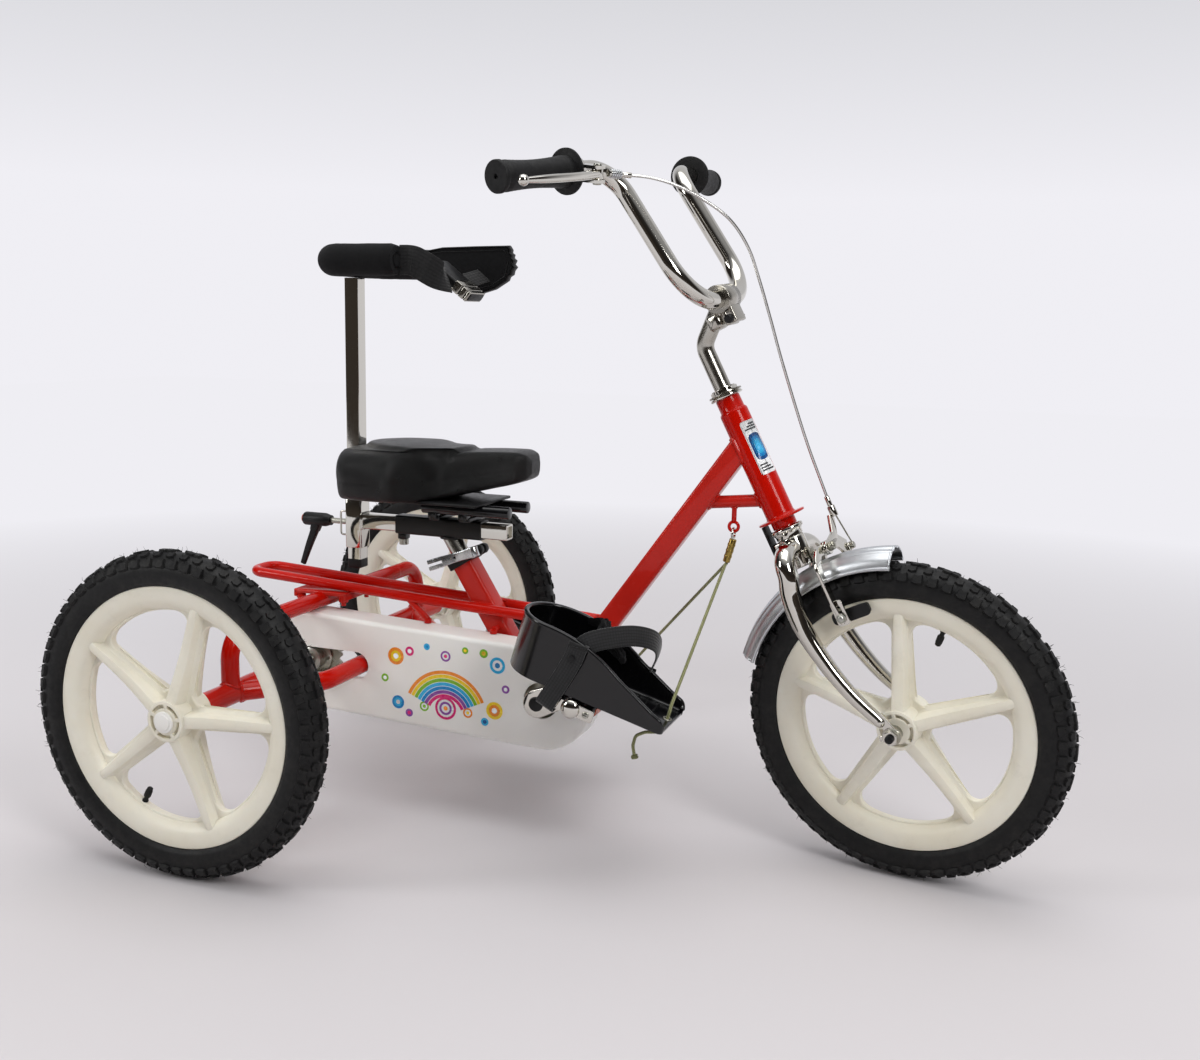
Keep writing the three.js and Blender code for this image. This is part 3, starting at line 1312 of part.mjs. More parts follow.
// Brake cable, held all the way: housing from the adjuster to the barrel, inner wire on to the anchor
const housingRoute = cableRoute.map(([x, y, z]) => point(x, y, z));
function brakeCable() {
  const barrel = point(caliperBarrelX, caliperCableY, caliperBarrelZ + barrelLength / 2 + gap);
  const curve = new THREE.CatmullRomCurve3([
    cableStart.clone().addScaledVector(housingRoute[0].clone().sub(cableStart).normalize(), gap * 2),
    ...housingRoute, barrel,
  ]);
  const housing = tube(curve.getSpacedPoints(22), cableRadius, 6);
  const wire = tube([
    barrel.clone().add(point(0, 0, sunk)),
    point(caliperBarrelX, caliperCableY, caliperBarrelZ - barrelLength / 2 - innerCableRadius),
    point(caliperBarrelX, caliperAnchorY, caliperAnchorZ + caliperArmWidth / 2 + padClearance),
  ], innerCableRadius, 6);
  return fused(housing, wire);
}
add(steering, 'brake_cable', brakeCable(), zincSteel);

// Front mudguard: an arched strip with rolled side edges, carried round the wheel
function mudguard() {
  const steps = 9;
  const inner = guardThickness;
  const rings = [];
  for (let i = 0; i <= steps; i += 1) {
    const turn = guardFrontAngle + ((guardRearAngle - guardFrontAngle) * i) / steps;
    const at = (radius, y) => point(forkRake + radius * Math.cos(turn), y, radius * Math.sin(turn));
    const outerSide = guardArchShares.map(([across, drop]) => [
      guardHalfWidth * across, guardRidgeRadius - (guardRidgeRadius - guardEdgeRadius) * drop,
    ]);
    const innerSide = guardArchShares.map(([across, drop]) => [
      (guardHalfWidth - inner) * across, guardRidgeRadius - inner - (guardRidgeRadius - guardEdgeRadius - inner) * drop,
    ]);
    const outer = [...outerSide.map(([y, r]) => [-y, r]).reverse(), ...outerSide.slice(1)];
    const back = [...innerSide.slice(1).reverse(), ...innerSide.map(([y, r]) => [-y, r])];
    rings.push([...outer, ...back].map(([y, r]) => at(r, y)));
  }
  const bead = (side) => tube(
    Array.from({ length: steps + 1 }, (_, i) => {
      const turn = guardFrontAngle + ((guardRearAngle - guardFrontAngle) * i) / steps;
      return point(
        forkRake + guardEdgeRadius * Math.cos(turn), side * guardHalfWidth, guardEdgeRadius * Math.sin(turn),
      );
    }),
    guardBeadRadius,
    4,
  );
  const stay = block(
    crownRadius + gap, crownRadius + gap + guardThickness, -stripWidth / 2, stripWidth / 2,
    guardRidgeRadius - (forkRake - crownRadius) * stayDropShare - inner, caliperZ + stripWidth / 2,
  );
  const bore = rod(point(0, 0, caliperZ), point(forkRake, 0, caliperZ), caliperBoltRadius + gap, 10);
  return cut(fused(loft(rings), bead(-1), bead(1), stay), bore);
}
add(steering, 'mudguard_front', mudguard(), brushedAluminium);

// Side-pull caliper: a bolt through the crown carries both arms one in front of the other
const nearArmX = caliperArmX;
const farArmX = caliperArmX + caliperArmThickness + gap;
function caliperBolt() {
  const nutBack = stripX - stripThickness - gap;
  const washer = crownRadius + gap + guardThickness + gap;
  const front = farArmX + caliperArmThickness + gap;
  return turnedAboutX([
    [0, nutBack - caliperNutHeight], [caliperNutRadius, nutBack - caliperNutHeight], [caliperNutRadius, nutBack],
    [caliperBoltRadius, nutBack], [caliperBoltRadius, washer], [caliperNutRadius, washer],
    [caliperNutRadius, nearArmX - gap], [caliperBoltRadius, nearArmX - gap], [caliperBoltRadius, front],
    [caliperNutRadius, front], [caliperNutRadius, (front + caliperDomeX) / 2], [caliperBoltRadius, caliperDomeX], [0, caliperDomeX],
  ], 12).translate(0, 0, caliperZ);
}
add(steering, 'caliper_bolt', caliperBolt(), chromePlate);

const padX = forkRake + caliperBoltRadius * 2;
function caliperArm(side, x, tail) {
  const middleX = x + caliperArmThickness / 2;
  const limb = bent([
    point(middleX, 0, caliperZ), point(middleX, side * caliperReach * limbShoulderShare, caliperZ),
    point(middleX, side * caliperReach, caliperZ - caliperReach * limbDropShare),
    point(middleX, side * caliperReach, caliperPadZ + caliperArmWidth * 2),
    point(middleX, side * (rimWidth / 2 + padClearance + padThickness * 2), caliperPadZ - caliperArmWidth / 2),
  ], [caliperArmWidth, caliperArmWidth * 2, caliperArmWidth * 2]);
  const section = boxSection(caliperArmWidth, caliperArmThickness);
  const arm = swept(limb, section, point(1, 0, 0));
  const lever = swept(tail, section, point(1, 0, 0));
  const eye = rod(point(x, 0, caliperZ), point(x + caliperArmThickness, 0, caliperZ), caliperArmWidth * eyeRingShare, 14);
  return { arm, lever, eye };
}
const armBore = rod(point(0, 0, caliperZ), point(caliperDomeX, 0, caliperZ), caliperBoltRadius + gap, 12);

function nearArm() {
  const middleX = nearArmX + caliperArmThickness / 2;
  const { arm, lever, eye } = caliperArm(-1, nearArmX, [
    point(middleX, 0, caliperZ), point(middleX, caliperAnchorY + caliperArmWidth / 2, caliperAnchorZ),
  ]);
  const anchor = block(
    nearArmX, caliperBarrelX + caliperArmWidth / 2, caliperAnchorY - caliperArmWidth / 2, caliperAnchorY + caliperArmWidth / 2,
    caliperAnchorZ - caliperArmWidth / 2, caliperAnchorZ + caliperArmWidth / 2,
  );
  return cut(fused(arm, lever, eye, anchor), armBore);
}

function farArm() {
  const middleX = farArmX + caliperArmThickness / 2;
  const { arm, lever, eye } = caliperArm(1, farArmX, [
    point(middleX, 0, caliperZ), point(middleX, caliperCableY, caliperBarrelZ),
  ]);
  const barrelAt = (z) => point(caliperBarrelX, caliperCableY, z);
  const barrel = rod(barrelAt(caliperBarrelZ - barrelLength / 2), barrelAt(caliperBarrelZ + barrelLength / 2), barrelRadius, 10);
  const wireBore = rod(barrelAt(caliperBarrelZ - barrelLength), barrelAt(caliperBarrelZ + barrelLength), barrelBore, 10);
  return cut(fused(arm, lever, eye, barrel), armBore, wireBore);
}
add(steering, 'caliper_arm_right', nearArm(), brushedAluminium);
add(steering, 'caliper_arm_left', farArm(), brushedAluminium);

function brakeShoe(x) {
  const inner = rimWidth / 2 + padClearance;
  const pad = swept([
    point(padX - padLength / 2, -inner - padThickness / 2, caliperPadZ),
    point(padX + padLength / 2, -inner - padThickness / 2, caliperPadZ),
  ], boxSection(padThickness, padHeight, padThickness / 4), point(0, 0, 1));
  const stud = rod(
    point(x + caliperArmThickness + gap + caliperBoltRadius, -inner - padThickness / 2, caliperPadZ),
    point(x + caliperArmThickness + gap + caliperBoltRadius, -inner - padThickness * studShare, caliperPadZ),
    caliperBoltRadius,
    8,
  );
  return fused(pad, stud);
}
add(steering, 'brake_shoe_right', brakeShoe(nearArmX), blackRubber);
add(steering, 'brake_shoe_left', mirrored(brakeShoe(farArmX)), blackRubber);

// Rubber stop strip behind the crown
const stripHole = rod(point(stripX - overrun * 2, 0, caliperZ), point(0, 0, caliperZ), caliperBoltRadius + gap, 10);
add(steering, 'stop_strip', cut(block(
  stripX - stripThickness, stripX, -stripWidth / 2, stripWidth / 2, crownBottom, stopRingZ - sunk,
), stripHole), blackRubber);

// Seat post with its welded sleeve
const sleeveBottom = barZ - sleeveWidth / 2;
const postTopDistance = (sleeveBottom + sunk - seatTubeTopZ) / seatAxis.z;
function seatPost() {
  const half = sleeveWidth / 2;
  const inner = half - sleeveWall;
  const post = rod(alongSeatTube(-seatPostDepth), alongSeatTube(postTopDistance + sleeveWall * 2), seatPostRadius, 18);
  const sleeve = block(sleeveRearX, sleeveFrontX, -half, half, barZ - half, barZ + half);
  const nutBoss = rod(
    point(setScrewX, 0, sleeveBottom - setScrewRadius * 2), point(setScrewX, 0, sleeveBottom + sunk), setScrewHeadRadius, 6,
  );
  const bore = block(sleeveRearX - overrun, sleeveFrontX + overrun, -inner, inner, barZ - inner, barZ + inner);
  const screwBore = rod(point(setScrewX, 0, sleeveBottom - setScrewLength), point(setScrewX, 0, barZ), setScrewRadius + gap, 10);
  return cut(fused(post, sleeve, nutBoss), bore, screwBore);
}
add(chassis, 'seat_post', seatPost(), blackPaint);

const barBottom = barZ - barWidth / 2;
const screwHeadTop = sleeveBottom - setScrewRadius * 2 - gap;
add(chassis, 'set_screw', turnedAboutZ([
  [0, barBottom - gap], [setScrewRadius, barBottom - gap], [setScrewRadius, screwHeadTop],
  [setScrewHeadRadius, screwHeadTop], [setScrewHeadRadius, screwHeadTop - setScrewRadius * 2],
  [setScrewRadius / 2, screwHeadTop - setScrewRadius * 2], [setScrewRadius / 2, screwHeadTop - setScrewRadius],
  [0, screwHeadTop - setScrewRadius],
], 12).translate(setScrewX, 0, 0), zincSteel);

// Seat collar with two ears in front and the quick-release lever beside them
const seatForward = point(Math.cos(seatTubeLean), 0, Math.sin(seatTubeLean));
const earCentre = alongSeatTube(collarTop - collarHeight / 2)
  .addScaledVector(seatForward, seatTubeWidth / 2 + collarWall + earReach);
const earHalfWidth = (seatTubeWidth * earWidthShare) / 2;
function seatCollar() {
  const [low, high] = [alongSeatTube(collarTop - collarHeight), alongSeatTube(collarTop)];
  const wide = seatTubeWidth + 2 * (gap + collarWall);
  const ring = swept([low, high], boxSection(wide, wide, tubeCorner), point(0, 1, 0));
  const tool = swept(
    [alongSeatTube(collarTop - collarHeight - overrun), alongSeatTube(collarTop + overrun)],
    boxSection(seatTubeWidth + 2 * gap, seatTubeWidth + 2 * gap, tubeCorner),
    point(0, 1, 0),
  );
  const ears = swept(
    [earCentre.clone().addScaledVector(seatForward, -earReach - collarWall / 2), earCentre.clone().addScaledVector(seatForward, earReach)],
    boxSection(2 * earHalfWidth, collarHeight, collarWall / 2),
    seatAxis,
  );
  const nut = rod(alongY(earCentre, earHalfWidth - sunk), alongY(earCentre, earHalfWidth + releaseNutHeight), camRadius, 6);
  return cut(fused(ring, ears, nut), tool);
}
add(chassis, 'seat_collar', seatCollar(), blackPaint);

function releaseLever() {
  const camCentre = alongY(earCentre, -earHalfWidth - gap - camRadius);
  const direction = point(-Math.cos(releaseLeverFall), 0, -Math.sin(releaseLeverFall));
  const camAxis = point(Math.sin(releaseLeverFall), 0, -Math.cos(releaseLeverFall));
  const cam = rod(
    camCentre.clone().addScaledVector(camAxis, -releaseLeverWidth / 2),
    camCentre.clone().addScaledVector(camAxis, releaseLeverWidth / 2),
    camRadius,
    12,
  );
  const beside = seatTubeWidth / 2 + collarWall + 3 * gap + releaseLeverThickness / 2;
  const start = alongY(earCentre, -beside);
  const bend = start.clone().addScaledVector(direction, releaseLeverLength / 3);
  const tip = start.clone().addScaledVector(direction, releaseLeverLength).add(point(0, -releaseLeverFlare, 0));
  return fused(cam, swept([start, bend, tip], boxSection(releaseLeverWidth, releaseLeverThickness, sunk), point(0, 1, 0)));
}
add(chassis, 'quick_release_lever', releaseLever(), chromePlate);

// Saddle under-frame: two rods on cross plates that sit on the sleeve
const sleeveTop = barZ + sleeveWidth / 2;
function saddleRods() {
  const rodAt = (side) => rod(point(rodRearX, (side * rodSpacing) / 2, rodZ), point(rodFrontX, (side * rodSpacing) / 2, rodZ), rodRadius, 12);
  const platform = (x) => block(
    x - rodRadius, x + rodRadius, -rodSpacing / 2, rodSpacing / 2, sleeveTop + gap, rodZ,
  );
  const rearX = rodRearX + rodRadius * 2;
  const frontX = sleeveFrontX - rodRadius * 2;
  return fused(rodAt(-1), rodAt(1), platform(rearX), platform(frontX));
}
add(chassis, 'saddle_rods', saddleRods(), blackPaint);

// Saddle: broad rear, waist, narrow nose, a raised oval seat area
function saddle() {
  const rings = saddleShares.map(([lengthShare, widthShare, topShare, bottomShare]) => {
    const x = saddleRearX + saddleLength * lengthShare;
    const half = saddleHalfWidth * widthShare;
    const height = saddleTopZ - saddleBottomZ;
    const top = saddleBottomZ + height * topShare;
    const bottom = saddleBottomZ + height * bottomShare;
    const crown = saddleCrown * widthShare;
    return saddleSectionShares.map(([across, up]) => {
      const rise = up > 0.5 ? crown * (1 - across * across) : 0;
      return point(x, half * across, bottom + (top - bottom) * up + rise);
    });
  });
  return loft(rings);
}
add(chassis, 'saddle', saddle(), blackVinyl);

// Backrest arm: a square bar in the sleeve with a welded upright sleeve behind
function backrestArm() {
  const half = sleeveWidth / 2;
  const bar = block(uprightX, barFrontX, -barWidth / 2, barWidth / 2, barBottom, barBottom + barWidth);
  const upright = block(uprightX - half, uprightX + half, -half, half, uprightSleeveBottom, uprightSleeveTop);
  const inner = barWidth / 2 + gap;
  const bore = block(
    uprightX - inner, uprightX + inner, -inner, inner, uprightSleeveBottom - overrun, uprightSleeveTop + overrun,
  );
  const studBore = rod(point(uprightX - sleeveWidth, 0, clampZ), point(uprightX, 0, clampZ), clampStudRadius + gap, 12);
  const stapleY = -half + stapleRadius * 2;
  const stapleHalf = sleeveWidth * stapleShare;
  const staple = tube(bent([
    point(uprightX - half + sunk, stapleY, clampZ + stapleHalf), point(uprightX - half - stapleReach, stapleY, clampZ + stapleHalf),
    point(uprightX - half - stapleReach, stapleY, clampZ - stapleHalf), point(uprightX - half + sunk, stapleY, clampZ - stapleHalf),
  ], stapleRadius * 2), stapleRadius, 6);
  return cut(fused(bar, upright, staple), bore, studBore);
}
add(chassis, 'backrest_arm', backrestArm(), chromePlate);

function clampLever() {
  const hub = turnedAboutX([
    [0, clampHubX], [clampHubRadius - sunk, clampHubX], [clampHubRadius, clampHubX + sunk], [clampHubRadius, clampHubEndX - clampHubRadius],
    [clampHubRadius * rootShare, clampHubEndX], [clampStudRadius, clampHubEndX], [clampStudRadius, uprightX - barWidth / 2 - gap],
    [0, uprightX - barWidth / 2 - gap],
  ], 14).translate(0, 0, clampZ);
  const rootX = (clampHubX + clampHubEndX) / 2;
  const arm = swept(
    [point(rootX, 0, clampZ), point(clampHubX - clampLeverWidth / 2, 0, clampZ - clampLeverReach)],
    boxSection(clampLeverDepth, clampLeverWidth, clampLeverWidth / 4),
    point(0, 1, 0),
    (i) => (i ? leverTipShare : 1),
  );
  return fused(hub, arm);
}
add(chassis, 'clamp_lever', clampLever(), blackPlastic);

const hoopBottom = hoopZ - hoopRadius;
function backrestPost() {
  const half = barWidth / 2;
  const inner = half - sleeveWall;
  const bar = block(uprightX - half, uprightX + half, -half, half, uprightBottomZ, hoopBottom - gap);
  return cut(bar, block(uprightX - inner, uprightX + inner, -inner, inner, uprightBottomZ + postCapHeight, hoopZ));
}
add(chassis, 'backrest_post', backrestPost(), chromePlate);
add(chassis, 'backrest_hoop', tube(bent([
  point(hoopArmEndX, -hoopHalfWidth, hoopZ), point(uprightX, -hoopHalfWidth, hoopZ),
  point(uprightX, hoopHalfWidth, hoopZ), point(hoopArmEndX, hoopHalfWidth, hoopZ),
], hoopBend), hoopRadius, 14), blackFoam);

// Belt: webbing from the right arm to the buckle, padded belt along the left arm
function ribbon(stations, width, thickness) {
  return loft(stations.map(([centre, across, normal]) => {
    const a = across.clone().normalize();
    const n = normal.clone().addScaledVector(a, -normal.dot(a)).normalize();
    return boxSection(width, thickness).map((s) => centre.clone().addScaledVector(a, s.x).addScaledVector(n, s.y));
  }));
}
const buckleCentre = point(
  hoopArmEndX + buckleLength * buckleShares[0], -buckleWidth * buckleShares[1], hoopZ - buckleLength * buckleShares[2],
);
const buckleAcross = point(Math.sin(buckleTilt), 0, -Math.cos(buckleTilt));
const buckleNormal = point(Math.cos(buckleTilt), 0, Math.sin(buckleTilt));
const buckleNearY = buckleCentre.y - buckleWidth / 2;
const buckleFarY = buckleCentre.y + buckleWidth / 2;
// The webbing stands upright all the way, so that each of its faces is flat
function beltWebbing() {
  const start = point(hoopArmEndX + gap, -hoopHalfWidth + webbingWidth / 6, hoopZ);
  const end = point(buckleCentre.x, buckleNearY - gap, buckleCentre.z);
  const centres = webbingShares.map(([forward, inward, fall]) => point(
    start.x + (end.x - start.x) * forward, start.y + (end.y - start.y) * inward, start.z + (end.z - start.z) * fall,
  ));
  const down = point(0, 0, -1);
  const stations = centres.map((centre, i) => {
    const last = centres.length - 1;
    const between = i && i < last ? centres[i + 1].clone().sub(centres[i - 1]).setZ(0) : point(i ? 0 : 1, i ? 1 : 0, 0);
    return [centre, down, down.clone().cross(between)];
  });
  return ribbon(stations, webbingWidth, webbingThickness);
}
add(chassis, 'belt_webbing', beltWebbing(), blackFabric);
add(chassis, 'belt_buckle', ribbon([
  [alongY(buckleCentre, buckleNearY), buckleAcross, buckleNormal],
  [alongY(buckleCentre, buckleFarY), buckleAcross, buckleNormal],
], buckleLength, buckleThickness), blackPlastic);

function beltPad() {
  const outer = hoopHalfWidth - hoopRadius - gap;
  const low = hoopZ - padBeltHeight * padShares.low;
  const shape = outline([
    [uprightX + hoopBend + gap, low], [padBeltEndX - padBeltHeight * padShares.corner, low],
    [padBeltEndX - padBeltThickness, low + padBeltHeight * padShares.slant],
    [padBeltEndX, low + padBeltHeight * padShares.shoulder], [padBeltEndX - padBeltThickness / 2, low + padBeltHeight],
    [uprightX + hoopBend + gap, low + padBeltHeight],
  ]);
  const pad = slab(shape, outer - padBeltThickness, outer);
  const tongue = ribbon([
    [alongY(buckleCentre, buckleFarY + gap), buckleAcross, buckleNormal],
    [point(buckleCentre.x + padBeltThickness, outer - padBeltThickness + sunk, buckleCentre.z + padBeltThickness), buckleAcross, buckleNormal],
  ], webbingWidth * tongueShare, webbingThickness);
  return fused(pad, tongue);
}
add(chassis, 'belt_pad', beltPad(), blackFoam);

// Clip that hangs in the frame's eye, and the two elastic cords to the toes of the footplates
function cordClip() {
  const ring = welded(new THREE.TorusGeometry(clipRingRadius, clipWireRadius, 5, 11).rotateY(Math.PI / 2))
    .translate(eyeCentre.x, 0, eyeCentre.z - eyeRingRadius + eyeWire + gap + clipWireRadius - clipRingRadius);
  const hangZ = eyeCentre.z - eyeRingRadius + eyeWire + gap + clipWireRadius - 2 * clipRingRadius;
  const crimp = rod(point(eyeCentre.x, 0, hangZ), point(cordTop[0], 0, cordTop[2] + gap + crimpRadius * crimpTiltShare), crimpRadius, 10);
  return fused(ring, crimp);
}
add(chassis, 'cord_clip', cordClip(), zincSteel);

function elasticCord(route) {
  const corners = route.map(([x, y, z]) => point(x, y, z));
  return tube(bent(corners, cordRadius * 2), cordRadius, 6);
}
add(chassis, 'elastic_cord_right', elasticCord(cordRouteRight), oliveElastic);
add(chassis, 'elastic_cord_left', elasticCord(cordRouteLeft), oliveElastic);

// Origin on the floor under the middle of the whole tricycle
const whole = new THREE.Box3().setFromObject(tricycle, true);
const middle = whole.getCenter(point(0, 0, 0));
chassis.position.set(-middle.x, -middle.y, -whole.min.z);

export default tricycle;
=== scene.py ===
# %% [markdown]
# # Adaptive tricycle: looks
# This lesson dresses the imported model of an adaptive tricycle: two wheels behind, the right one driven, one
# steered wheel in front, a padded seat with a chest belt, and footplates with straps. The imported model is
# loaded as a fixed frame whose bodies the pieces ride on. The making code counts in millimetres from the floor
# under the middle of the rear axle, with +X forward and +Y to the rider's left, because that is how a frame
# builder's drawing counts. One value, SHIFT, takes those numbers into the model's own place.

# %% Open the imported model
import json
import math
import random
import bpy
import bmesh
import numpy as np
from mathutils import Matrix, Vector


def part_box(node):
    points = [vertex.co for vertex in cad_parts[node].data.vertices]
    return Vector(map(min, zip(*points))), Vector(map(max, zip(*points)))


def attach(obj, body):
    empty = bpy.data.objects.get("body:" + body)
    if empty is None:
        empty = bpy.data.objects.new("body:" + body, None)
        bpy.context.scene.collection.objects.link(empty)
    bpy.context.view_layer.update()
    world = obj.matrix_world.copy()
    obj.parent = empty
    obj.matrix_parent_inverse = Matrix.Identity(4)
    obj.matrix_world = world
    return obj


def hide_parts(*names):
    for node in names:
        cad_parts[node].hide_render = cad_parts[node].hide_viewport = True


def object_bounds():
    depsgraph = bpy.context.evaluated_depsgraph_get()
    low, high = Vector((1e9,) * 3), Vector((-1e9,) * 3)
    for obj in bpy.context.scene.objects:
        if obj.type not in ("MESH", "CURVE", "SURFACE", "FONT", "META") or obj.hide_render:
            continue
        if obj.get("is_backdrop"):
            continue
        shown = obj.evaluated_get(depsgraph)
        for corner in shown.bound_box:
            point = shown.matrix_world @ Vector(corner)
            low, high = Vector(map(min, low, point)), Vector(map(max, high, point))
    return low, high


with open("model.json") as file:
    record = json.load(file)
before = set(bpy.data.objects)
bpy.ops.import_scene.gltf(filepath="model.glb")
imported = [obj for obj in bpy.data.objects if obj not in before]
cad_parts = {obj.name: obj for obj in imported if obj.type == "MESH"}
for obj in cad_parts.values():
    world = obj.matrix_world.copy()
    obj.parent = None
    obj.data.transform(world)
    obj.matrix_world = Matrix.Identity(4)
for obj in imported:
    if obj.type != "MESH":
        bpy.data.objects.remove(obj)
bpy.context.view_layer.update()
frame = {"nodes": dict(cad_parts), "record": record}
MM = 0.001
axle_low, axle_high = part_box("rear_axle")
SHIFT = (axle_low.x + axle_high.x) / 2 / MM
rng = random.Random(7)
print(f"the rear axle stands at x = {SHIFT:.2f} mm")

# %% [markdown]
# ## Camera
# A wheel seen at an angle is an ellipse, and the ratio of its axes gives the angle. The turn, the tilt and the
# distance were worked out from the three wheels and the axle, which is surer than moving a camera by eye. The lens is
# then set from its focal length in pixels over a picture 1200 pixels wide.

# %% Place the camera
AZIMUTH, PITCH, ROLL = (math.radians(a) for a in (20.328, 9.572, 1.134))
EYE = Vector((0.9703 + SHIFT * MM, -1.531, 0.6806))
FOCAL_PIXELS, PICTURE_PIXELS, SENSOR_MM = 1269.7, 1200, 36
back = Vector((math.sin(AZIMUTH) * math.cos(PITCH), -math.cos(AZIMUTH) * math.cos(PITCH), math.sin(PITCH)))
side = (-back).cross(Vector((0, 0, 1))).normalized()
above = side.cross(-back).normalized()
right = math.cos(ROLL) * side + math.sin(ROLL) * above
top = -math.sin(ROLL) * side + math.cos(ROLL) * above
camera_data = bpy.data.cameras.new("camera")
camera_data.sensor_fit = "HORIZONTAL"
camera_data.sensor_width = SENSOR_MM
camera_data.lens = FOCAL_PIXELS / PICTURE_PIXELS * SENSOR_MM
camera_data.clip_start = 0.02
camera = bpy.data.objects.new("camera", camera_data)
bpy.context.scene.collection.objects.link(camera)
camera.matrix_world = Matrix((
    (right.x, top.x, back.x, EYE.x),
    (right.y, top.y, back.y, EYE.y),
    (right.z, top.z, back.z, EYE.z),
    (0, 0, 0, 1),
))
bpy.context.scene.camera = camera
print(f"lens {camera_data.lens:.2f} mm, {EYE.z:.2f} m above the floor")

# %% [markdown]
# ## Colours and nodes
# A paint card gives a colour as an sRGB hex code, and Blender's shaders reckon in linear light, so one function
# turns the code into linear light. A second one adds a node with its settings and links, or sets the node that
# a tree already has. Textures count in metres, so a pattern's size is written in millimetres and divided into
# METRE.

# %% Colour and node helpers
METRE = 1000
NOISE, CELLS, SPAN = "ShaderNodeTexNoise", "ShaderNodeTexVoronoi", "ShaderNodeMapRange"
MIX, MATH, RAMP, BUMP = "ShaderNodeMix", "ShaderNodeMath", "ShaderNodeValToRGB", "ShaderNodeBump"
COORDINATES, SPLIT = "ShaderNodeTexCoord", "ShaderNodeSeparateXYZ"
NONE, FULL = (0, 0, 0, 1), (1, 1, 1, 1)


def linear(code):
    """Linear colour of an sRGB hex code."""
    parts = [int(code[i:i + 2], 16) / 255 for i in (1, 3, 5)]
    return [p / 12.92 if p <= 0.04045 else ((p + 0.055) / 1.055) ** 2.4 for p in parts] + [1]


def node(tree, kind, links=None, stops=(), **settings):
    """A new node, or the tree's own one of that name, with its settings, links and colour stops."""
    made = tree.nodes[kind] if kind in tree.nodes else tree.nodes.new(kind)
    for key, value in settings.items():
        setattr(made, key, value)
    for socket, value in (links or {}).items():
        if isinstance(value, bpy.types.NodeSocket):
            tree.links.new(value, made.inputs[socket])
        else:
            made.inputs[socket].default_value = value
    if stops:
        elements = made.color_ramp.elements
        elements[0].position, elements[0].color = stops[0]
        elements[1].position, elements[1].color = stops[-1]
        for at, tone in stops[1:-1]:
            elements.new(at).color = tone
    return made


print("mid grey #808080 is", round(linear("#808080")[0], 3), "in linear light")

# %% [markdown]
# ## What all finishes share
# A new surface is never quite even: its tone drifts in soft clouds, dust or wear lies over it, the enamel gets a
# painted highlight along its sharp edges, its roughness drifts too, and it has relief at several sizes. Each of these
# is a step that takes what the last one gave, so that a finish below is a short list of its own sizes and strengths.

# %% Clouds, dust and a painted highlight, roughness and relief


def begin(name):
    """A material, its tree, and the place on the object in metres."""
    material = bpy.data.materials.new(name)
    material.use_nodes = True
    return material, material.node_tree, node(material.node_tree, COORDINATES).outputs["Object"]


def pattern(tree, where, size, detail, harsh):
    """Cloudy noise whose features are size millimetres wide."""
    return node(tree, NOISE, {
        "Vector": where, "Scale": METRE / size, "Detail": detail, "Roughness": harsh}).outputs[0]


def clouded(tree, cloud, light, dark, low, high, most=1):
    """Two tones, mixed where the cloud goes from low to high."""
    share = node(tree, SPAN, {"Value": cloud, "From Min": low, "From Max": high, "To Min": 0, "To Max": most})
    return node(tree, MIX, {0: share.outputs[0], 6: linear(light), 7: linear(dark)}, data_type="RGBA").outputs[2]


def dust_and_painted_highlight(tree, shade, dust, tone, low, high, share):
    """A share of another tone over the shade, where the mask goes from low to high: dust on plastics and rubber, a
    painted highlight on the sharp edges of the enamel.
    """
    spots = node(tree, RAMP, {0: dust}, ((low, NONE), (high, FULL))).outputs[0]
    spots = node(tree, MATH, {0: spots, 1: share}, operation="MULTIPLY").outputs[0]
    return node(tree, MIX, {0: spots, 6: shade, 7: linear(tone)}, data_type="RGBA").outputs[2]


def hazed(tree, haze, low, high):
    """Roughness that drifts between two values."""
    return node(tree, SPAN, {
        "Value": haze, "From Min": 0.3, "From Max": 0.7, "To Min": low, "To Max": high}).outputs[0]


def relief(tree, *layers):
    """Layers of (height, strength, depth in metres), each bending the light of the one before."""
    below = {}
    for height, strength, depth in layers:
        links = {"Height": height, "Strength": strength, "Distance": depth, **below}
        below = {"Normal": node(tree, BUMP, links).outputs[0]}
    return below["Normal"]


print("steps of a finish: clouds, dust, roughness, relief")

# %% [markdown]
# ## Stoving enamel
# The frame is welded steel under a thick stoved enamel. The eye reads it by its deep red, by one sharp
# highlight along each tube, and by the slight orange peel in that highlight. A clear coat over a red base does
# this better than a single glossy layer. A plain enamel has an IOR of 1.5 and a roughness near 0.1; both were
# brought down, since the tubes mirror a pale room and would else turn pink. Orange peel is about 4 mm wide.

# %% Red enamel


def enamel(name, color, dark, rough=0.2):
    material, tree, where = begin(name)
    shade = clouded(tree, pattern(tree, where, 111, 3, 0.6), color, dark, 0.35, 0.7, 0.7)
    # Pointiness is high on sharp convex edges, and there a share of pale pink is mixed in: a painted highlight along
    # the edges.
    proud = node(tree, "ShaderNodeNewGeometry").outputs["Pointiness"]
    node(tree, "Principled BSDF", {"Base Color": dust_and_painted_highlight(tree, shade, proud, "#e8a090", 0.53, 0.62, 0.06),
        "Roughness": hazed(tree, pattern(tree, where, 16.7, 5, 0.6), rough - 0.05, rough + 0.09),
        "Coat Weight": 0.6, "Coat Roughness": 0.035, "Coat IOR": 1.28, "Specular IOR Level": 0.1,
        "Normal": relief(tree, (pattern(tree, where, 3.85, 2, 0.6), 0.05, 0.0004),
        (pattern(tree, where, 45.5, 2, 0.6), 0.06, 0.002))})
    return material


RED = enamel("red_enamel", "#c41204", "#ad0d03")
print("enamel:", RED.name)

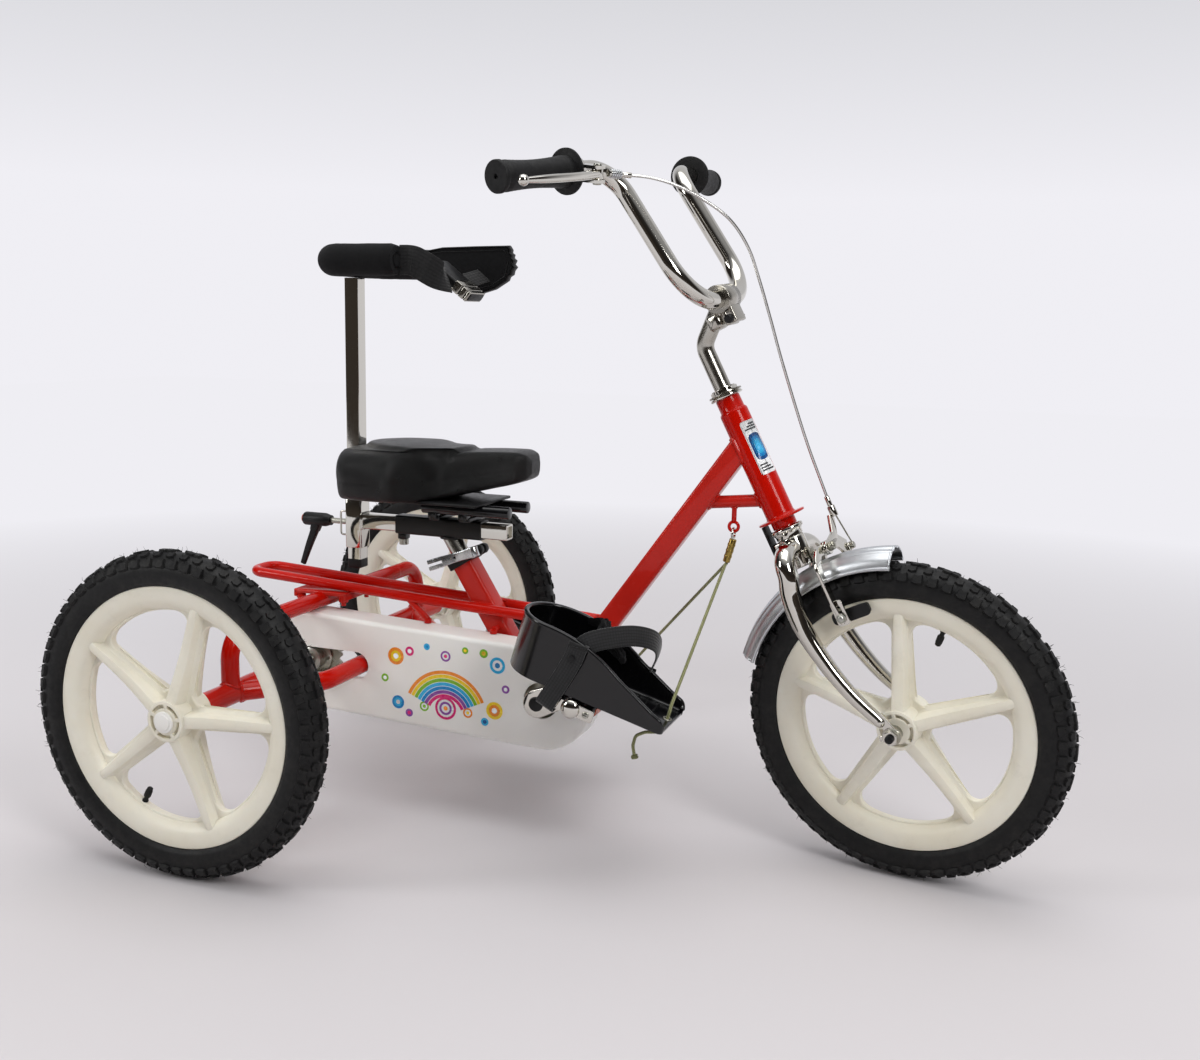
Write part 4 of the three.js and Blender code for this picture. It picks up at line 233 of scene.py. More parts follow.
# %% [markdown]
# ## Metals
# Chromium plate on the fork, bar and cranks mirrors the room almost without haze, so its roughness is 0.06.
# The stem and sleeves are satin chrome, the screws and axle are zinc plate, which is greyer and duller, and
# the mudguard is rolled and anodised aluminium, whose fine drawn lines run along it. A metal keeps the default
# IOR and takes its look from its colour and roughness alone. Drawn lines are a tenth of a millimetre wide, too
# fine to show, so they are drawn 1.1 mm wide and 33 mm long. The crimp is brass, the cable galvanised strand.

# %% Chrome, zinc, aluminium, brass and strand


def metal(name, color, rough, spread=0.05, streak=0.0, tint=None):
    material, tree, where = begin(name)
    layers = [(pattern(tree, where, 28.6, 2, 0.6), 0.04, 0.001), (pattern(tree, where, 1.11, 3, 0.6), 0.03, 0.0002)]
    if streak:
        drawn = node(tree, "ShaderNodeMapping", {
            "Vector": where, "Scale": (METRE / 33.3, METRE / 1.11, METRE / 1.11)}).outputs[0]
        layers.append((pattern(tree, drawn, METRE, 3, 0.7), streak, 0.0003))
    node(tree, "Principled BSDF", {
        "Base Color": clouded(tree, pattern(tree, where, 71.4, 4, 0.6), color, tint or color, 0.35, 0.65),
        "Roughness": hazed(tree, pattern(tree, where, 11.1, 6, 0.7), max(0.02, rough - spread), rough + spread),
        "Metallic": 1.0, "Normal": relief(tree, *layers)})
    return material


CHROME = metal("chrome_plate", "#cfccc4", 0.06, 0.02)
DULL_CHROME = metal("satin_chrome", "#b9b6ae", 0.2, 0.08, 0.04, "#a5a198")
ZINC = metal("zinc_plate", "#b5b5b0", 0.32, 0.1, 0.05, "#a39f8f")
ALLOY = metal("bright_alloy", "#c8cacc", 0.24, 0.08, 0.06)
GUARD_ALLOY = metal("anodised_alloy", "#c9cccf", 0.36, 0.06, 0.1)
BRASS = metal("brass_crimp", "#b99a4e", 0.3, 0.1, 0.05, "#8d7a45")
CABLE = metal("cable_strand", "#d2d1ce", 0.2, 0.02, 0.0, "#cbcac6")
print("metals:", *(m.name for m in (CHROME, DULL_CHROME, ZINC, ALLOY, GUARD_ALLOY, BRASS, CABLE)))

# %% [markdown]
# ## Moulded plastics and powder coat
# The wheels are moulded in a cream nylon that lets a little light in, which softens its shadows, so it has a
# small subsurface share. The chain case is a whiter, harder moulding. Black parts are moulded too, some with a
# spark-eroded grain and some glossy, and the small square tubes under the seat are powder coated. All have an
# IOR near 1.5; the black ones get less reflection, because a pale room would else lift them to grey. The grain
# of a mould is some 0.1 mm, too fine to show, so it is drawn about 1 mm wide.

# %% Nylon, hard mouldings and powder coat


def plastic(name, color, dark, rough, grain=0.12, size=1.11, coat=0.0, soft=0.0, dirt=0.0):
    material, tree, where = begin(name)
    shade = clouded(tree, pattern(tree, where, 143, 4, 0.6), color, dark, 0.35, 0.7)
    if dirt:
        shade = dust_and_painted_highlight(tree, shade, pattern(tree, where, 25, 8, 0.75), "#8d8672", 0.55, 0.75, dirt)
    node(tree, "Principled BSDF", {"Base Color": shade, "Roughness": hazed(tree,
        pattern(tree, where, 8.33, 5, 0.7), rough - 0.07, rough + 0.08), "Coat Weight": coat,
        "Coat Roughness": 0.12, "Specular IOR Level": 0.5 if soft or color > "#8" else 0.3,
        "Subsurface Weight": soft, "Subsurface Scale": 0.004, "Subsurface Radius": (1.0, 0.8, 0.6),
        "Normal": relief(tree, (pattern(tree, where, size, 3, 0.6), grain, 0.0003),
        (pattern(tree, where, 55.6, 2, 0.6), 0.08, 0.002))})
    return material


CREAM = plastic("cream_nylon", "#efebdd", "#e6e0cd", 0.42, 0.1, 1.43, 0.0, 0.12, 0.12)
WHITE = plastic("white_moulding", "#f6f5f1", "#efede8", 0.34, 0.04, 2.0, 0.1, 0.05, 0.0)
BLACK = plastic("black_moulding", "#0c0c0d", "#141415", 0.42, 0.25, 0.91)
GLOSS_BLACK = plastic("glossy_black_moulding", "#08080a", "#0e0e10", 0.2, 0.05, 1.11, 0.3)
POWDER = plastic("black_powder_coat", "#0b0a0a", "#121111", 0.34, 0.2, 0.625, 0.15)
ORANGE = plastic("orange_button", "#e0531a", "#c9430f", 0.4)
AMBER = plastic("amber_reflector", "#d0561a", "#a83c0c", 0.15, 0.3, 2.0, 0.5)
print("plastics:", *(m.name for m in (CREAM, WHITE, BLACK, GLOSS_BLACK, POWDER, ORANGE, AMBER)))

# %% [markdown]
# ## Rubber
# Tyres and grips are vulcanised black rubber, moulded with a matt skin that holds dust. The eye knows rubber by
# its broad, dim highlight and by the greyer dust in its hollows. Its IOR of 1.52 gives more shine than worn
# rubber has, so the reflection is cut to about half, and a mottled dust tone goes over the colour. The skin's
# grain of 0.2 mm is drawn about 0.8 mm wide, so that it shows.

# %% Tyre and grip rubber


def rubber(name, color, rough, size, dust, grain):
    material, tree, where = begin(name)
    mottle = pattern(tree, where, 18.2, 8, 0.75)
    node(tree, "Principled BSDF", {"Base Color": dust_and_painted_highlight(tree, linear(color), mottle, "#4a4843", 0.45, 0.75, dust),
        "Roughness": hazed(tree, pattern(tree, where, 6.25, 6, 0.7), rough - 0.12, rough + 0.14),
        "Specular IOR Level": 0.28, "Normal": relief(tree, (pattern(tree, where, size, 4, 0.7), grain, 0.0003),
        (pattern(tree, where, 14.3, 3, 0.6), 0.12, 0.001))})
    return material


TYRE = rubber("tyre_rubber", "#0c0c0d", 0.6, 0.833, 0.22, 0.3)
TYRE_SIDE = rubber("tyre_sidewall", "#0b0b0c", 0.52, 1.43, 0.16, 0.15)
GRIP = rubber("grip_rubber", "#0d0d0e", 0.58, 0.556, 0.1, 0.3)
print("rubbers:", TYRE.name, TYRE_SIDE.name, GRIP.name)

# %% [markdown]
# ## Foam
# The backrest hoop wears a sleeve of closed-cell nitrile foam, and the belt pad is neoprene. Both are cut or
# extruded, so that broken cells catch hardly any light: no highlight, a faint bloom at the rim. Voronoi cells
# stand for the pores, 0.67 mm and 0.45 mm wide, near their real size.

# %% Foam sleeve and pad


def foam(name, size, color):
    material, tree, where = begin(name)
    pores = node(tree, CELLS, {"Vector": where, "Scale": METRE / size}).outputs["Distance"]
    node(tree, "Principled BSDF", {
        "Base Color": clouded(tree, pattern(tree, where, 3.33, 6, 0.8), color, "#151516", 0.3, 0.7),
        "Roughness": 0.93, "Specular IOR Level": 0.2, "Sheen Weight": 0.1, "Sheen Roughness": 0.55,
        "Sheen Tint": (0.3, 0.3, 0.32, 1),
        "Normal": relief(tree, (pores, 0.5, 0.0005), (pattern(tree, where, 16.7, 5, 0.6), 0.25, 0.0015))})
    return material


FOAM = foam("foam_sleeve", 0.667, "#080809")
NEOPRENE = foam("padded_belt", 0.455, "#0a0a0b")
print("foams:", FOAM.name, NEOPRENE.name)

# %% [markdown]
# ## Woven nylon and elastic
# The belt and the foot straps are nylon webbing, woven in ribs, and the cords have a braided sleeve. A weave
# has to follow the piece round its bends, so its coordinates are the piece's own length and girth, in metres,
# and not a place in the room. One rib of webbing is 1.2 mm and one braid 0.6 mm, too fine to show, so they are
# drawn 3.5 to 4.5 mm and 1.3 to 1.7 mm wide. Sheen gives the pale bloom that fibres have at a grazing angle.

# %% Webbing, strap and elastic sleeve


def woven(name, color, dark, rib, pick, rough=0.85, twill=0.0):
    material, tree, where = begin(name)
    girth, length = node(tree, SPLIT, {0: node(tree, COORDINATES).outputs["UV"]}).outputs[:2]

    def waves(along, wave, across=0.0, slant=0.0):
        phase = node(tree, MATH, {0: along, 1: math.pi * METRE / wave * (1 - slant)}, operation="MULTIPLY").outputs[0]
        if slant:
            other = node(tree, MATH, {0: across, 1: math.pi * METRE / wave * slant}, operation="MULTIPLY").outputs[0]
            phase = node(tree, MATH, {0: phase, 1: other}, operation="ADD").outputs[0]
        swing = node(tree, MATH, {0: phase}, operation="SINE").outputs[0]
        return node(tree, MATH, {0: swing}, operation="ABSOLUTE").outputs[0]

    picks = node(tree, MATH, {0: waves(length, pick), 1: 0.6}, operation="MULTIPLY").outputs[0]
    picks = node(tree, MATH, {0: picks, 1: 0.4}, operation="ADD").outputs[0]
    height = node(tree, MATH, {0: waves(girth, rib, length, twill), 1: picks}, operation="MULTIPLY").outputs[0]
    fuzz = pattern(tree, where, 0.4, 3, 0.8)
    # Where the weave is low, the tone is mixed towards the dark one: painted shade between the ribs.
    shade = node(tree, MIX, {0: height, 6: linear(dark), 7: linear(color)}, data_type="RGBA").outputs[2]
    some_fuzz = node(tree, MATH, {0: fuzz, 1: 0.35}, operation="MULTIPLY").outputs[0]
    node(tree, "Principled BSDF", {"Base Color": node(tree, MIX, {0: some_fuzz, 6: shade, 7: linear(dark)},
        data_type="RGBA").outputs[2], "Roughness": rough, "Sheen Weight": 0.4, "Sheen Roughness": 0.4,
        "Normal": relief(tree, (height, 0.7, 0.0005), (fuzz, 0.3, 0.0004),
        (pattern(tree, where, 25, 3, 0.6), 0.15, 0.002))})
    return material


WEBBING = woven("nylon_webbing", "#131314", "#050506", 4.488, 6.042)
STRAP = woven("strap_webbing", "#222224", "#070708", 3.491, 3.491)
ELASTIC = woven("elastic_sleeve", "#a8aa78", "#6b6d45", 1.745, 1.309, 0.7, 0.5)
print("fabrics:", WEBBING.name, STRAP.name, ELASTIC.name)

# %% [markdown]
# ## Saddle vinyl
# The saddle is covered in vinyl embossed like leather: pebbles divided by narrow creases. Distance to the edge
# of Voronoi cells gives just that, and a little noise in the coordinates bends the creases. Its roughness is
# about 0.3, so that the pad shows soft broad highlights. Real pebbles are 1 to 1.5 mm wide, and are drawn
# 2.1 mm wide, so that they show.

# %% Embossed vinyl


def leather(name, color):
    material, tree, where = begin(name)
    wander = node(tree, NOISE, {"Vector": where, "Scale": METRE / 5.556}).outputs[1]
    bent_place = node(tree, MIX, {0: 0.05, 6: where, 7: wander}, data_type="RGBA").outputs[2]
    cells = node(tree, CELLS, {"Vector": bent_place, "Scale": METRE / 2.083}, feature="DISTANCE_TO_EDGE")
    grain = node(tree, RAMP, {0: cells.outputs["Distance"]}, ((0.0, NONE), (0.16, FULL))).outputs[0]
    shade = clouded(tree, pattern(tree, where, 62.5, 3, 0.6), color, "#0b0b0b", 0.35, 0.65)
    # The creases between the pebbles are mixed towards a deeper black: painted shade in the creases.
    node(tree, "Principled BSDF", {"Base Color": node(tree, MIX, {0: grain, 6: linear("#020202"), 7: shade},
        data_type="RGBA").outputs[2], "Roughness": hazed(tree, pattern(tree, where, 14.3, 5, 0.6), 0.27, 0.37),
        "Specular IOR Level": 0.32, "Normal": relief(tree, (grain, 0.5, 0.0007),
        (pattern(tree, where, 0.769, 4, 0.7), 0.06, 0.0003), (pattern(tree, where, 41.7, 3, 0.6), 0.15, 0.003))})
    return material


SADDLE = leather("saddle_vinyl", "#060606")
print("vinyl:", SADDLE.name)

# %% [markdown]
# ## Points, bends and smooth curves
# Most of this object is bent tube and shaped plate. A tube turns as its bender turned it, in straight runs
# joined by arcs of one radius, a plate has rounded corners, and straps and cables run smoothly through a few
# points. Blender's curves could draw these, but then the section's start and turn are hard to hold. Plain
# lists of points are used instead, so that the same path can also carry a weld or a strap.

# %% Points and directions


def V(x, y, z):
    return np.array([x, y, z], float)


def unit(v):
    return v / max(1e-12, np.linalg.norm(v))


print("unit of (3, 4, 0):", unit(V(3, 4, 0)))

# %% Rounded outlines


def rounded(points, radius, steps=4, closed=False):
    """2-D corner rounding of a polyline; radius is a number or one per point."""
    out = []
    count = len(points)
    for i, p in enumerate(points):
        r = radius[i] if isinstance(radius, (list, tuple)) else radius
        if (not closed and i in (0, count - 1)) or r <= 0:
            out.append(tuple(p))
            continue
        a, b, c = (np.array(points[(i + k) % count], float) for k in (-1, 0, 1))
        ua, uc = unit(a - b), unit(c - b)
        turn = math.pi - math.acos(max(-1, min(1, float(ua @ uc))))
        cut = min(r * math.tan(turn / 2), 0.49 * np.linalg.norm(a - b), 0.49 * np.linalg.norm(c - b))
        p0, p1 = b + ua * cut, b + uc * cut
        for k in range(steps + 1):
            t = k / steps
            out.append(tuple((1 - t) ** 2 * p0 + 2 * t * (1 - t) * b + t * t * p1))
    return out


print("a square with rounded corners:", len(rounded([(0, 0), (9, 0), (9, 9), (0, 9)], 2, 4, True)), "points")

# %% Tube bends


def bent(corners, bends, step=7.0):
    corners = [np.array(c, float) for c in corners]
    path = [corners[0]]
    for i in range(1, len(corners) - 1):
        bend = bends[i - 1] if isinstance(bends, (list, tuple)) else bends
        into, out = unit(corners[i] - corners[i - 1]), unit(corners[i + 1] - corners[i])
        turn = math.acos(max(-1, min(1, float(into @ out))))
        if turn < 1e-3:
            continue
        start = corners[i] - into * bend * math.tan(turn / 2)
        centre = corners[i] + unit(out - into) * bend / math.cos(turn / 2)
        axis = Vector(unit(np.cross(into, out)))
        steps = max(3, math.ceil(math.degrees(turn) / step))
        for k in range(steps + 1):
            spoke = Vector(start - centre)
            spoke.rotate(Matrix.Rotation(turn * k / steps, 3, axis))
            path.append(centre + np.array(spoke))
    path.append(corners[-1])
    return path


print("a bend of 90 degrees:", len(bent([V(0, 0, 0), V(50, 0, 0), V(50, 50, 0)], 20)), "points")

# %% Smooth curves


def spline(points, steps):
    """Centripetal-like smooth curve through points, evenly stepped."""
    p = [np.array(q, float) for q in points]
    p = [2 * p[0] - p[1]] + p + [2 * p[-1] - p[-2]]
    fine = []
    for i in range(1, len(p) - 2):
        for k in range(16):
            t = k / 16
            fine.append(0.5 * ((2 * p[i]) + (p[i + 1] - p[i - 1]) * t + (2 * p[i - 1] - 5 * p[i]
                + 4 * p[i + 1] - p[i + 2]) * t * t
                               + (3 * p[i] - p[i - 1] - 3 * p[i + 1] + p[i + 2]) * t ** 3))
    fine.append(p[-2])
    fine = np.array(fine)
    along = np.concatenate([[0], np.cumsum(np.linalg.norm(np.diff(fine, axis=0), axis=1))])
    at = np.linspace(0, along[-1], steps + 1)
    return [np.array([np.interp(a, along, fine[:, k]) for k in range(3)]) for a in at]


print("a smooth curve:", len(spline([V(0, 0, 0), V(10, 5, 0), V(20, 0, 0)], 12)), "points")

# %% Round and square sections


def circle(radius, sides=28, ry=None):
    return [(radius * math.cos(2 * math.pi * i / sides), (ry or radius) * math.sin(2 * math.pi * i / sides))
        for i in range(sides)]


def box_section(width, height, corner=0.0, steps=4):
    x, y = width / 2, height / 2
    points = [(x, y), (-x, y), (-x, -y), (x, -y)]
    return rounded(points, corner, steps, True) if corner else points


print("a round section:", len(circle(5)), "points")

# %% [markdown]
# ## Shells, bars, turned parts and plates
# A piece is often several simple shells: a bar, its nuts, a cap. One builder collects them in millimetres,
# with their materials, and makes one mesh at the end, which keeps the count of objects near the count of real
# pieces. It grows over four cells, from bare shells to bars along a path, turned parts, and plates.

# %% Shells and lofts


class Shells:
    """Collects closed shells, in millimetres, into one mesh with several materials."""

    def __init__(self, matrix=None):
        self.verts, self.faces, self.slots, self.uvs, self.materials = [], [], [], [], []
        self.matrix = matrix or Matrix.Identity(4)

    def put(self, verts, faces, material, uvs=None, matrix=None):
        if material not in self.materials:
            self.materials.append(material)
        slot = self.materials.index(material)
        m = self.matrix @ matrix if matrix is not None else self.matrix
        base = len(self.verts)
        self.verts += [tuple(m @ Vector(v)) for v in verts]
        self.faces += [tuple(base + i for i in f) for f in faces]
        self.slots += [slot] * len(faces)
        self.uvs += uvs or [None] * len(faces)

    def loft(self, rings, material, uv=None, matrix=None, closed=False, caps=True):
        count = len(rings[0])
        faces, uvs = [], []
        pairs = len(rings) if closed else len(rings) - 1
        for i in range(pairs):
            for j in range(count):
                a, b = i * count + j, i * count + (j + 1) % count
                c, d = ((i + 1) % len(rings)) * count + (j + 1) % count, ((i + 1) % len(rings)) * count + j
                faces.append((a, b, c, d))
                if uv:
                    u0, u1, v0, v1 = uv[0][j], uv[0][j + 1], uv[1][i], uv[1][i + 1]
                    uvs.append([(u0, v0), (u1, v0), (u1, v1), (u0, v1)])
                else:
                    uvs.append(None)
        if caps and not closed:
            faces.append(tuple(reversed(range(count))))
            faces.append(tuple((len(rings) - 1) * count + j for j in range(count)))
            uvs += [None, None]
        self.put([p for r in rings for p in r], faces, material, uvs, matrix)


print("a loft joins rings of points into one closed skin")

# %% Bars along a path


class Bars(Shells):
    """Shells whose section follows a path."""

    def sweep(self, path, section, material, hint=(0, 0, 1), size=None, matrix=None, closed=False, uv=False):
        path = [np.array(p, float) for p in path]
        hint = np.array(hint, float)
        count = len(path)
        tangents = []
        for i, p in enumerate(path):
            before = unit(p - path[i - 1]) if i or closed else 0
            after = unit(path[(i + 1) % count] - p) if i < count - 1 or closed else 0
            tangents.append(unit(before + after))
        if abs(hint @ tangents[0]) > 0.99:
            hint = np.array([hint[2], hint[0], hint[1]])
        across = unit(np.cross(hint, tangents[0]))
        rings, along = [], [0.0]
        for i, p in enumerate(path):
            across = unit(across - tangents[i] * (across @ tangents[i]))
            upward = np.cross(tangents[i], across)
            s = size(i / max(1, count - 1)) if size else 1
            shape = section(i / max(1, count - 1)) if callable(section) else section
            rings.append([p + across * x * s + upward * y * s for x, y in shape])
            if i:
                along.append(along[-1] + float(np.linalg.norm(p - path[i - 1])) * MM)
        coordinates = None
        if uv:
            shape = section(0) if callable(section) else section
            around = [0.0]
            for j in range(len(shape)):
                a, b = shape[j], shape[(j + 1) % len(shape)]
                around.append(around[-1] + math.hypot(a[0] - b[0], a[1] - b[1]) * MM)
            coordinates = (around, along + [along[-1]])
        self.loft(rings, material, coordinates, matrix, closed)

    def tube(self, path, radius, material, sides=28, **more):
        self.sweep(path, circle(radius, sides), material, **more)

    def rod(self, a, b, radius, material, sides=28, edge=0.4, **more):
        """A straight round bar with broken edges."""
        a, b = np.array(a, float), np.array(b, float)
        d = unit(b - a)
        length = float(np.linalg.norm(b - a))
        edge = min(edge, radius * 0.4, length * 0.3)
        stations = [(0, 1), (length, 1)] if edge < 0.01 else [
            (0, 1 - edge / radius), (edge * 0.3, 1 - edge * 0.3 / radius), (edge, 1), (length - edge, 1),
            (length - edge * 0.3, 1 - edge * 0.3 / radius), (length, 1 - edge / radius)]
        sizes = [s for _, s in stations]
        count = len(stations) - 1
        self.sweep([a + d * t for t, _ in stations], circle(radius, sides), material,
            size=lambda t: sizes[round(t * count)], **more)

    def ring(self, centre, major, minor, material, normal=(0, 0, 1), segments=40, sides=12, matrix=None):
        n = unit(np.array(normal, float))
        u = unit(np.cross(n, V(1, 0, 0) if abs(n[0]) < 0.9 else V(0, 1, 0)))
        v = np.cross(n, u)
        path = [np.array(centre, float) + (u * math.cos(2 * math.pi * i / segments)
            + v * math.sin(2 * math.pi * i / segments)) * major
                for i in range(segments)]
        self.sweep(path, circle(minor, sides), material, hint=tuple(n), closed=True, matrix=matrix)

    def hexagon(self, a, b, flat, material, edge=0.8, **more):
        a, b = np.array(a, float), np.array(b, float)
        section = rounded(circle(flat / math.cos(math.pi / 6), 6), 0.4, 2, True)
        length = float(np.linalg.norm(b - a))
        e = min(edge, length * 0.3)
        d = unit(b - a)
        sizes = [0.93, 1, 1, 0.93]
        self.sweep([a, a + d * e, b - d * e, b], section, material, size=lambda t: sizes[round(t * 3)], **more)


print("bars:", "sweep, tube, rod, ring, hexagon")

# %% Turned parts


class Turned(Bars):
    """Shells turned about an axis, as on a lathe."""

    def lathe(self, profile, material, segments=64, axis="Y", matrix=None, start=0.0):
        """Solid of revolution from an open profile that starts and ends on the axis, or a closed one."""
        closed = not (abs(profile[0][0]) < 1e-6 and abs(profile[-1][0]) < 1e-6)
        verts, faces = [], []
        rings = []
        for r, y in profile:
            if abs(r) < 1e-6:
                rings.append([len(verts)])
                verts.append((0, y, 0))
            else:
                rings.append(list(range(len(verts), len(verts) + segments)))
                for k in range(segments):
                    t = start + 2 * math.pi * k / segments
                    verts.append((r * math.cos(t), y, r * math.sin(t)))
        pairs = list(zip(rings, rings[1:])) + ([(rings[-1], rings[0])] if closed else [])
        for lo, hi in pairs:
            for k in range(segments):
                q = (k + 1) % segments
                if len(lo) == 1 and len(hi) == 1:
                    continue
                if len(lo) == 1:
                    faces.append((lo[0], hi[q], hi[k]))
                elif len(hi) == 1:
                    faces.append((lo[k], lo[q], hi[0]))
                else:
                    faces.append((lo[k], lo[q], hi[q], hi[k]))
        turn = {"Y": Matrix.Identity(4), "Z": Matrix.Rotation(math.pi / 2, 4, "X"),
            "X": Matrix.Rotation(-math.pi / 2, 4, "Z")}[axis]
        self.put(verts, faces, material, None, (matrix @ turn) if matrix is not None else turn)

    def ball(self, centre, radius, material, segments=24, matrix=None):
        c = Matrix.Translation(Vector(centre))
        profile = [(radius * math.sin(math.pi * i / 12), -radius * math.cos(math.pi * i / 12)) for i in range(13)]
        profile[0], profile[-1] = (0, -radius), (0, radius)
        self.lathe(profile, material, segments, "Y", (matrix @ c) if matrix is not None else c)


print("turned parts:", "lathe, ball")

# %% Plates, blocks and the finished mesh


class Build(Turned):
    """The whole builder: plates and blocks too, and the mesh at the end."""

    def slab(self, outline, y1, y2, material, matrix=None, edge=0.0, steps=3):
        """A flat plate in X-Z, thick along Y, with rounded rims where edge is set."""
        points = [np.array(p, float) for p in outline]
        count = len(points)
        area = sum(points[i][0] * points[(i + 1) % count][1] - points[(i + 1) % count][0] * points[i][1]
            for i in range(count))
        if area < 0:
            points.reverse()
        inward = []
        for i in range(count):
            a, b = unit(points[i] - points[i - 1]), unit(points[(i + 1) % count] - points[i])
            n = unit(np.array([-a[1] - b[1], a[0] + b[0]]))
            inward.append(n / max(0.5, float(n @ np.array([-a[1], a[0]]))))
        lo, hi = min(y1, y2), max(y1, y2)
        stations = [(0, lo), (0, hi)] if not edge else ([(edge * (1 - math.sin(t * math.pi / 2 / steps)),
            lo + edge * (1 - math.cos(t * math.pi / 2 / steps)))
            for t in range(steps + 1)] + [(edge * (1 - math.cos(t * math.pi / 2 / steps)),
            hi - edge * (1 - math.sin(t * math.pi / 2 / steps))) for t in range(steps + 1)])
        rings = [[(points[i][0] + inward[i][0] * d, y, points[i][1] + inward[i][1] * d) for i in range(count)]
            for d, y in stations]
        self.loft(rings, material, None, matrix)

    def block(self, lo, hi, material, edge=0.6, matrix=None):
        (x1, y1, z1), (x2, y2, z2) = lo, hi
        corner = min(edge, 0.45 * min(x2 - x1, z2 - z1))
        outline = rounded([(x1, z1), (x2, z1), (x2, z2), (x1, z2)], corner, 3, True)
        self.slab(outline, y1, y2, material, matrix, min(edge, 0.45 * (y2 - y1)))

    def make(self, name, body, nodes=(), slot=None, angle=38, bevel=0.0, subdivide=0):
        mesh = bpy.data.meshes.new(name)
        placed = [((x + SHIFT) * MM, y * MM, z * MM) for x, y, z in self.verts]
        mesh.from_pydata(placed, [], self.faces)
        for material in self.materials:
            mesh.materials.append(material)
        mesh.polygons.foreach_set("material_index", self.slots)
        if any(u is not None for u in self.uvs):
            layer = mesh.uv_layers.new(name="along")
            flat = np.zeros((len(mesh.loops), 2), np.float32)
            for polygon, coordinates in zip(mesh.polygons, self.uvs):
                if coordinates is not None:
                    for k, loop in enumerate(polygon.loop_indices):
                        flat[loop] = coordinates[k]
            layer.data.foreach_set("uv", flat.ravel())
        mesh.validate()
        return finish_piece(name, mesh, body, nodes, angle, bevel, subdivide)


print("plates:", "slab, block")

# %% Shading, bevel and body of a piece


def finish_piece(name, mesh, body, nodes=(), angle=38, bevel=0.0, subdivide=0):
    bm = bmesh.new()
    bm.from_mesh(mesh)
    bmesh.ops.remove_doubles(bm, verts=bm.verts, dist=2e-6)
    bmesh.ops.recalc_face_normals(bm, faces=bm.faces)
    limit = math.radians(angle)
    for face in bm.faces:
        face.smooth = True
    for edge in bm.edges:
        edge.smooth = not (len(edge.link_faces) == 2 and edge.calc_face_angle(0) > limit)
    bm.to_mesh(mesh)
    bm.free()
    piece = bpy.data.objects.new(name, mesh)
    bpy.context.scene.collection.objects.link(piece)
    if bevel:
        modifier = piece.modifiers.new("edges", "BEVEL")
        modifier.width = bevel * MM
        modifier.segments = 3
        modifier.limit_method = "ANGLE"
        modifier.angle_limit = math.radians(50)
        modifier.harden_normals = False
    if subdivide:
        modifier = piece.modifiers.new("smooth", "SUBSURF")
        modifier.levels = modifier.render_levels = subdivide
    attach(piece, body)
    if nodes:
        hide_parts(*nodes)
    print(f"{name}: {len(mesh.polygons)} faces on {body}")
    return piece


print("a corner sharper than 38 degrees is shaded as an edge")

# %% [markdown]
# ## Carving, fine copies and welds
# Slots, windows and hollows are cut with Blender's exact boolean, on plain meshes that are deleted afterwards.
# A small screw whose solid is already right gets a fine copy of it instead, and a hidden part only a finish. A
# weld bead is a small bar, slightly rippled, along the line where one shape runs into the other.

# %% Cutting one build from another


def temporary(build):
    mesh = bpy.data.meshes.new("temporary")
    mesh.from_pydata([((x + SHIFT) * MM, y * MM, z * MM) for x, y, z in build.verts], [], build.faces)
    for material in build.materials:
        mesh.materials.append(material)
    mesh.polygons.foreach_set("material_index", build.slots)
    bm = bmesh.new()
    bm.from_mesh(mesh)
    bmesh.ops.remove_doubles(bm, verts=bm.verts, dist=2e-6)
    bmesh.ops.recalc_face_normals(bm, faces=bm.faces)
    bm.to_mesh(mesh)
    bm.free()
    piece = bpy.data.objects.new("temporary", mesh)
    bpy.context.scene.collection.objects.link(piece)
    return piece


def carved(base, *tools):
    """The mesh of a build after tools (build, operation) have been applied in turn."""
    body = temporary(base)
    extra = []
    for tool, operation in tools:
        piece = temporary(tool)
        extra.append(piece)
        modifier = body.modifiers.new("cut", "BOOLEAN")
        modifier.object = piece
        modifier.operation = operation
        modifier.solver = "EXACT"
    bpy.context.view_layer.update()
    result = bpy.data.meshes.new_from_object(body.evaluated_get(bpy.context.evaluated_depsgraph_get()))
    for piece in extra + [body]:
        data = piece.data
        bpy.data.objects.remove(piece)
        bpy.data.meshes.remove(data)
    return result


print("cut, join and keep: DIFFERENCE, UNION, INTERSECT")

# %% Fine copies and finishes of solids
BODY_OF = {n: b for b, ns in frame["record"]["behaviour"]["bodies"].items() for n in ns}


def refine(solid, material, bevel=0.5, angle=42):
    """A finer copy of a small CAD solid: flat faces joined, edges broken, rounds shaded smooth."""
    mesh = frame["nodes"][solid].data.copy()
    mesh.name = solid + "_fine"
    mesh.materials.clear()
    mesh.materials.append(material)
    bm = bmesh.new()
    bm.from_mesh(mesh)
    bmesh.ops.remove_doubles(bm, verts=bm.verts, dist=2e-5)
    bmesh.ops.dissolve_limit(bm, angle_limit=math.radians(0.6), verts=bm.verts, edges=bm.edges)
    for face in bm.faces:
        face.material_index = 0
    bm.to_mesh(mesh)
    bm.free()
    return finish_piece(solid + "_fine", mesh, BODY_OF[solid], [solid], angle, bevel)


def paint(solid, material):
    """A CAD solid that stays as it is, in a better material."""
    data = frame["nodes"][solid].data
    data.materials.clear()
    data.materials.append(material)


print("solids on bodies:", len(BODY_OF))

# %% Weld beads round a joint


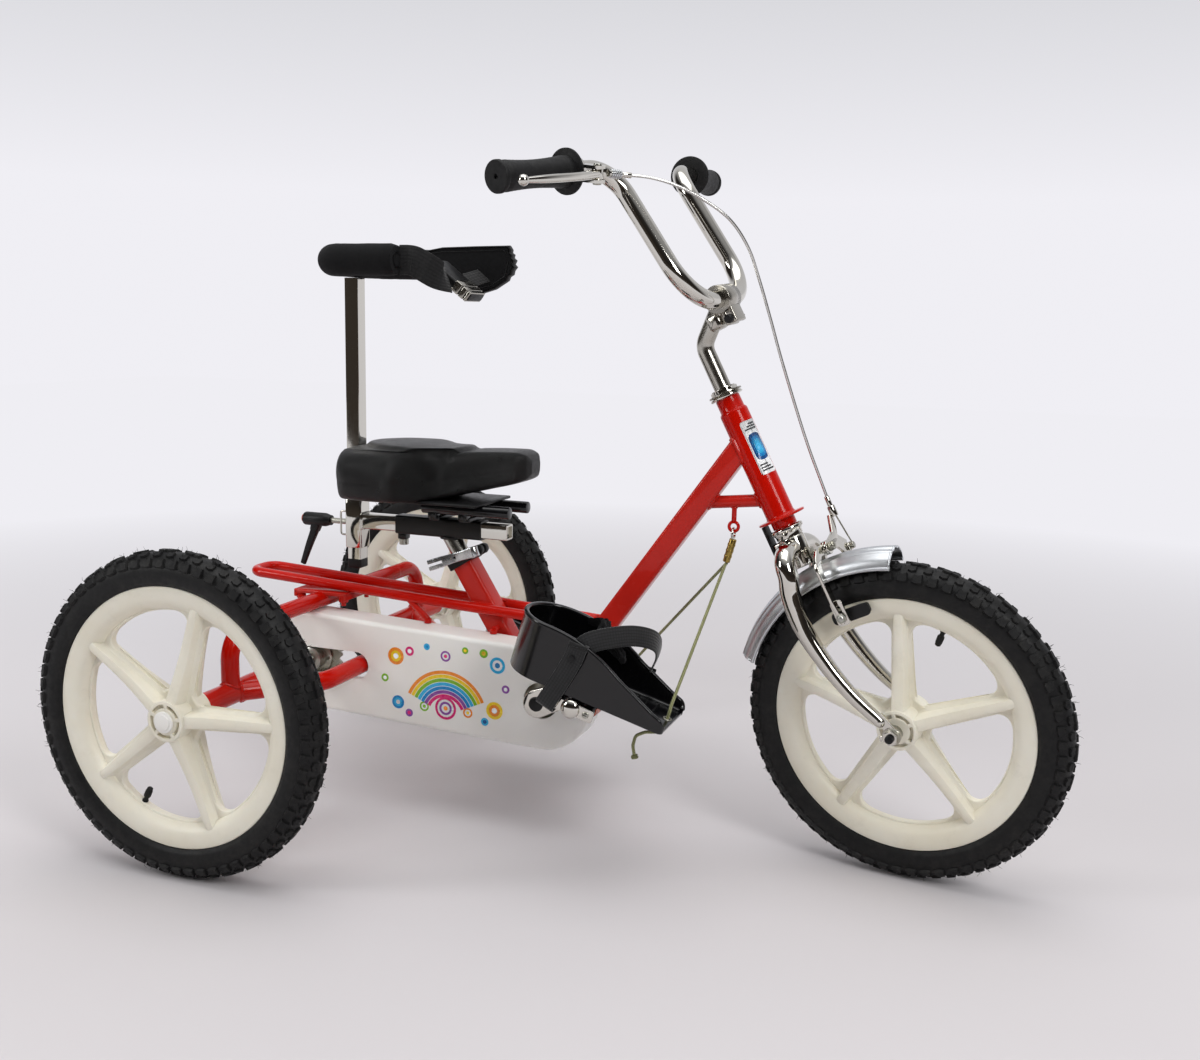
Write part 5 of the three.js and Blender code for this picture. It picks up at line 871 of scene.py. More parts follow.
def bead(build, outline, u, v, axis, centre, target, size=2.3, material=None, ripples=26):
    """Weld bead where a bar of that outline meets a cylinder ('tube', point, axis, radius) or a plane."""
    u, v, axis, centre = (np.array(k, float) for k in (u, v, axis, centre))
    path = []
    for a, b in outline:
        base = centre + u * a + v * b
        if target[0] == "tube":
            p, n, radius = np.array(target[1], float), unit(np.array(target[2], float)), target[3]
            w = base - p
            w = w - n * (w @ n)
            g = axis - n * (axis @ n)
            aa, bb, cc = float(g @ g), float(w @ g), float(w @ w) - radius * radius
            under = bb * bb - aa * cc
            s = (-bb - math.sqrt(under)) / aa if under > 0 else -bb / aa
        else:
            p, n = np.array(target[1], float), np.array(target[2], float)
            s = float((p - base) @ n) / float(axis @ n)
        path.append(base + axis * s)
    fine = []
    for i, p in enumerate(path):
        q = path[(i + 1) % len(path)]
        fine += [p + (q - p) * t for t in ((0, 0.5) if np.linalg.norm(q - p) > 2.5 else (0,))]
    build.sweep(fine, circle(size, 8), material or RED, closed=True, hint=tuple(axis),
                size=lambda t: 1 + 0.1 * math.sin(2 * math.pi * ripples * t))


def frame_of(axis):
    axis = unit(np.array(axis, float))
    u = unit(np.cross(axis, V(0, 1, 0) if abs(axis[1]) < 0.9 else V(1, 0, 0)))
    return u, np.cross(axis, u), axis


print("a bead ripples 26 times round a tube")


# %% [markdown]
# ## Layout
# A frame builder starts from a few lines: the axle, the bracket, the lean of the seat tube and the rake of the
# head tube. Everything forward of the head tube turns about one raked axis, and in the picture it is turned by
# 10.5 degrees. That turn is kept in one matrix, so each steered piece is made straight and placed once.

# %% Axes and angles of the tricycle
deg = math.radians
AXLE = V(0, 0, 201.5)
TRACK = 340
HEAD, TURN, RAKE = deg(27.3), deg(10.5), 37
FRONT_Z = 174.5 * math.sqrt(1 - (math.sin(TURN) * math.sin(HEAD)) ** 2) + 27
ORIGIN = V(806 - RAKE * math.cos(TURN) * math.cos(HEAD), 0, FRONT_Z - RAKE * math.cos(TURN) * math.sin(HEAD))
ON_HEAD = Matrix.Translation(Vector(ORIGIN)) @ Matrix.Rotation(-HEAD, 4, "Y")
STEER = ON_HEAD @ Matrix.Rotation(-TURN, 4, "Z")
BRACKET = V(350, 0, 186)
LEAN = deg(32.2)
SEAT_AXIS = V(-math.sin(LEAN), 0, math.cos(LEAN))
SEAT_FORWARD = V(math.cos(LEAN), 0, math.sin(LEAN))
SEAT_TOP = V(204.6, 0, 352.6)
FALL = deg(3.1)


def on_head(z):
    return V(-math.sin(HEAD) * z, 0, math.cos(HEAD) * z) + ORIGIN


def on_seat(d):
    return SEAT_TOP + SEAT_AXIS * d


def rail_z(x):
    return 302.6 - x * math.tan(FALL)


# %% [markdown]
# ## Elastic cords
# Two elastic cords run from an eye under the gusset to the toes of the footplates and keep the toes up. They
# are braided rubber 4 mm thick, pulled tight, with a knot under each toe.

# %% Cords and their knots
CORDS = {
    "right": [(573.6, -2.6, 375.5), (551.5, -147, 229), (550.8, -150, 222.4), (545.2, -150, 203), (536, -150, 195),
              (521, -150, 193), (509, -150, 187), (506, -150, 174), (509, -150, 158)],
    "left": [(573.6, 2.6, 375.5), (368, 147.5, 149.5), (366.4, 150, 144.9), (360.8, 150, 125.7), (352, 150, 118),
             (340, 150, 114)],
}
for label, route in CORDS.items():
    path = bent(route, 9, 12)
    lengths = [float(np.linalg.norm(b - a)) for a, b in zip(path, path[1:])]
    cord = Build()
    fine = [path[0]]
    for a, b in zip(path, path[1:]):
        count = max(1, int(np.linalg.norm(b - a) / 12))
        fine += [a + (b - a) * (k + 1) / count for k in range(count)]
    cord.tube(fine, 2.0, ELASTIC, 14, uv=True)
    knot = Build()
    tip, way = path[-1], unit(path[-1] - path[-2])
    u, v, w = frame_of(way)
    knot_path = []
    for k in range(26):
        t = 2 * math.pi * k / 26
        knot_path.append(tip - way * 3 + u * (2.3 * math.cos(t) + 1.1 * math.cos(2 * t))
                         + v * (2.3 * math.sin(t) - 1.1 * math.sin(2 * t)) + way * 1.5 * math.sin(3 * t))
    knot.tube(knot_path, 1.7, ELASTIC, 10, closed=True, uv=False)
    cord_piece = cord.make("cord_" + label, "frame", ["elastic_cord_" + label], "elastic")
    knot_piece = knot.make("cord_knot_" + label, "frame", (), "elastic")

# %% [markdown]
# ## Wheels
# Each wheel is one moulding: a rim, a thin web with five windows, five spokes of a ridged section, and a hub
# with a ring groove. Modelling the windows by hand, face by face, would leave uneven edges. So the rim and
# hub are turned, the web is a disc from which the windows are cut, and a bevel rounds the cut edges as the
# mould does.

# %% Rounded corners of a window


def quadratic(a, b, c, steps):
    return [(1 - k / steps) ** 2 * np.array(a) + 2 * (k / steps) * (1 - k / steps) * np.array(b)
        + (k / steps) ** 2 * np.array(c)
            for k in range(steps + 1)]


print("a rounded corner:", len(quadratic((0, 0), (5, 0), (5, 5), 12)), "points")

# %% Window between two spokes
SPOKE_PITCH = 2 * math.pi / 5


def wheel_window():
    """Outline of the opening between two spokes, in the plane of the wheel."""
    outer, inner = 129.0, 34.0
    outer_angle = SPOKE_PITCH / 2 - math.asin(11 / outer)
    inner_angle = SPOKE_PITCH / 2 - math.asin(11 / inner)

    def polar(r, a):
        return np.array([r * math.cos(a), r * math.sin(a)])

    corner_out, corner_in = polar(outer, outer_angle), polar(inner, inner_angle)
    along = unit(corner_in - corner_out)
    arc_angle = outer_angle - 22 / outer
    half_edge = [polar(outer, arc_angle * k / 14) for k in range(15)]
    half_edge += quadratic(polar(outer, arc_angle), corner_out, corner_out + along * 24, 12)[1:]
    half_edge += quadratic(corner_in - along * 12, corner_in, np.array([inner * math.cos(inner_angle / 2), 0]), 10)
    window = [(p[0], p[1]) for p in half_edge] + [(p[0], -p[1]) for p in half_edge[-2:0:-1]]
    return window


print("window:", len(wheel_window()), "points")

# %% Web with its five windows


def wheel_web(name, body, matrix, phase):
    window = wheel_window()
    disc_edge = [(137 * math.cos(2 * math.pi * k / 120), 137 * math.sin(2 * math.pi * k / 120)) for k in range(120)]
    disc = Build(matrix)
    disc.slab(disc_edge, -4.6, 4.6, CREAM)
    cutters = []
    for i in range(5):
        a = phase + SPOKE_PITCH * (i + 0.5)
        cutter = Build(matrix)
        cutter.slab([(x * math.cos(a) - z * math.sin(a), x * math.sin(a) + z * math.cos(a)) for x, z in window],
            -9, 9, CREAM)
        cutters.append((cutter, "DIFFERENCE"))
    middle = Build(matrix)
    middle.lathe([(0, -9), (20, -9), (20, 9), (0, 9)], CREAM, 40)
    web_mesh = carved(disc, *cutters, (middle, "DIFFERENCE"))
    finish_piece(name + "_web", web_mesh, body, (), 34, 1.7)


print("web: 9.2 mm thick")

# %% Ridged spokes


def spokes(b, half, phase):
    for i in range(5):
        turn = phase + SPOKE_PITCH * i
        m = Matrix.Rotation(-turn, 4, "Y")
        for face in (-1, 1):
            rings = []
            for k in range(19):
                t = k / 18
                r = 21 + (141.5 - 21) * t
                top = (half - 2) * (1 - t) + 16.2 * t - 3.4 * math.sin(math.pi * min(1, t * 1.08))
                if t > 0.95:
                    top -= 1.6 * (t - 0.95) / 0.05
                width = 8.6 - 2.4 * t
                foot = width + 3.8 * (1 - 0.4 * t)
                shape = [(-foot - 2.6, 3.4), (-foot, 4.4), (-width - 0.6, 6.6), (-width * 0.96, top - 3.2),
                    (-width * 0.8, top - 1.1), (-width * 0.45, top - 0.2), (0, top + 0.15)]
                shape += [(-a, c) for a, c in reversed(shape[:-1])]
                rings.append([(r, face * c, a) for a, c in shape])
            b.loft(rings, CREAM, None, m)
        for face in (-1, 1):
            b.block((15.6, face * (half - 3.1) - 3, -2.3), (21.3, face * (half - 3.1) + 3, 2.3), CREAM, 0.4,
                    Matrix.Rotation(-(turn + 0.18), 4, "Y"))


print("spokes: 5 on each face")

# %% Rim, hub and the whole moulding


def wheel(name, body, solid, matrix, hub_width, bore, phase):
    b = Build(matrix)
    half = hub_width / 2
    side = [(131.5, 4.6), (132.3, 7.6), (134.5, 11), (137.6, 13.9), (141, 15.7), (144.5, 16.7), (158.4, 18.0),
        (159.6, 17.6), (160, 16.9), (160, 14), (147, 14)]
    b.lathe([(r, -y) for r, y in side] + [(r, y) for r, y in reversed(side)], CREAM, 120)
    b.lathe([(bore, -half), (16.0, -half), (16.3, 0.4 - half), (16.3, 6 - half), (20.7, 6 - half), (20.7, 0.4 - half),
             (21.0, -half), (23.6, -half), (24.7, 0.6 - half), (25, 2 - half), (25, half - 2), (24.7, half - 0.6),
             (23.6, half), (21, half), (20.7, half - 0.4), (20.7, half - 6), (16.3, half - 6), (16.3, half - 0.4),
             (16.0, half), (bore, half)], CREAM, 80)
    wheel_web(name, body, matrix, phase)
    spokes(b, half, phase)
    return b.make(name, body, [solid], "cream_plastic", 34)


print("rim: 320 mm across")

# %% [markdown]
# ## Tyres
# The tyres have knobs in rows: large ones on the shoulders, smaller ones beside the middle and a broken row
# along it, on a round casing with a few fine lines on its flanks. A displacement map would need millions of
# faces, so each knob is its own small block, pressed onto the casing's curve. New tyres keep thin rubber
# hairs from the vents of their mould, which break up the outline, and they are drawn at random with a fixed
# seed.

# %% Casing
FLESH = 23.5


def skin(theta, phi, height):
    r = 174.5 + (FLESH + height) * math.cos(phi)
    return (r * math.cos(theta), (FLESH + height) * math.sin(phi), r * math.sin(theta))


def tyre_casing(b):
    seat = math.acos((160.6 - 174.5) / FLESH)
    profile = [(147.5, -13.6), (158.8, -13.6)]
    for k in range(61):
        phi = -seat + 2 * seat * k / 60
        degrees = abs(math.degrees(phi))
        rise = 0.55 * math.exp(-((degrees - 112) / 2.2) ** 2) + 0.35 * math.exp(-((degrees - 74) / 1.8) ** 2)
        if degrees < 62:
            rise += 0.35
        profile.append((174.5 + (FLESH + rise) * math.cos(phi), (FLESH + rise) * math.sin(phi)))
    profile += [(158.8, 13.6), (147.5, 13.6)]
    b.lathe(profile, TYRE_SIDE, 132)


print(f"tyre: {2 * (174.5 + FLESH):.0f} mm across the casing")

# %% Knobs


def knob(b, theta, phi, outline, height, spread=1.16):
    radius = 174.5 + FLESH * math.cos(phi)
    low, high = [], []
    for t, p in outline:
        low.append(skin(theta + t * spread / radius, phi + p * spread / FLESH, -0.4))
        high.append(skin(theta + t / radius, phi + p / FLESH, height))
    top_ring = [skin(theta + t * 0.84 / radius, phi + p * 0.84 / FLESH, height + 0.02) for t, p in outline]
    mids = [skin(theta + t * 0.97 / radius, phi + p * 0.97 / FLESH, height - 0.35) for t, p in outline]
    b.loft([low, mids, [tuple((np.array(x) + np.array(y)) / 2) for x, y in zip(high, top_ring)]], TYRE)


def tread(b):
    count = 66
    step = 2 * math.pi / count
    shoulder = [(-6.2, -4.6), (-2.2, -5.6), (2.2, -5.6), (6.2, -4.6), (4.6, 4.8), (0, 2.6), (-4.6, 4.8)]
    middle = [(-4.2, -3.6), (0, -2.2), (4.2, -3.6), (4.8, 2.8), (0, 4.4), (-4.8, 2.8)]
    heart = [(-5, -3.4), (-1.4, -3.9), (5, -2.2), (5, 3.4), (1.4, 3.9), (-5, 2.2)]
    for i in range(count):
        theta = step * i
        wobble = rng.uniform(-0.12, 0.12)
        for side in (-1, 1):
            flip = [(t, -side * p) for t, p in shoulder]
            knob(b, theta + step * (0.25 if side > 0 else 0.75), side * deg(56),
                flip if side > 0 else list(reversed(flip)), 3.4 + wobble)
            turned = [(t, side * p) for t, p in middle]
            knob(b, theta + step * (0.75 if side > 0 else 0.25), side * deg(27), turned, 3.2 + wobble)
        knob(b, theta + step * 0.25 * (1 if i % 2 else 3), 0, heart, 3.2)


print("tread: 66 steps of 5 knobs")

# %% Vent hairs


def vent_hairs(b, matrix):
    for i in range(230):
        theta = rng.uniform(0, 2 * math.pi)
        phi = rng.choice((-1, 1)) * rng.choice((deg(rng.uniform(38, 64)), deg(rng.uniform(8, 34))))
        base = np.array(skin(theta, phi, 1.6))
        way = unit(np.array(skin(theta, phi, 10)) - np.array(skin(theta, phi, 0)))
        length = rng.uniform(3.5, 7.5)
        lean = V(rng.uniform(-0.5, 0.5), rng.uniform(-0.5, 0.5), rng.uniform(-0.5, 0.5))
        mid, tip = base + way * length * 0.5, base + unit(way + lean) * length
        if min((matrix @ Vector(tip)).z, (matrix @ Vector(mid)).z) < 2.5:
            continue
        b.sweep([base, mid, tip], circle(0.36, 4), TYRE, size=lambda t: 1 - 0.6 * t, hint=(0.1, 1, 0.2))


print("hairs: up to 230 on each tyre")

# %% Valve: a rubber stem with a ribbed cap


def valve(b, valve_angle):
    way = V(math.cos(valve_angle), 0, math.sin(valve_angle))
    stations = [(148, 3.6), (130, 3.6), (127.5, 3.9), (127, 2.9), (122.6, 2.8), (122.2, 3.9), (121.4, 4.2),
        (112.6, 3.9), (109.8, 3.5), (108.8, 2.4)]
    sizes = [s / 3.6 for _, s in stations]
    b.sweep([way * r for r, _ in stations], circle(3.6, 20), TYRE_SIDE,
        size=lambda t: sizes[round(t * (len(sizes) - 1))])
    for k in range(12):
        turn = 2 * math.pi * k / 12
        across = V(-math.sin(valve_angle), 0, math.cos(valve_angle)) * math.cos(turn) + V(0, 1, 0) * math.sin(turn)
        b.rod(way * 121 + across * 3.9, way * 112.8 + across * 3.7, 0.5, TYRE_SIDE, 6, 0.1)


print("valve: 40 mm long")

# %% Whole tyre and hub cap


def tyre(name, body, solid, matrix, valve_angle):
    b = Build(matrix)
    tyre_casing(b)
    tread(b)
    vent_hairs(b, matrix)
    valve(b, valve_angle)
    return b.make(name, body, [solid], "tyre", 36)


def hub_cap(name, body, solid, matrix):
    b = Build(matrix)
    b.lathe([(0, -28.3), (12.6, -28.3), (13, -28.8), (13, -30.4), (12.4, -31.0), (9.8, -31.5), (9.4, -32.3),
        (6, -33.2), (0, -33.6)], WHITE, 56)
    return b.make(name, body, [solid], "white_plastic", 30)


print("hub cap: 26 mm across")

# %% Place the three wheels
PLACE = {
    "right": Matrix.Translation((0, -TRACK, AXLE[2])),
    "left": Matrix.Translation((0, TRACK, AXLE[2])) @ Matrix.Scale(-1, 4, (0, 1, 0)),
}
for label, matrix in PLACE.items():
    wheel("wheel_" + label, label + "_wheel", "wheel_rear_" + label, matrix, 56, 8.8, deg(2.7))
    tyre("tyre_" + label, label + "_wheel", "tyre_rear_" + label, matrix, deg(244))
    hub_cap("cap_" + label, label + "_wheel", "hub_cap_" + label, matrix)
FRONT = STEER @ Matrix.Translation((RAKE, 0, 0))
wheel("wheel_steered", "front_wheel", "wheel_front", FRONT, 68, 5.1, deg(66.7))
tyre("tyre_steered", "front_wheel", "tyre_front", FRONT, deg(44))

# %% [markdown]
# ## Rear axle
# One zinc-plated bar joins the rear wheels and carries the sprocket inside the case, and two nylon bearings
# hold it in the frame's housings. Round parts are turned from a profile, as on a lathe. The chain and the
# chainring are hidden in the case, so their solids stay as they are and only get a metal finish.

# %% Axle bar
b = Build()
b.rod(V(0, -368, 201.5), V(0, 368, 201.5), 8.5, ZINC, 36, 0.8)
b.make("axle_bar", "right_wheel", ["rear_axle"], "zinc")

# %% Rear sprocket
b = Build()
teeth = []
for i in range(19):
    for share, r in ((0.02, 35.2), (0.14, 36.3), (0.32, 39.8), (0.42, 40.6), (0.58, 40.6), (0.68, 39.8),
        (0.86, 36.3), (0.98, 35.2)):
        a = 2 * math.pi * (i + share) / 19
        teeth.append((r * math.cos(a), r * math.sin(a)))
b.slab(teeth, -45.5, -42.5, ZINC, Matrix.Translation((0, 0, AXLE[2])), 0.4, 1)
b.lathe([(8.8, -66), (15.6, -66), (17, -65), (17, -58), (15.4, -57), (15.4, -50), (22, -49.5), (25, -48.2),
    (25, -40.2), (22, -39), (17, -38.5), (17, -23), (16.2, -22), (8.8, -22)], ZINC, 56, "Y",
    Matrix.Translation((0, 0, AXLE[2])))
for k in range(5):
    a = 2 * math.pi * k / 5
    b.hexagon(V(20.2 * math.cos(a), -50.6, 201.5 + 20.2 * math.sin(a)),
        V(20.2 * math.cos(a), -48, 201.5 + 20.2 * math.sin(a)), 2.6, ZINC)
b.make("drive_sprocket", "right_wheel", ["rear_sprocket"], "zinc")

# %% Axle bearings
for label, s in (("right", -1), ("left", 1)):
    b = Build()
    b.lathe([(8.8, s * 295.4), (10.2, s * 295.4), (10.2, s * 303.7), (13.6, s * 303.7), (14.5, s * 304.4),
        (14.5, s * 310.6), (13.6, s * 311.4), (11.4, s * 311.4), (11, s * 310.4), (8.8, s * 310.4)], WHITE, 48,
        "Y", Matrix.Translation((0, 0, AXLE[2])))
    b.make("bearing_" + label, "frame", ["axle_bearing_" + label], "white_plastic")

# %% Metal finish for the chain, the chainring and the spindle
paint("chain", ZINC)
paint("chainring", ZINC)
paint("crank_spindle", ZINC)

# %% [markdown]
# ## Rear subframe
# The rear subframe is welded from two axle housings, an arch and a bridging tube bent forward, with a clamp
# plate on top. Its look comes from even tube bends and from the weld beads at the joints. The tubes are swept
# along bent paths, and a bead follows the line where a tube meets a housing, worked out from the two shapes.

# %% Housings, arch and bridging tube
b = Build()
for s in (-1, 1):
    b.lathe([(10.6, s * 150), (13.9, s * 150), (14.5, s * 150.6), (14.5, s * 302.6), (13.9, s * 303.3),
        (10.6, s * 303.3)], RED, 44, "Y", Matrix.Translation((0, 0, AXLE[2])))
ARCH_Z = 302.6 - 7 - 3 - 11.5
b.tube(bent([V(0, -242, 201.5), V(0, -242, ARCH_Z), V(0, 242, ARCH_Z), V(0, 242, 201.5)], 38, 4), 11.5, RED, 36)
b.tube(bent([V(0, -236, 201.5), V(78, -150, 201.5), V(78, 150, 201.5), V(0, 236, 201.5)], 50, 4), 12.5, RED, 36)
for s in (-1, 1):
    u, v, w = frame_of((0, 0, -1))
    bead(b, circle(11.5, 48), u, v, w, V(0, s * 242, 250), ("tube", AXLE, (0, 1, 0), 14.5))
    way = unit(V(-78, s * 86, 0))
    u, v, w = frame_of(way)
    bead(b, circle(12.5, 48), u, v, w, V(78, s * 150, 201.5) + way * 40, ("tube", AXLE, (0, 1, 0), 14.5))

# %% Clamp plate and its bolts
plate_top = 302.6 - 7 / math.cos(FALL) - 0.3 - 42 * math.tan(FALL)
b.block((-42, -38, plate_top - 5.5), (42, 38, plate_top), RED, 1.6)
b.block((-42, -38, ARCH_Z + 1), (-37, 38, plate_top - 2), RED, 1.2)
b.block((37, -38, ARCH_Z + 1), (42, 38, plate_top - 2), RED, 1.2)
b.block((-13, -37, ARCH_Z + 2), (13, 37, plate_top - 1), RED, 2)
for sx in (-1, 1):
    for sy in (-1, 1):
        x, y = sx * 34.5, sy * 30.5
        b.rod(V(x, y, plate_top - 1), V(x, y, ARCH_Z - 7), 3.4, RED, 20)
        b.hexagon(V(x, y, ARCH_Z + 5), V(x, y, ARCH_Z - 2), 5.8, RED, 0.8)
        b.rod(V(x, y, plate_top - 6.6), V(x, y, plate_top - 4.8), 7.4, RED, 28)
    b.sweep([V(sx * 12.4, -36 + 72 * k / 24, ARCH_Z + 6.5) for k in range(25)], circle(2.2, 8), RED,
            size=lambda t: 1 + 0.14 * math.sin(2 * math.pi * 15 * t))
b.make("rear_frame_tubes", "frame", ["rear_subframe"], "red_paint")

# %% [markdown]
# ## Main frame
# The main frame has a square down tube and seat tube, a loop of round bar as rails on both sides of the seat
# tube, a gusset under the head tube, and a bracket shell for the cranks. Real tubes are mitred and welded, and
# here they run into each other, since a bead hides the joint just as on the real frame.

# %% Down tube, seat tube and bracket shell
down_top = on_head(392)
down_axis = unit(down_top - BRACKET)
slope = down_axis[2] / down_axis[0]
nose_x = (302.6 - 186 + slope * 350) / (slope + math.tan(FALL))
NOSE = V(nose_x, 0, rail_z(nose_x))
b = Build()
b.sweep([BRACKET, down_top], box_section(28, 28, 4.6, 5), RED, (0, 1, 0))
b.sweep([on_seat(-214), on_seat(0.2)], box_section(30, 30, 4.6, 5), RED, (0, 1, 0))
b.lathe([(8.6, -34), (18.6, -34), (20.6, -33.4), (21, -32.6), (21, 32.6), (20.6, 33.4), (18.6, 34), (8.6, 34)],
    RED, 52, "Y", Matrix.Translation(Vector(BRACKET)))
b.lathe([(9, -35.5), (17.2, -35.5), (18.4, -34.6), (18.4, -33.5), (9, -33.5)], ZINC, 40, "Y",
    Matrix.Translation(Vector(BRACKET)))
b.lathe([(9, 33.5), (18.4, 33.5), (18.4, 34.6), (17.2, 35.5), (9, 35.5)], ZINC, 40, "Y",
    Matrix.Translation(Vector(BRACKET)))

# %% Rail loop
leg = {s: [V(NOSE[0], s * 17.5, NOSE[2]), V(204.6, s * 25, rail_z(204.6)), V(-121, s * 25, rail_z(-121))]
    for s in (-1, 1)}
b.tube(bent(leg[-1] + leg[1][::-1], [18, 18, 18, 18], 4), 7, RED, 30)

# %% Gusset and the eye of the cords
gusset_foot = down_top - down_axis * 100
gusset_head = on_head(311)
gusset_axis = unit(gusset_head - gusset_foot)
b.rod(gusset_foot, gusset_head, 8, RED, 32, 0)
eye_root = gusset_foot + (gusset_head - gusset_foot) * 0.48
EYE_Z = eye_root[2] - 32
b.rod(eye_root, V(eye_root[0], 0, EYE_Z + 7), 3.2, RED, 20)
b.ring((eye_root[0], 0, EYE_Z), 6, 2.1, RED, (0, 1, 0), 36, 14)

# %% Head tube
hz = [(14.0, 275.6), (15.1, 275.6), (15.5, 276.2), (15.5, 284.6), (16.4, 285.6), (29.2, 286), (30, 286.7),
    (30, 288.4), (29.2, 289), (19.6, 289.4), (18.4, 290.8), (18, 292.4), (18, 429), (17.7, 431), (16.2, 432.8),
    (15.6, 433.6), (15.5, 448.8), (15, 449.4), (14.0, 449.4)]
b.lathe(hz, RED, 64, "Z", ON_HEAD)

# %% Weld beads
bead(b, box_section(28.4, 28.4, 4.6, 4), *frame_of(down_axis), BRACKET + down_axis * 200,
    ("tube", on_head(0), unit(on_head(1) - on_head(0)), 18), 2.6)
u, v, w = frame_of(-down_axis)
bead(b, box_section(28.4, 28.4, 4.6, 4), u, v, w, BRACKET + down_axis * 60, ("tube", BRACKET, (0, 1, 0), 21), 2.6)
u, v, w = frame_of(-SEAT_AXIS)
bead(b, box_section(30.4, 30.4, 4.6, 4), u, v, w, on_seat(-140), ("tube", BRACKET, (0, 1, 0), 21), 2.6)
u, v, w = frame_of(gusset_axis)
bead(b, circle(8, 40), u, v, w, gusset_foot + gusset_axis * 14, ("tube", on_head(0), unit(on_head(1) - on_head(0)),
    18), 2.2)
u, v, w = frame_of(-gusset_axis)
face_normal = unit(np.cross(np.cross(down_axis, V(0, 0, 1)), down_axis))
face_normal = face_normal if face_normal[0] > 0 else -face_normal
bead(b, circle(8, 40), u, v, w, gusset_foot + gusset_axis * 60, ("plane", down_top + face_normal * 14,
    face_normal), 2.2)
u, v, w = frame_of((0, 0, 1))
bead(b, circle(3.3, 24), u, v, w, eye_root - V(0, 0, 20), ("plane", eye_root - V(0, 0, 7.6), (0, 0, 1)), 1.4)

# %% Fillet welds of the rails
# fillet welds of the rails on the seat tube and on the down tube
cross_x = 204.6 + (352.6 - 291) * math.tan(LEAN)
for s in (-1, 1):
    for up in (-1, 1):
        steps = 22
        path = []
        for k in range(steps + 1):
            x = cross_x - 19 + 38 * k / steps
            path.append(V(x, s * 16.6, rail_z(x) + up * 5.4))
        b.sweep(path, circle(2.3, 8), RED, size=lambda t: (1
            + 0.13 * math.sin(2 * math.pi * 9 * t)) * (1 - (2 * t - 1) ** 6))
        path = []
        for k in range(steps + 1):
            x = NOSE[0] - 24 + 34 * k / steps
            path.append(V(x, s * 14.6, rail_z(x) + up * 5.6))
        b.sweep(path, circle(2.3, 8), RED, size=lambda t: (1
            + 0.13 * math.sin(2 * math.pi * 9 * t)) * (1 - (2 * t - 1) ** 6))

# %% Lugs of the chain case
# lugs of the chain case, with their screws
CASE_SLOPE = math.atan2(186 - 201.5, 350)


def case_top(x):
    return 201.5 + x * math.tan(CASE_SLOPE) + 67.5 / math.cos(CASE_SLOPE)


def lug_end(x):
    return V(x, -27, case_top(x) + 5 / math.cos(CASE_SLOPE) + 0.3)


front_lug_x = 204.6 + (352.6 - case_top(350) - 5) * math.tan(LEAN)
for start, end in ((V(131, -25, rail_z(131)), lug_end(165)), (V(front_lug_x, 0, lug_end(front_lug_x)[2]),
    lug_end(front_lug_x))):
    b.rod(start, end, 4.4, RED, 20)
    b.rod(end + V(0, 0, 1.6), end - V(0, 0, 5), 5.2, RED, 28, 0.8)
b.make("main_frame_tubes", "frame", ["main_frame"], "red_paint")

# %% [markdown]
# ## Head tube label
# A small printed label of blue and white bands sits on the head tube. An image texture would need a picture
# file, so each field of colour is a patch of thin geometry bent to the tube's radius, and its ink is a glossy
# plastic film.

# %% Label inks
INK = {name: plastic("ink_" + name, code, code, 0.28, 0.03, 2.5, 0.3) for name, code in {
    "white": "#f2f3f4", "blue": "#1d86c9", "deep": "#16518f", "black": "#1f2326", "orange": "#f08a1d",
    "yellow": "#f4cf1c", "green": "#7fb92c", "magenta": "#d81e74", "purple": "#8b4aa3", "sky": "#36b0e3"}.items()}
print("inks:", len(INK))

# %% A thin patch on the head tube


def curved_patch(build, radius, a0, a1, z0, z1, ink, lift=0.0, cut=3.0):
    """One rounded field of the label, between two angles and two heights."""
    outline = rounded([(a0 * radius, z0), (a1 * radius, z0), (a1 * radius, z1), (a0 * radius, z1)], cut, 4, True)
    strips = 18
    s_low, s_high = min(p[0] for p in outline), max(p[0] for p in outline)
    for k in range(strips):
        s0, s1 = s_low + (s_high - s_low) * k / strips, s_low + (s_high - s_low) * (k + 1) / strips
        ends = []
        for s in (s0, s1):
            hits = []
            for i, p in enumerate(outline):
                q = outline[(i + 1) % len(outline)]
                if (p[0] - s) * (q[0] - s) <= 0 and abs(p[0] - q[0]) > 1e-9:
                    t = (s - p[0]) / (q[0] - p[0])
                    hits.append(p[1] + (q[1] - p[1]) * t)
            hits = hits or [(z0 + z1) / 2]
            ends.append((min(hits), max(hits)))
        rings = []
        for s, (lo, hi) in zip((s0, s1), ends):
            a = s / radius
            ring = []
            for r, z in ((radius + lift, lo), (radius + lift + 0.12, lo), (radius + lift + 0.12, hi),
                (radius + lift, hi)):
                ring.append((r * math.cos(a), r * math.sin(a), z))
            rings.append(ring)
        build.loft(rings, ink)

# %% Label of blue and white bands
b = Build(ON_HEAD)
middle = deg(-38)
curved_patch(b, 18.0, middle - deg(38), middle + deg(38), 344, 414, INK["white"], 0.02)
for k, ink in enumerate(("deep", "blue", "sky")):
    spread = 30 - 7 * k
    curved_patch(b, 18.0, middle - deg(spread), middle + deg(spread), 362 + 4 * k, 397 - 4 * k, INK[ink], 0.1
        + 0.06 * k, 8)
for k in range(3):
    curved_patch(b, 18.0, middle - deg(30), middle + deg(30 - 12 * k), 348 + 3.6 * k, 350 + 3.6 * k, INK["black"],
        0.1, 0.8)
    curved_patch(b, 18.0, middle - deg(30 - 12 * k), middle + deg(30), 402 + 3.2 * k, 403.8 + 3.2 * k,
        INK["black"], 0.1, 0.8)
b.make("head_badge", "frame", (), "red_paint")

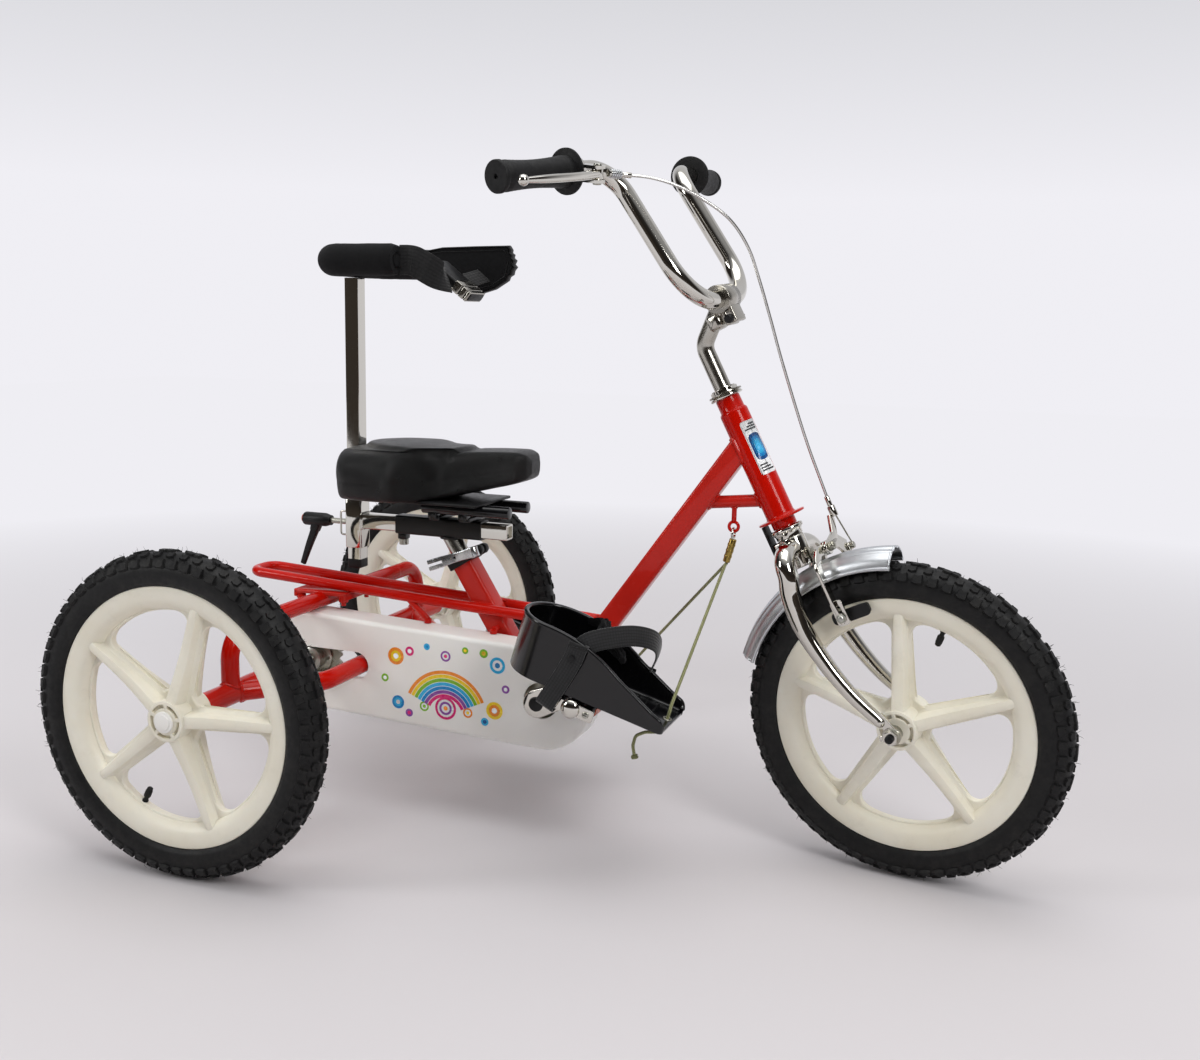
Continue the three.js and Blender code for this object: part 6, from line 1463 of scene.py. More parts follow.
# %% [markdown]
# ## Chain case
# The chain case is a white moulding, round at both ends, with a rounded front edge and a slot open to the
# rear. A hollow with openings is safest to carve: an outer shell, less an inner one, less the slot and the
# hole for the crank. A raised lip goes round the slot, and a narrow bevel softens the cut edges.

# %% Outlines of the case and its slot


def stadium(radius, y, half=26):
    ring = []
    for centre, start in ((AXLE, math.pi / 2), (BRACKET, -math.pi / 2)):
        for k in range(half + 1):
            t = CASE_SLOPE + start + math.pi * k / half
            ring.append((centre[0] + radius * math.cos(t), y, centre[2] + radius * math.sin(t)))
    return ring


def slot_outline(half, steps=16):
    return [(-75, -half)] + [(75 + half * math.cos(-math.pi / 2 + math.pi * k / steps),
        half * math.sin(-math.pi / 2 + math.pi * k / steps)) for k in range(steps + 1)] + [(-75, half)]

# %% Carved case
outer = Build()
rim = [(67.5, -22.0), (67.5, -59.5), (67.2, -61.6), (66.3, -63.4), (64.8, -64.9), (62.8, -65.8), (61, -66)]
outer.loft([stadium(r, y) for r, y in rim], WHITE)
inner = Build()
inner.loft([stadium(64.5, -18), stadium(64.5, -59), stadium(63.4, -61.6), stadium(61, -63)], WHITE)
slot = Build()
slot.slab(slot_outline(19), -72, -16, WHITE, Matrix.Translation((0, 0, AXLE[2])))
hole = Build()
hole.rod(V(350, -72, 186), V(350, -58, 186), 24, WHITE, 48, 0)
lip_ring = Build()
lip_path = [V(-60, -60, 201.5 - 20.5), V(75, -60, 201.5 - 20.5)]
lip_path += [V(75 + 20.5 * math.cos(a), -60, 201.5 + 20.5 * math.sin(a))
    for a in [-math.pi / 2 + math.pi * k / 16 for k in range(1, 17)]]
lip_path += [V(-60, -60, 201.5 + 20.5)]
lip_ring.sweep(lip_path, box_section(3, 11), WHITE, (0, 1, 0))
mesh = carved(outer, (inner, "DIFFERENCE"), (lip_ring, "UNION"), (slot, "DIFFERENCE"), (hole, "DIFFERENCE"))
finish_piece("chain_guard", mesh, "frame", ["chain_case"], 40, 0.7)

b = Build()


def disc(build, x, z, r0, r1, ink, lift, start=0.0, end=2 * math.pi, steps=40):
    ring = []
    count = max(6, int(steps * abs(end - start) / (2 * math.pi)))
    for k in range(count + 1):
        a = start + (end - start) * k / count
        inner_p = (x + r0 * math.cos(a), z + r0 * math.sin(a))
        outer_p = (x + r1 * math.cos(a), z + r1 * math.sin(a))
        ring.append((inner_p, outer_p))
    y0, y1 = -66.0, -66.0 - lift
    rings = [[(o[0], y0, o[1]), (o[0], y1, o[1]), (i[0], y1, i[1]), (i[0], y0, i[1])] for i, o in ring]
    build.loft(rings, ink, None, None, False)


def rosette(x, z, size, inks, lift=0.12):
    for k, name in enumerate(inks):
        disc(b, x, z, 0.0 if k == len(inks) - 1 else size * (1 - (k + 1) / len(inks)) * 0.96,
            size * (1 - k / len(inks)), INK[name], lift)

# %% Panel of bands, discs and rings
# three sweeping bands of colour, with plain discs and rings beside them
for k, name in enumerate(("orange", "yellow", "green", "sky", "blue", "purple", "magenta")):
    r = 62 - 5.4 * k
    disc(b, 212, 148, r - 4.6, r, INK[name], 0.14, deg(24), deg(156), 90)
for x, z, size, inks in (
    (137, 222, 13, ("orange", "yellow", "white")), (158, 231, 7, ("magenta", "white")), (288, 226, 12,
        ("sky", "white", "blue")),
    (268, 240, 6.5, ("green", "yellow")), (140, 158, 10, ("blue", "sky", "white")), (157, 145, 6,
        ("purple", "magenta")),
    (284, 164, 13, ("yellow", "orange", "white")), (270, 147, 6, ("sky", "deep")), (212, 158, 17,
        ("magenta", "white", "purple", "white", "orange")),
    (180, 157, 7.5, ("green", "white", "green")), (245, 156, 7.5, ("orange", "white", "yellow")), (212, 230, 8,
        ("purple", "white", "magenta")),
    (184, 240, 5, ("sky", "blue")), (241, 241, 5, ("green", "yellow")), (120, 190, 6, ("green", "white")), (300,
        195, 6, ("purple", "white")),
):
    rosette(x, z, size * 0.92, inks)
b.make("guard_panel", "frame", (), "white_plastic")

# %% [markdown]
# ## Cranks
# Each crank is a forged and chromed arm, wider at the bracket than at the pedal, with a shallow flute along its
# face. Its outline is two circles and the lines that touch both, made into a plate with rounded rims. The flute
# and the bore are cut away, and a black cap closes the bolt.

# %% Crank arms and caps
for label, s in (("right", 1), ("left", -1)):
    turn = -deg(22.8) if s > 0 else math.pi - deg(22.8)
    m = Matrix.Translation(Vector(BRACKET)) @ Matrix.Rotation(turn, 4, "Y")
    if s < 0:
        m = Matrix.Scale(-1, 4, (0, 1, 0)) @ m
    taper = math.asin((18.5 - 12) / 100)
    outline = [(18.5 * math.cos(a), 18.5 * math.sin(a)) for a in [math.pi / 2 - taper
        + (math.pi + 2 * taper) * k / 24 for k in range(25)]]
    outline += [(100 + 12 * math.cos(a), 12 * math.sin(a)) for a in [-math.pi / 2 - taper
        + (math.pi + 2 * taper) * k / 18 for k in range(19)]]
    arm = Build(m)
    arm.slab(outline, -82, -70, CHROME, None, 1.6, 4)
    arm.rod(V(100, -81, 0), V(100, -135, 0), 6, CHROME, 28)
    flute = Build(m)
    flute.slab([(24 + 5 - 5 * math.cos(a), 5 * math.sin(a)) for a in [-math.pi / 2 + math.pi * k / 10
        for k in range(11)]][::-1] + [(81 + 4.4 * math.cos(a), 4.4 * math.sin(a))
        for a in [-math.pi / 2 + math.pi * k / 10 for k in range(11)]], -86, -79.4, CHROME)
    bore = Build(m)
    bore.rod(V(0, -90, 0), V(0, -60, 0), 8.3, CHROME, 32, 0)
    mesh = carved(arm, (flute, "DIFFERENCE"), (bore, "DIFFERENCE"))
    finish_piece("crank_arm_" + label, mesh, "cranks", ["crank_" + label], 36, 0.5)
    nut = Build(m)
    nut.lathe([(0, -86.6), (5.2, -86.4), (8.4, -85.2), (9.6, -83.2), (9.8, -81.6), (0, -81.6)], BLACK, 40)
    nut.make("crank_cap_" + label, "cranks", (), "black_plastic")

# %% [markdown]
# ## Pedals, footplates and straps
# A footplate is a moulded shoe of glossy black plastic on a normal pedal: a sole, a wall round the heel and
# the sides, and a rolled rim. The wall's height changes along its length, which a plain extrusion can't do,
# so it is lofted from one upright section to the next along its plan. Straps are swept ribbons that touch
# what they wrap.

# %% Pedal


def pedal(label, m, body):
    b = Build(m)
    for y in (-109, -195):
        b.slab(rounded([(-29, -7.5), (29, -7.5), (29, 7.5), (-29, 7.5)], 3, 4, True), y, y + 4,
            CHROME if y < -150 else ZINC, None, 0.7)
    for x in (-19, 19):
        b.block((x - 6, -191.5, -7.5), (x + 6, -105.5, 7.5), BLACK, 1.6)
        for k in range(11):
            y = -186 + k * 7.6
            for z in (-7.9, 7.0):
                b.block((x - 5.4, y - 1.6, z), (x + 5.4, y + 1.6, z + 0.9), BLACK, 0.3)
        side = 1 if x > 0 else -1
        b.block((x + side * 5.6 - 0.8, -176, -4.8), (x + side * 5.6 + 1.6, -126, 4.8), AMBER, 0.5)
        b.block((x - 4, -165, 6), (x + 4, -135, 13.3), BLACK, 1.0)
    b.rod(V(0, -105, 0), V(0, -195, 0), 9, BLACK, 32)
    b.rod(V(0, -104.6, 0), V(0, -108.6, 0), 10.5, ZINC, 32, 0.8)
    b.lathe([(0, -201.4), (3, -201.2), (7, -200.2), (10, -198.4), (11.6, -196.4), (12, -194.6), (12, -193),
        (0, -193)], CHROME, 44)
    for x in (-20, 20):
        b.lathe([(0, -197.4), (2.4, -197.3), (3.8, -196.6), (4.3, -195.4), (4.3, -194.5), (0, -194.5)], ZINC, 24,
            "Y", Matrix.Translation((x, 0, 0)))
        b.block((x - 2.6, -197.6, -0.4), (x + 2.6, -197.3, 0.4), BLACK, 0.1)
    b.make("pedal_block_" + label, body, ["pedal_" + label], "black_plastic")


print("pedal: 90 mm wide")

# %% Height of the footplate's wall
SOLE_LOW, WALL_TALL, FOOT_MIDDLE, FOOT_HALF = 13.7, 85.7, -150, 45


def wall_top(u):
    if u < -55.55:
        return WALL_TALL
    if u < 45.2:
        lo, hi = 0.0, 1.0
        for _ in range(30):
            t = (lo + hi) / 2
            x = (1 - t) ** 2 * -55.55 + t * t * 45.2
            lo, hi = (t, hi) if x < u else (lo, t)
        return (1 - lo) ** 2 * WALL_TALL + 2 * lo * (1 - lo) * WALL_TALL + lo * lo * 57.7
    if u < 97:
        return 57.7 + (34 - 57.7) * (u - 45.2) / (97 - 45.2)
    t = min(1.0, (u - 97) / 16)
    return 34 - 5 * t - 7 * t ** 6


print(f"wall: {wall_top(-90):.0f} mm at the heel, {wall_top(97):.0f} mm before the toe")

# %% Wall with its rolled rim, and the sole


def footplate(label, m, body):
    toe = 7
    bend = [(113 - toe + toe * math.cos(deg(90) * k / 14), -FOOT_HALF + toe - toe * math.sin(deg(90) * k / 14))
        for k in range(15)]
    plan = bend + [(113 - toe - (169 - toe) * k / 36, -FOOT_HALF) for k in range(1, 36)]
    plan += [(-56 - FOOT_HALF * math.sin(math.pi * k / 36), -FOOT_HALF * math.cos(math.pi * k / 36))
        for k in range(37)]
    plan += [(x, -y) for x, y in reversed(bend + [(113 - toe - (169 - toe) * k / 36, -FOOT_HALF)
        for k in range(1, 36)])]
    rings = []
    for i, (u0, y0) in enumerate(plan):
        a, c = np.array(plan[max(0, i - 1)]), np.array(plan[min(len(plan) - 1, i + 1)])
        t = unit(c - a)
        n = np.array([t[1], -t[0]])
        height = wall_top(u0)
        roll = min(1.0, (height - SOLE_LOW - 4) / 12)
        shape = [(0.4, SOLE_LOW), (0, SOLE_LOW + 0.8), (0, height - 6 * roll), (-0.8, height - 4.4 * roll),
            (-1.2, height - 2.6 * roll), (-0.9, height - 1.0 * roll), (0.2, height), (1.9, height + 0.3),
            (3.8, height), (4.9, height - 1.0 * roll), (5.3, height - 2.6 * roll), (4.9, height - 4.4 * roll),
            (4.0, height - 6 * roll), (4.0, SOLE_LOW + 3.9 + 5.1 * roll), (4.6, SOLE_LOW + 3.9 + 2.3 * roll),
            (6.4, SOLE_LOW + 4.4), (9, SOLE_LOW + 3.9), (9, SOLE_LOW + 1)]
        rings.append([(u0 + n[0] * d, FOOT_MIDDLE + y0 + n[1] * d, z) for d, z in shape])
    b = Build(m)
    b.loft(rings, GLOSS_BLACK)
    sole = [(x - 0.6, y + 2) for x, y in reversed(bend)] + [(x - 0.6, -y - 2) for x,
        y in bend] + [(-56 - 43 * math.sin(math.pi * k / 32), 43 * math.cos(math.pi * k / 32)) for k in range(33)]
    flat = Matrix.Translation((0, FOOT_MIDDLE, 0)) @ Matrix.Rotation(math.pi / 2, 4, "X")
    plate = Build(m @ flat)
    plate.slab(sole, SOLE_LOW, SOLE_LOW + 4, GLOSS_BLACK, None, 0.6)
    cutter = Build(m)
    cutter.rod(V(105, FOOT_MIDDLE, 0), V(105, FOOT_MIDDLE, 40), 3.5, GLOSS_BLACK, 28, 0)
    sole_mesh = carved(plate, (cutter, "DIFFERENCE"))
    b.make("foot_cup_" + label, body, ["footplate_" + label], "black_plastic", 50)
    finish_piece("foot_sole_" + label, sole_mesh, body, (), 40, 0.4)


print("footplate:", 2 * FOOT_HALF, "mm wide")

# %% Ribs and screws of the sole


def sole_ribs(label, m, body):
    b = Build(m)
    for k in range(13):
        u0 = -78 + k * 13.5
        b.block((u0 - 1.1, FOOT_MIDDLE - 33, SOLE_LOW + 3.6), (u0 + 1.1, FOOT_MIDDLE + 33, SOLE_LOW + 4.7), BLACK, 0.4)
    b.ring((105, FOOT_MIDDLE, SOLE_LOW + 4.2), 4.7, 1.1, ZINC, (0, 0, 1), 32, 12)
    for x in (-30, 30):
        for y in (-25, 25):
            b.lathe([(0, 0), (4.6, 0), (4.2, 1.3), (2.4, 2), (0, 2.1)], ZINC, 24, "Z",
                Matrix.Translation((x, FOOT_MIDDLE + y, SOLE_LOW + 4)))
    b.make("foot_ribs_" + label, body, (), "black_plastic")


print("sole: 13 ribs, 4 screws")

# %% Instep strap: an arch from the inside of the near wall to the outside of the far one
NEAR, FAR = FOOT_MIDDLE - 46.3, FOOT_MIDDLE + 46.3


def instep_strap(b):
    path = [V(-12, NEAR + 6, 52), V(-10, NEAR + 6, 70), V(-2, NEAR + 8, 83), V(14, NEAR + 22, 92),
        V(34, FOOT_MIDDLE, 97), V(50, FOOT_MIDDLE + 20, 95), V(58, FAR - 8, 86), V(60, FAR + 2.0, 70),
        V(58, FAR + 2.4, 50)]
    b.sweep(spline(path, 64), box_section(2, 25, 0.8, 2), STRAP, (1, 0, 0), uv=True)
    b.block((50, FAR + 0.8, 38), (64, FAR + 2.6, 52), BLACK, 0.6)


print("instep strap: 25 mm wide")

# %% Heel strap: over the rim and down round the rear of the pedal


def heel_strap(b):
    heel = [V(-12, NEAR - 1.2, 75), V(-14, NEAR - 1.6, 56), V(-21, NEAR - 1.6, 28), V(-28, NEAR - 1.6, 4),
        V(-31.5, NEAR + 0.4, -8), V(-32, NEAR + 7, -12), V(-32, NEAR + 16, -10)]
    b.block((-24, NEAR - 2.4, 72), (0, NEAR + 8, 79.5), STRAP, 1.6)
    b.sweep(spline(heel, 70), box_section(2, 24, 0.8, 2), STRAP, (1, 0, 0), uv=True)
    b.rod(V(-15, NEAR - 1, 61), V(-15, NEAR - 4.6, 61), 4.2, BLACK, 28, 1.3)


print("heel strap: 24 mm wide")

# %% Fleece pad folded over the strap inside the wall


def fleece_pad(b):
    rings = []
    for k in range(49):
        v = k / 48
        body_share = math.sin(math.pi * min(0.97, max(0.03, v))) ** 0.35
        ring = []
        for q in range(40):
            a = 2 * math.pi * q / 40
            rag = 1 + 0.14 * math.sin(5 * a + 11 * v) + 0.1 * math.sin(11 * a - 23 * v) + 0.06 * math.sin(19 * a
                + 41 * v)
            ring.append((-30 + 62 * v + 5 * math.sin(9 * v) + 7 * rag * math.cos(a) * body_share,
                         FAR - 12 - 46 * v * v + 3 * math.sin(7 * v) + 9 * rag * math.cos(a + 1.1) * body_share,
                         82 - 10 * v + 5 * math.sin(5 * v) + 12 * rag * math.sin(a) * body_share))
        rings.append(ring)
    b.loft(rings, FOAM)


print("fleece pad: about 62 mm long")

# %% Both feet
for label, s in (("right", 1), ("left", -1)):
    reach = 100 * s
    m = Matrix.Translation((350 + reach * math.cos(deg(22.8)), 0, 186
        + reach * math.sin(deg(22.8)))) @ Matrix.Rotation(deg(16), 4, "Y")
    if s < 0:
        m = m @ Matrix.Scale(-1, 4, (0, 1, 0))
    body = label + "_pedal"
    pedal(label, m, body)
    footplate(label, m, body)
    sole_ribs(label, m, body)
    b = Build(m)
    instep_strap(b)
    heel_strap(b)
    fleece_pad(b)
    b.make("instep_strap_" + label, body, ["foot_strap_" + label], "webbing")

# %% [markdown]
# ## Headset, fork and front axle
# The fork is chromed: a steerer, a crown and two blades that taper and sweep forward to flat ends. A blade's
# line is given by a few points from the crown to the axle, and a tube along it gets thinner over its lower
# two thirds. The races, nuts and axle cones are turned parts and hexagons.

# %% Lower race
b = Build(ON_HEAD)
b.lathe([(13.05, 275.2), (18.4, 275.2), (20.2, 274.4), (21, 273.2), (21, 270.4), (20.4, 269.6), (19, 269.2),
    (17.4, 266.6), (17, 263.6), (17, 261.8), (13.05, 261.8)], CHROME, 64, "Z")
b.make("headset_cup", "frame", ["headset_race"], "chrome")

# %% Locknut
b = Build(STEER)
b.lathe([(12.8, 449.8), (19.6, 449.8), (20.6, 450.2), (21, 451), (20.9, 452.2), (20, 453), (17.6, 453.4),
    (17.2, 454.2), (12.8, 454.2)], CHROME, 64, "Z")
b.lathe([(12.8, 454.4), (20.6, 454.4), (21.4, 454.9), (21.4, 456.1), (20.6, 456.6), (12.8, 456.6)], DULL_CHROME,
    64, "Z")
b.lathe([(12.8, 456.8), (15.4, 456.8), (15.4, 462.2), (14.8, 462.4), (12.8, 462.4)], CHROME, 48, "Z")
b.hexagon(V(0, 0, 456.7), V(0, 0, 461.6), 15.0, CHROME, 0.9)
b.make("headset_nut", "steering", ["headset_locknut"], "chrome")

# %% Fork
BLADE_SHARES = [(0, .2, 1), (0, .66, .99), (0, .93, .95), (-.04, 1, .88), (-.22, 1, .8), (-.3, 1, .63),
    (-.08, 1, .43), (.3, 1, .245), (.81, 1, .085)]
b = Build(STEER)
b.lathe([(12.75, 221.6), (15.4, 221.8), (16.6, 223), (17, 225), (17, 258), (16.6, 260.4), (15.6, 261.3),
    (12.75, 261.3)], CHROME, 60, "Z")
b.rod(V(0, 0, 224), V(0, 0, 459.6), 12.7, CHROME, 48, 0.8)
for s in (-1, 1):
    path = spline([V(37 * r, s * 50 * w, 248 * h) for r, w, h in BLADE_SHARES], 64)
    lengths = np.cumsum([0] + [float(np.linalg.norm(path[i + 1] - path[i])) for i in range(len(path) - 1)])
    lengths = lengths / lengths[-1]

    def taper(t, lengths=lengths):
        share = float(np.interp(t, np.linspace(0, 1, len(lengths)), lengths))
        return 1 if share < 0.35 else 1 - (1 - 7.5 / 12.5) * (share - 0.35) / 0.65

    b.sweep(path, circle(12.5, 36), CHROME, (1, 0, 0), size=taper)
    end = path[-1]
    b.ball(end, 7.7, CHROME)
    # dropout: a flat forged end with a slot open downward and a small lug hole
    y = s * 50
    outline = [(end[0] - 6.4, end[2] + 9), (end[0] + 6.4, end[2] + 9)]
    outline += [(37 + 11 * math.cos(a), 11 * math.sin(a)) for a in [deg(50) - deg(290) * k / 24 for k in range(25)]]
    b.slab(outline, y - 2.5, y + 2.5, CHROME, None, 0.6)
b.block((-23.7, -7.5, 224), (0, 7.5, 260), CHROME, 3)
b.make("fork_tube", "steering", ["fork"], "chrome", 50)

# %% Front axle
b = Build(FRONT)
for s in (-1, 1):
    b.lathe([(0, s * 34), (6.65, s * 34.3), (9.5, s * 38.75), (9.5, s * 44.6), (8.4, s * 45.2), (8.4, s * 46.6),
        (9.5, s * 47.2), (0, s * 47.2)], ZINC, 36)
    b.lathe([(4.8, s * 52.8), (10.7, s * 52.8), (11.1, s * 53.2), (11.1, s * 54), (10.7, s * 54.4),
        (4.8, s * 54.4)], ZINC, 40)
    b.hexagon(V(0, s * 54.4, 0), V(0, s * 60.6, 0), 8.2, CHROME, 0.9)
    b.lathe([(0, s * 66), (3.6, s * 65.8), (5.0, s * 64.6), (5.3, s * 62.6), (5.3, s * 60.4), (0, s * 60.4)],
        BLACK, 32)
    b.block((-17, min(s * 48.6, s * 50.8), -3), (-6, max(s * 48.6, s * 50.8), 4), CHROME, 1)
    b.rod(V(0, s * 33, 0), V(0, s * 52.5, 0), 4.8, ZINC, 24, 0)
b.make("front_spindle", "steering", ["front_axle"], "zinc")

# %% [markdown]
# ## Stem, handlebar and grips
# The bar is one chromed tube, bent four times, in the clamp of a stem with a forward bend. The grips are
# moulded rubber with a flange at the inner end and a slight waist with fine rings. Both are round in section,
# so a swept path and a turned profile give them with few faces.

# %% Stem
b = Build(STEER)
b.tube(bent([V(0, 0, 350), V(0, 0, 520), V(49, 0, 560)], 22, 3), 10.9, DULL_CHROME, 44)
b.lathe([(11.2, -17), (16.7, -17), (17.5, -16.2), (17.5, 16.2), (16.7, 17), (11.2, 17)], DULL_CHROME, 56, "Y",
    Matrix.Translation((49, 0, 560)))
b.block((20, -12.6, 528), (40, 12.6, 549), DULL_CHROME, 6)
b.block((45, -14, 526.5), (51.2, 14, 548), DULL_CHROME, 1.8)
b.block((54.6, -14, 526.5), (61, 14, 548), DULL_CHROME, 1.8)
b.block((50, -13.2, 534), (56, 13.2, 546), DULL_CHROME, 0.6)
b.hexagon(V(53, 14, 533), V(53, 20.4, 533), 5.0, ZINC, 0.6)
b.lathe([(0, -20.5), (4.2, -20.5), (5.3, -19.4), (5.3, -14), (0, -14)], BLACK, 32, "Y",
    Matrix.Translation((53, 0, 533)))
b.rod(V(53, -14, 533), V(53, 14, 533), 3.2, ZINC, 20)
b.make("stem_casting", "steering", ["stem"], "chrome", 45)

# %% Handlebar
BAR = bent([V(-13, -265, 753), V(25, -85, 746), V(49, -83, 560), V(49, 83, 560), V(25, 85, 746), V(-13, 265, 753)],
    [42, 57, 57, 42], 3)
b = Build(STEER)
b.tube(BAR, 11, CHROME, 48)
b.make("bar_tube", "steering", ["handlebar"], "chrome", 60)

# %% Grips
for label, s in (("right", -1), ("left", 1)):
    side = unit(V(-13, s * 265, 753) - V(25, s * 85, 746))
    along = V(25, s * 85, 746) + side * ((157 - 85) / abs(side[1]))
    rest = float(np.linalg.norm(V(-13, s * 265, 753) - along))
    u, v, w = frame_of(side)
    towards = Matrix(((u[0], v[0], w[0], along[0]), (u[1], v[1], w[1], along[1]), (u[2], v[2], w[2], along[2]),
        (0, 0, 0, 1)))
    profile = [(11.3, 0), (25, 0), (26, 0.8), (26, 3.2), (25, 4), (19.6, 4.4), (18, 5.6), (18, 12)]
    steps = 16
    for k in range(steps):
        z = 13 + (rest - 20) * k / steps
        r = 17.5 - 2.1 * math.sin(math.pi * k / steps)
        profile += [(r, z), (r, z + (rest - 20) / steps * 0.5)]
    profile += [(15.6, rest - 5), (17.4, rest - 3.2), (18, rest - 2.2), (18, rest + 1.8), (17.2, rest + 2.8),
        (3.2, rest + 3), (2.6, rest + 2.4), (2.6, rest + 0.6), (0, rest + 0.6)]
    b = Build(STEER @ towards)
    b.lathe(profile, GRIP, 56, "Z")
    b.make("handgrip_" + label, "steering", ["grip_" + label], "rubber", 40)

# %% [markdown]
# ## Brake lever and cable
# The brake lever is a short chromed blade with a ball at its end, held by a band round the bar. It turns on the pin
# between two cheeks, so it is its own piece. The cable leaves the cheeks in a wide curve to the caliper, and is a thin
# tube along a smooth line, since its steel strand has no visible sag.

# %% Lever
bar_dir = unit(V(-13, -265, 753) - V(25, -85, 746))
pivot = V(40, -152, 729)
near = V(25, -85, 746) + bar_dir * float(np.dot(pivot - V(25, -85, 746), bar_dir))
to_bar = unit(near - pivot)
normal = unit(np.cross(bar_dir, to_bar))
LEVER = STEER @ Matrix(((bar_dir[0], to_bar[0], normal[0], pivot[0]), (bar_dir[1], to_bar[1], normal[1], pivot[1]),
                        (bar_dir[2], to_bar[2], normal[2], pivot[2]), (0, 0, 0, 1)))
b = Build(LEVER)
path = spline([V(0, 0, 0), V(16, -2.6, 0), V(33.5, -5.5, 0), V(50, -6.2, 0), V(67, -6.0, 0), V(94, -5, 0),
    V(121, -3, 0)], 44)
b.sweep(path, box_section(11.5, 9.4, 3.8, 5), CHROME, (0, 0, 1), size=lambda t: 1 - 0.42 * max(0.0,
    (t - 0.55) / 0.45) ** 2)
b.ball(V(121, -3, 0), 6.2, CHROME)
b.rod(V(0, 0, -6.5), V(0, 0, 6.5), 6.5, CHROME, 32, 1.2)
b.make("lever_blade", "brake_lever", ["brake_lever"], "chrome", 50)

# %% Clamp and cheeks
b = Build(STEER)
ring_end = V(25, -85, 746) + bar_dir * ((156.7 - 85) / abs(bar_dir[1]))
ring_start = ring_end - bar_dir * 16
u, v, w = frame_of(bar_dir)
around = Matrix(((u[0], v[0], w[0], ring_start[0]), (u[1], v[1], w[1], ring_start[1]),
    (u[2], v[2], w[2], ring_start[2]), (0, 0, 0, 1)))
b.lathe([(11.1, 0), (14.7, 0), (15.5, 0.8), (15.5, 15.2), (14.7, 16), (11.1, 16)], CHROME, 52, "Z", around)
local = Build(LEVER)
ring_mid = (ring_start + ring_end) / 2
reach = float(np.dot(ring_mid - pivot, to_bar))
shift = float(np.dot(ring_mid - pivot, bar_dir))
lift = float(np.dot(ring_mid - pivot, normal))
for z0, z1 in ((-9.6, -6.0), (6.0, 9.6)):
    outline = rounded([(-8.4, -7.4), (8.4, -7.4), (shift + 7.6, reach - 11), (shift - 7.6, reach - 11)], 5, 5, True)
    rings = [[(x, y, z) for x, y in outline] for z in (z0, z0 + 0.4, z1 - 0.4, z1)]
    local.loft(rings, CHROME)
local.rod(V(0, 0, -11), V(0, 0, 11), 3, ZINC, 24)
local.rod(V(0, 0, 9.6), V(0, 0, 11.8), 5, ZINC, 28, 0.8)
local.rod(V(0, 0, -9.6), V(0, 0, -11.8), 5, ZINC, 28, 0.8)
local.block((shift - 7, reach - 15, -9), (shift + 7, reach - 10.5, 9), CHROME, 1.6)
b.tube([V(46, -139, 727), V(49, -130, 725), V(51, -121, 723)], 4, CHROME, 24)
for k in range(5):
    p = V(47, -136, 726.2) + (V(51, -121, 723) - V(47, -136, 726.2)) * (k / 5)
    b.rod(p, p + unit(V(4, 15, -3.2)) * 2.2, 5.2, ALLOY, 26, 0.6)
b.make("clamp_band", "steering", ["lever_clamp"], "chrome", 45)
local.make("clamp_cheeks", "steering", (), "chrome", 45)

# %% Cable
ROUTE = [V(51, -121, 723), V(71, -96, 708.5), V(87.5, -76, 690), V(102, -55, 664.5), V(114, -36, 632),
    V(114, -20, 596), V(104.5, -6, 558.5), V(92.5, 4, 510), V(79.5, 13, 457), V(60, 29, 365.5), V(49, 42, 300),
    V(46, 45, 275.3)]
b = Build(STEER)
b.tube(spline(ROUTE, 110), 1.9, CABLE, 20)
b.rod(V(51, -121, 723), V(51, -121, 723) + unit(V(20, 25, -14.5)) * 13, 3.2, CHROME, 24, 0.8)
b.rod(V(46.4, 44.6, 288), V(46, 45, 272), 3.3, CHROME, 24, 0.8)
b.rod(V(46, 45, 273), V(46, 57, 231), 1.0, ZINC, 12)
b.rod(V(46, 57, 231), V(46, 60, 221), 0.9, ZINC, 12)
b.make("cable_housing", "steering", ["brake_cable"], "zinc", 60)

# %% [markdown]
# ## Mudguard and caliper
# The mudguard is rolled from thin aluminium with a ridge and two steps, and its long edges are rolled round a
# wire. One profile is turned through 69 degrees about the wheel's axle and closed on its inside, which is how
# the real one is made too. The caliper's arms are bent bar with slotted plates that hold the shoes.

# %% Mudguard
b = Build(STEER)
arches = [(-27, 197), (-26, 203), (-23.6, 208), (-19.4, 211.8), (-16.4, 213.6), (-14, 216.4), (-10.6, 217.6),
    (-8.4, 216.6), (-6.6, 217.4), (-3.6, 219.6), (0, 220)]
profile = arches + [(-y, r) for y, r in arches[-2::-1]]
fine = []
for i in range(len(profile) - 1):
    fine.append(profile[i])
    fine.append(((profile[i][0] + profile[i + 1][0]) / 2, (profile[i][1] + profile[i + 1][1]) / 2))
fine.append(profile[-1])
section = [(y, r) for y, r in fine] + [(y * 0.965, r - 1.7) for y, r in fine[::-1]]
rings = []
steps = 60
for k in range(steps + 1):
    a = deg(68 + 69 * k / steps)
    rings.append([(37 + r * math.cos(a), y, r * math.sin(a)) for y, r in section])
b.loft(rings, GUARD_ALLOY)
for s in (-1, 1):
    b.sweep([V(37 + 197.8 * math.cos(deg(68 + 69 * k / 40)), s * 26.2, 197.8 * math.sin(deg(68 + 69 * k / 40)))
        for k in range(41)], circle(2.3, 14), GUARD_ALLOY)
for a in (68.4, 136.6):
    b.sweep([V(37 + (r - 0.9) * math.cos(deg(a)), y, (r - 0.9) * math.sin(deg(a))) for y, r in fine],
        circle(1.3, 10), GUARD_ALLOY)
b.block((17.3, -7.5, 214), (19.1, 7.5, 239.5), ZINC, 0.5)
for y in (-4, 4):
    b.lathe([(0, 0), (3.4, 0), (3, 1.2), (0, 1.9)], ZINC, 22, "Z", Matrix.Translation((19.5 + 5, y, 217.6)))
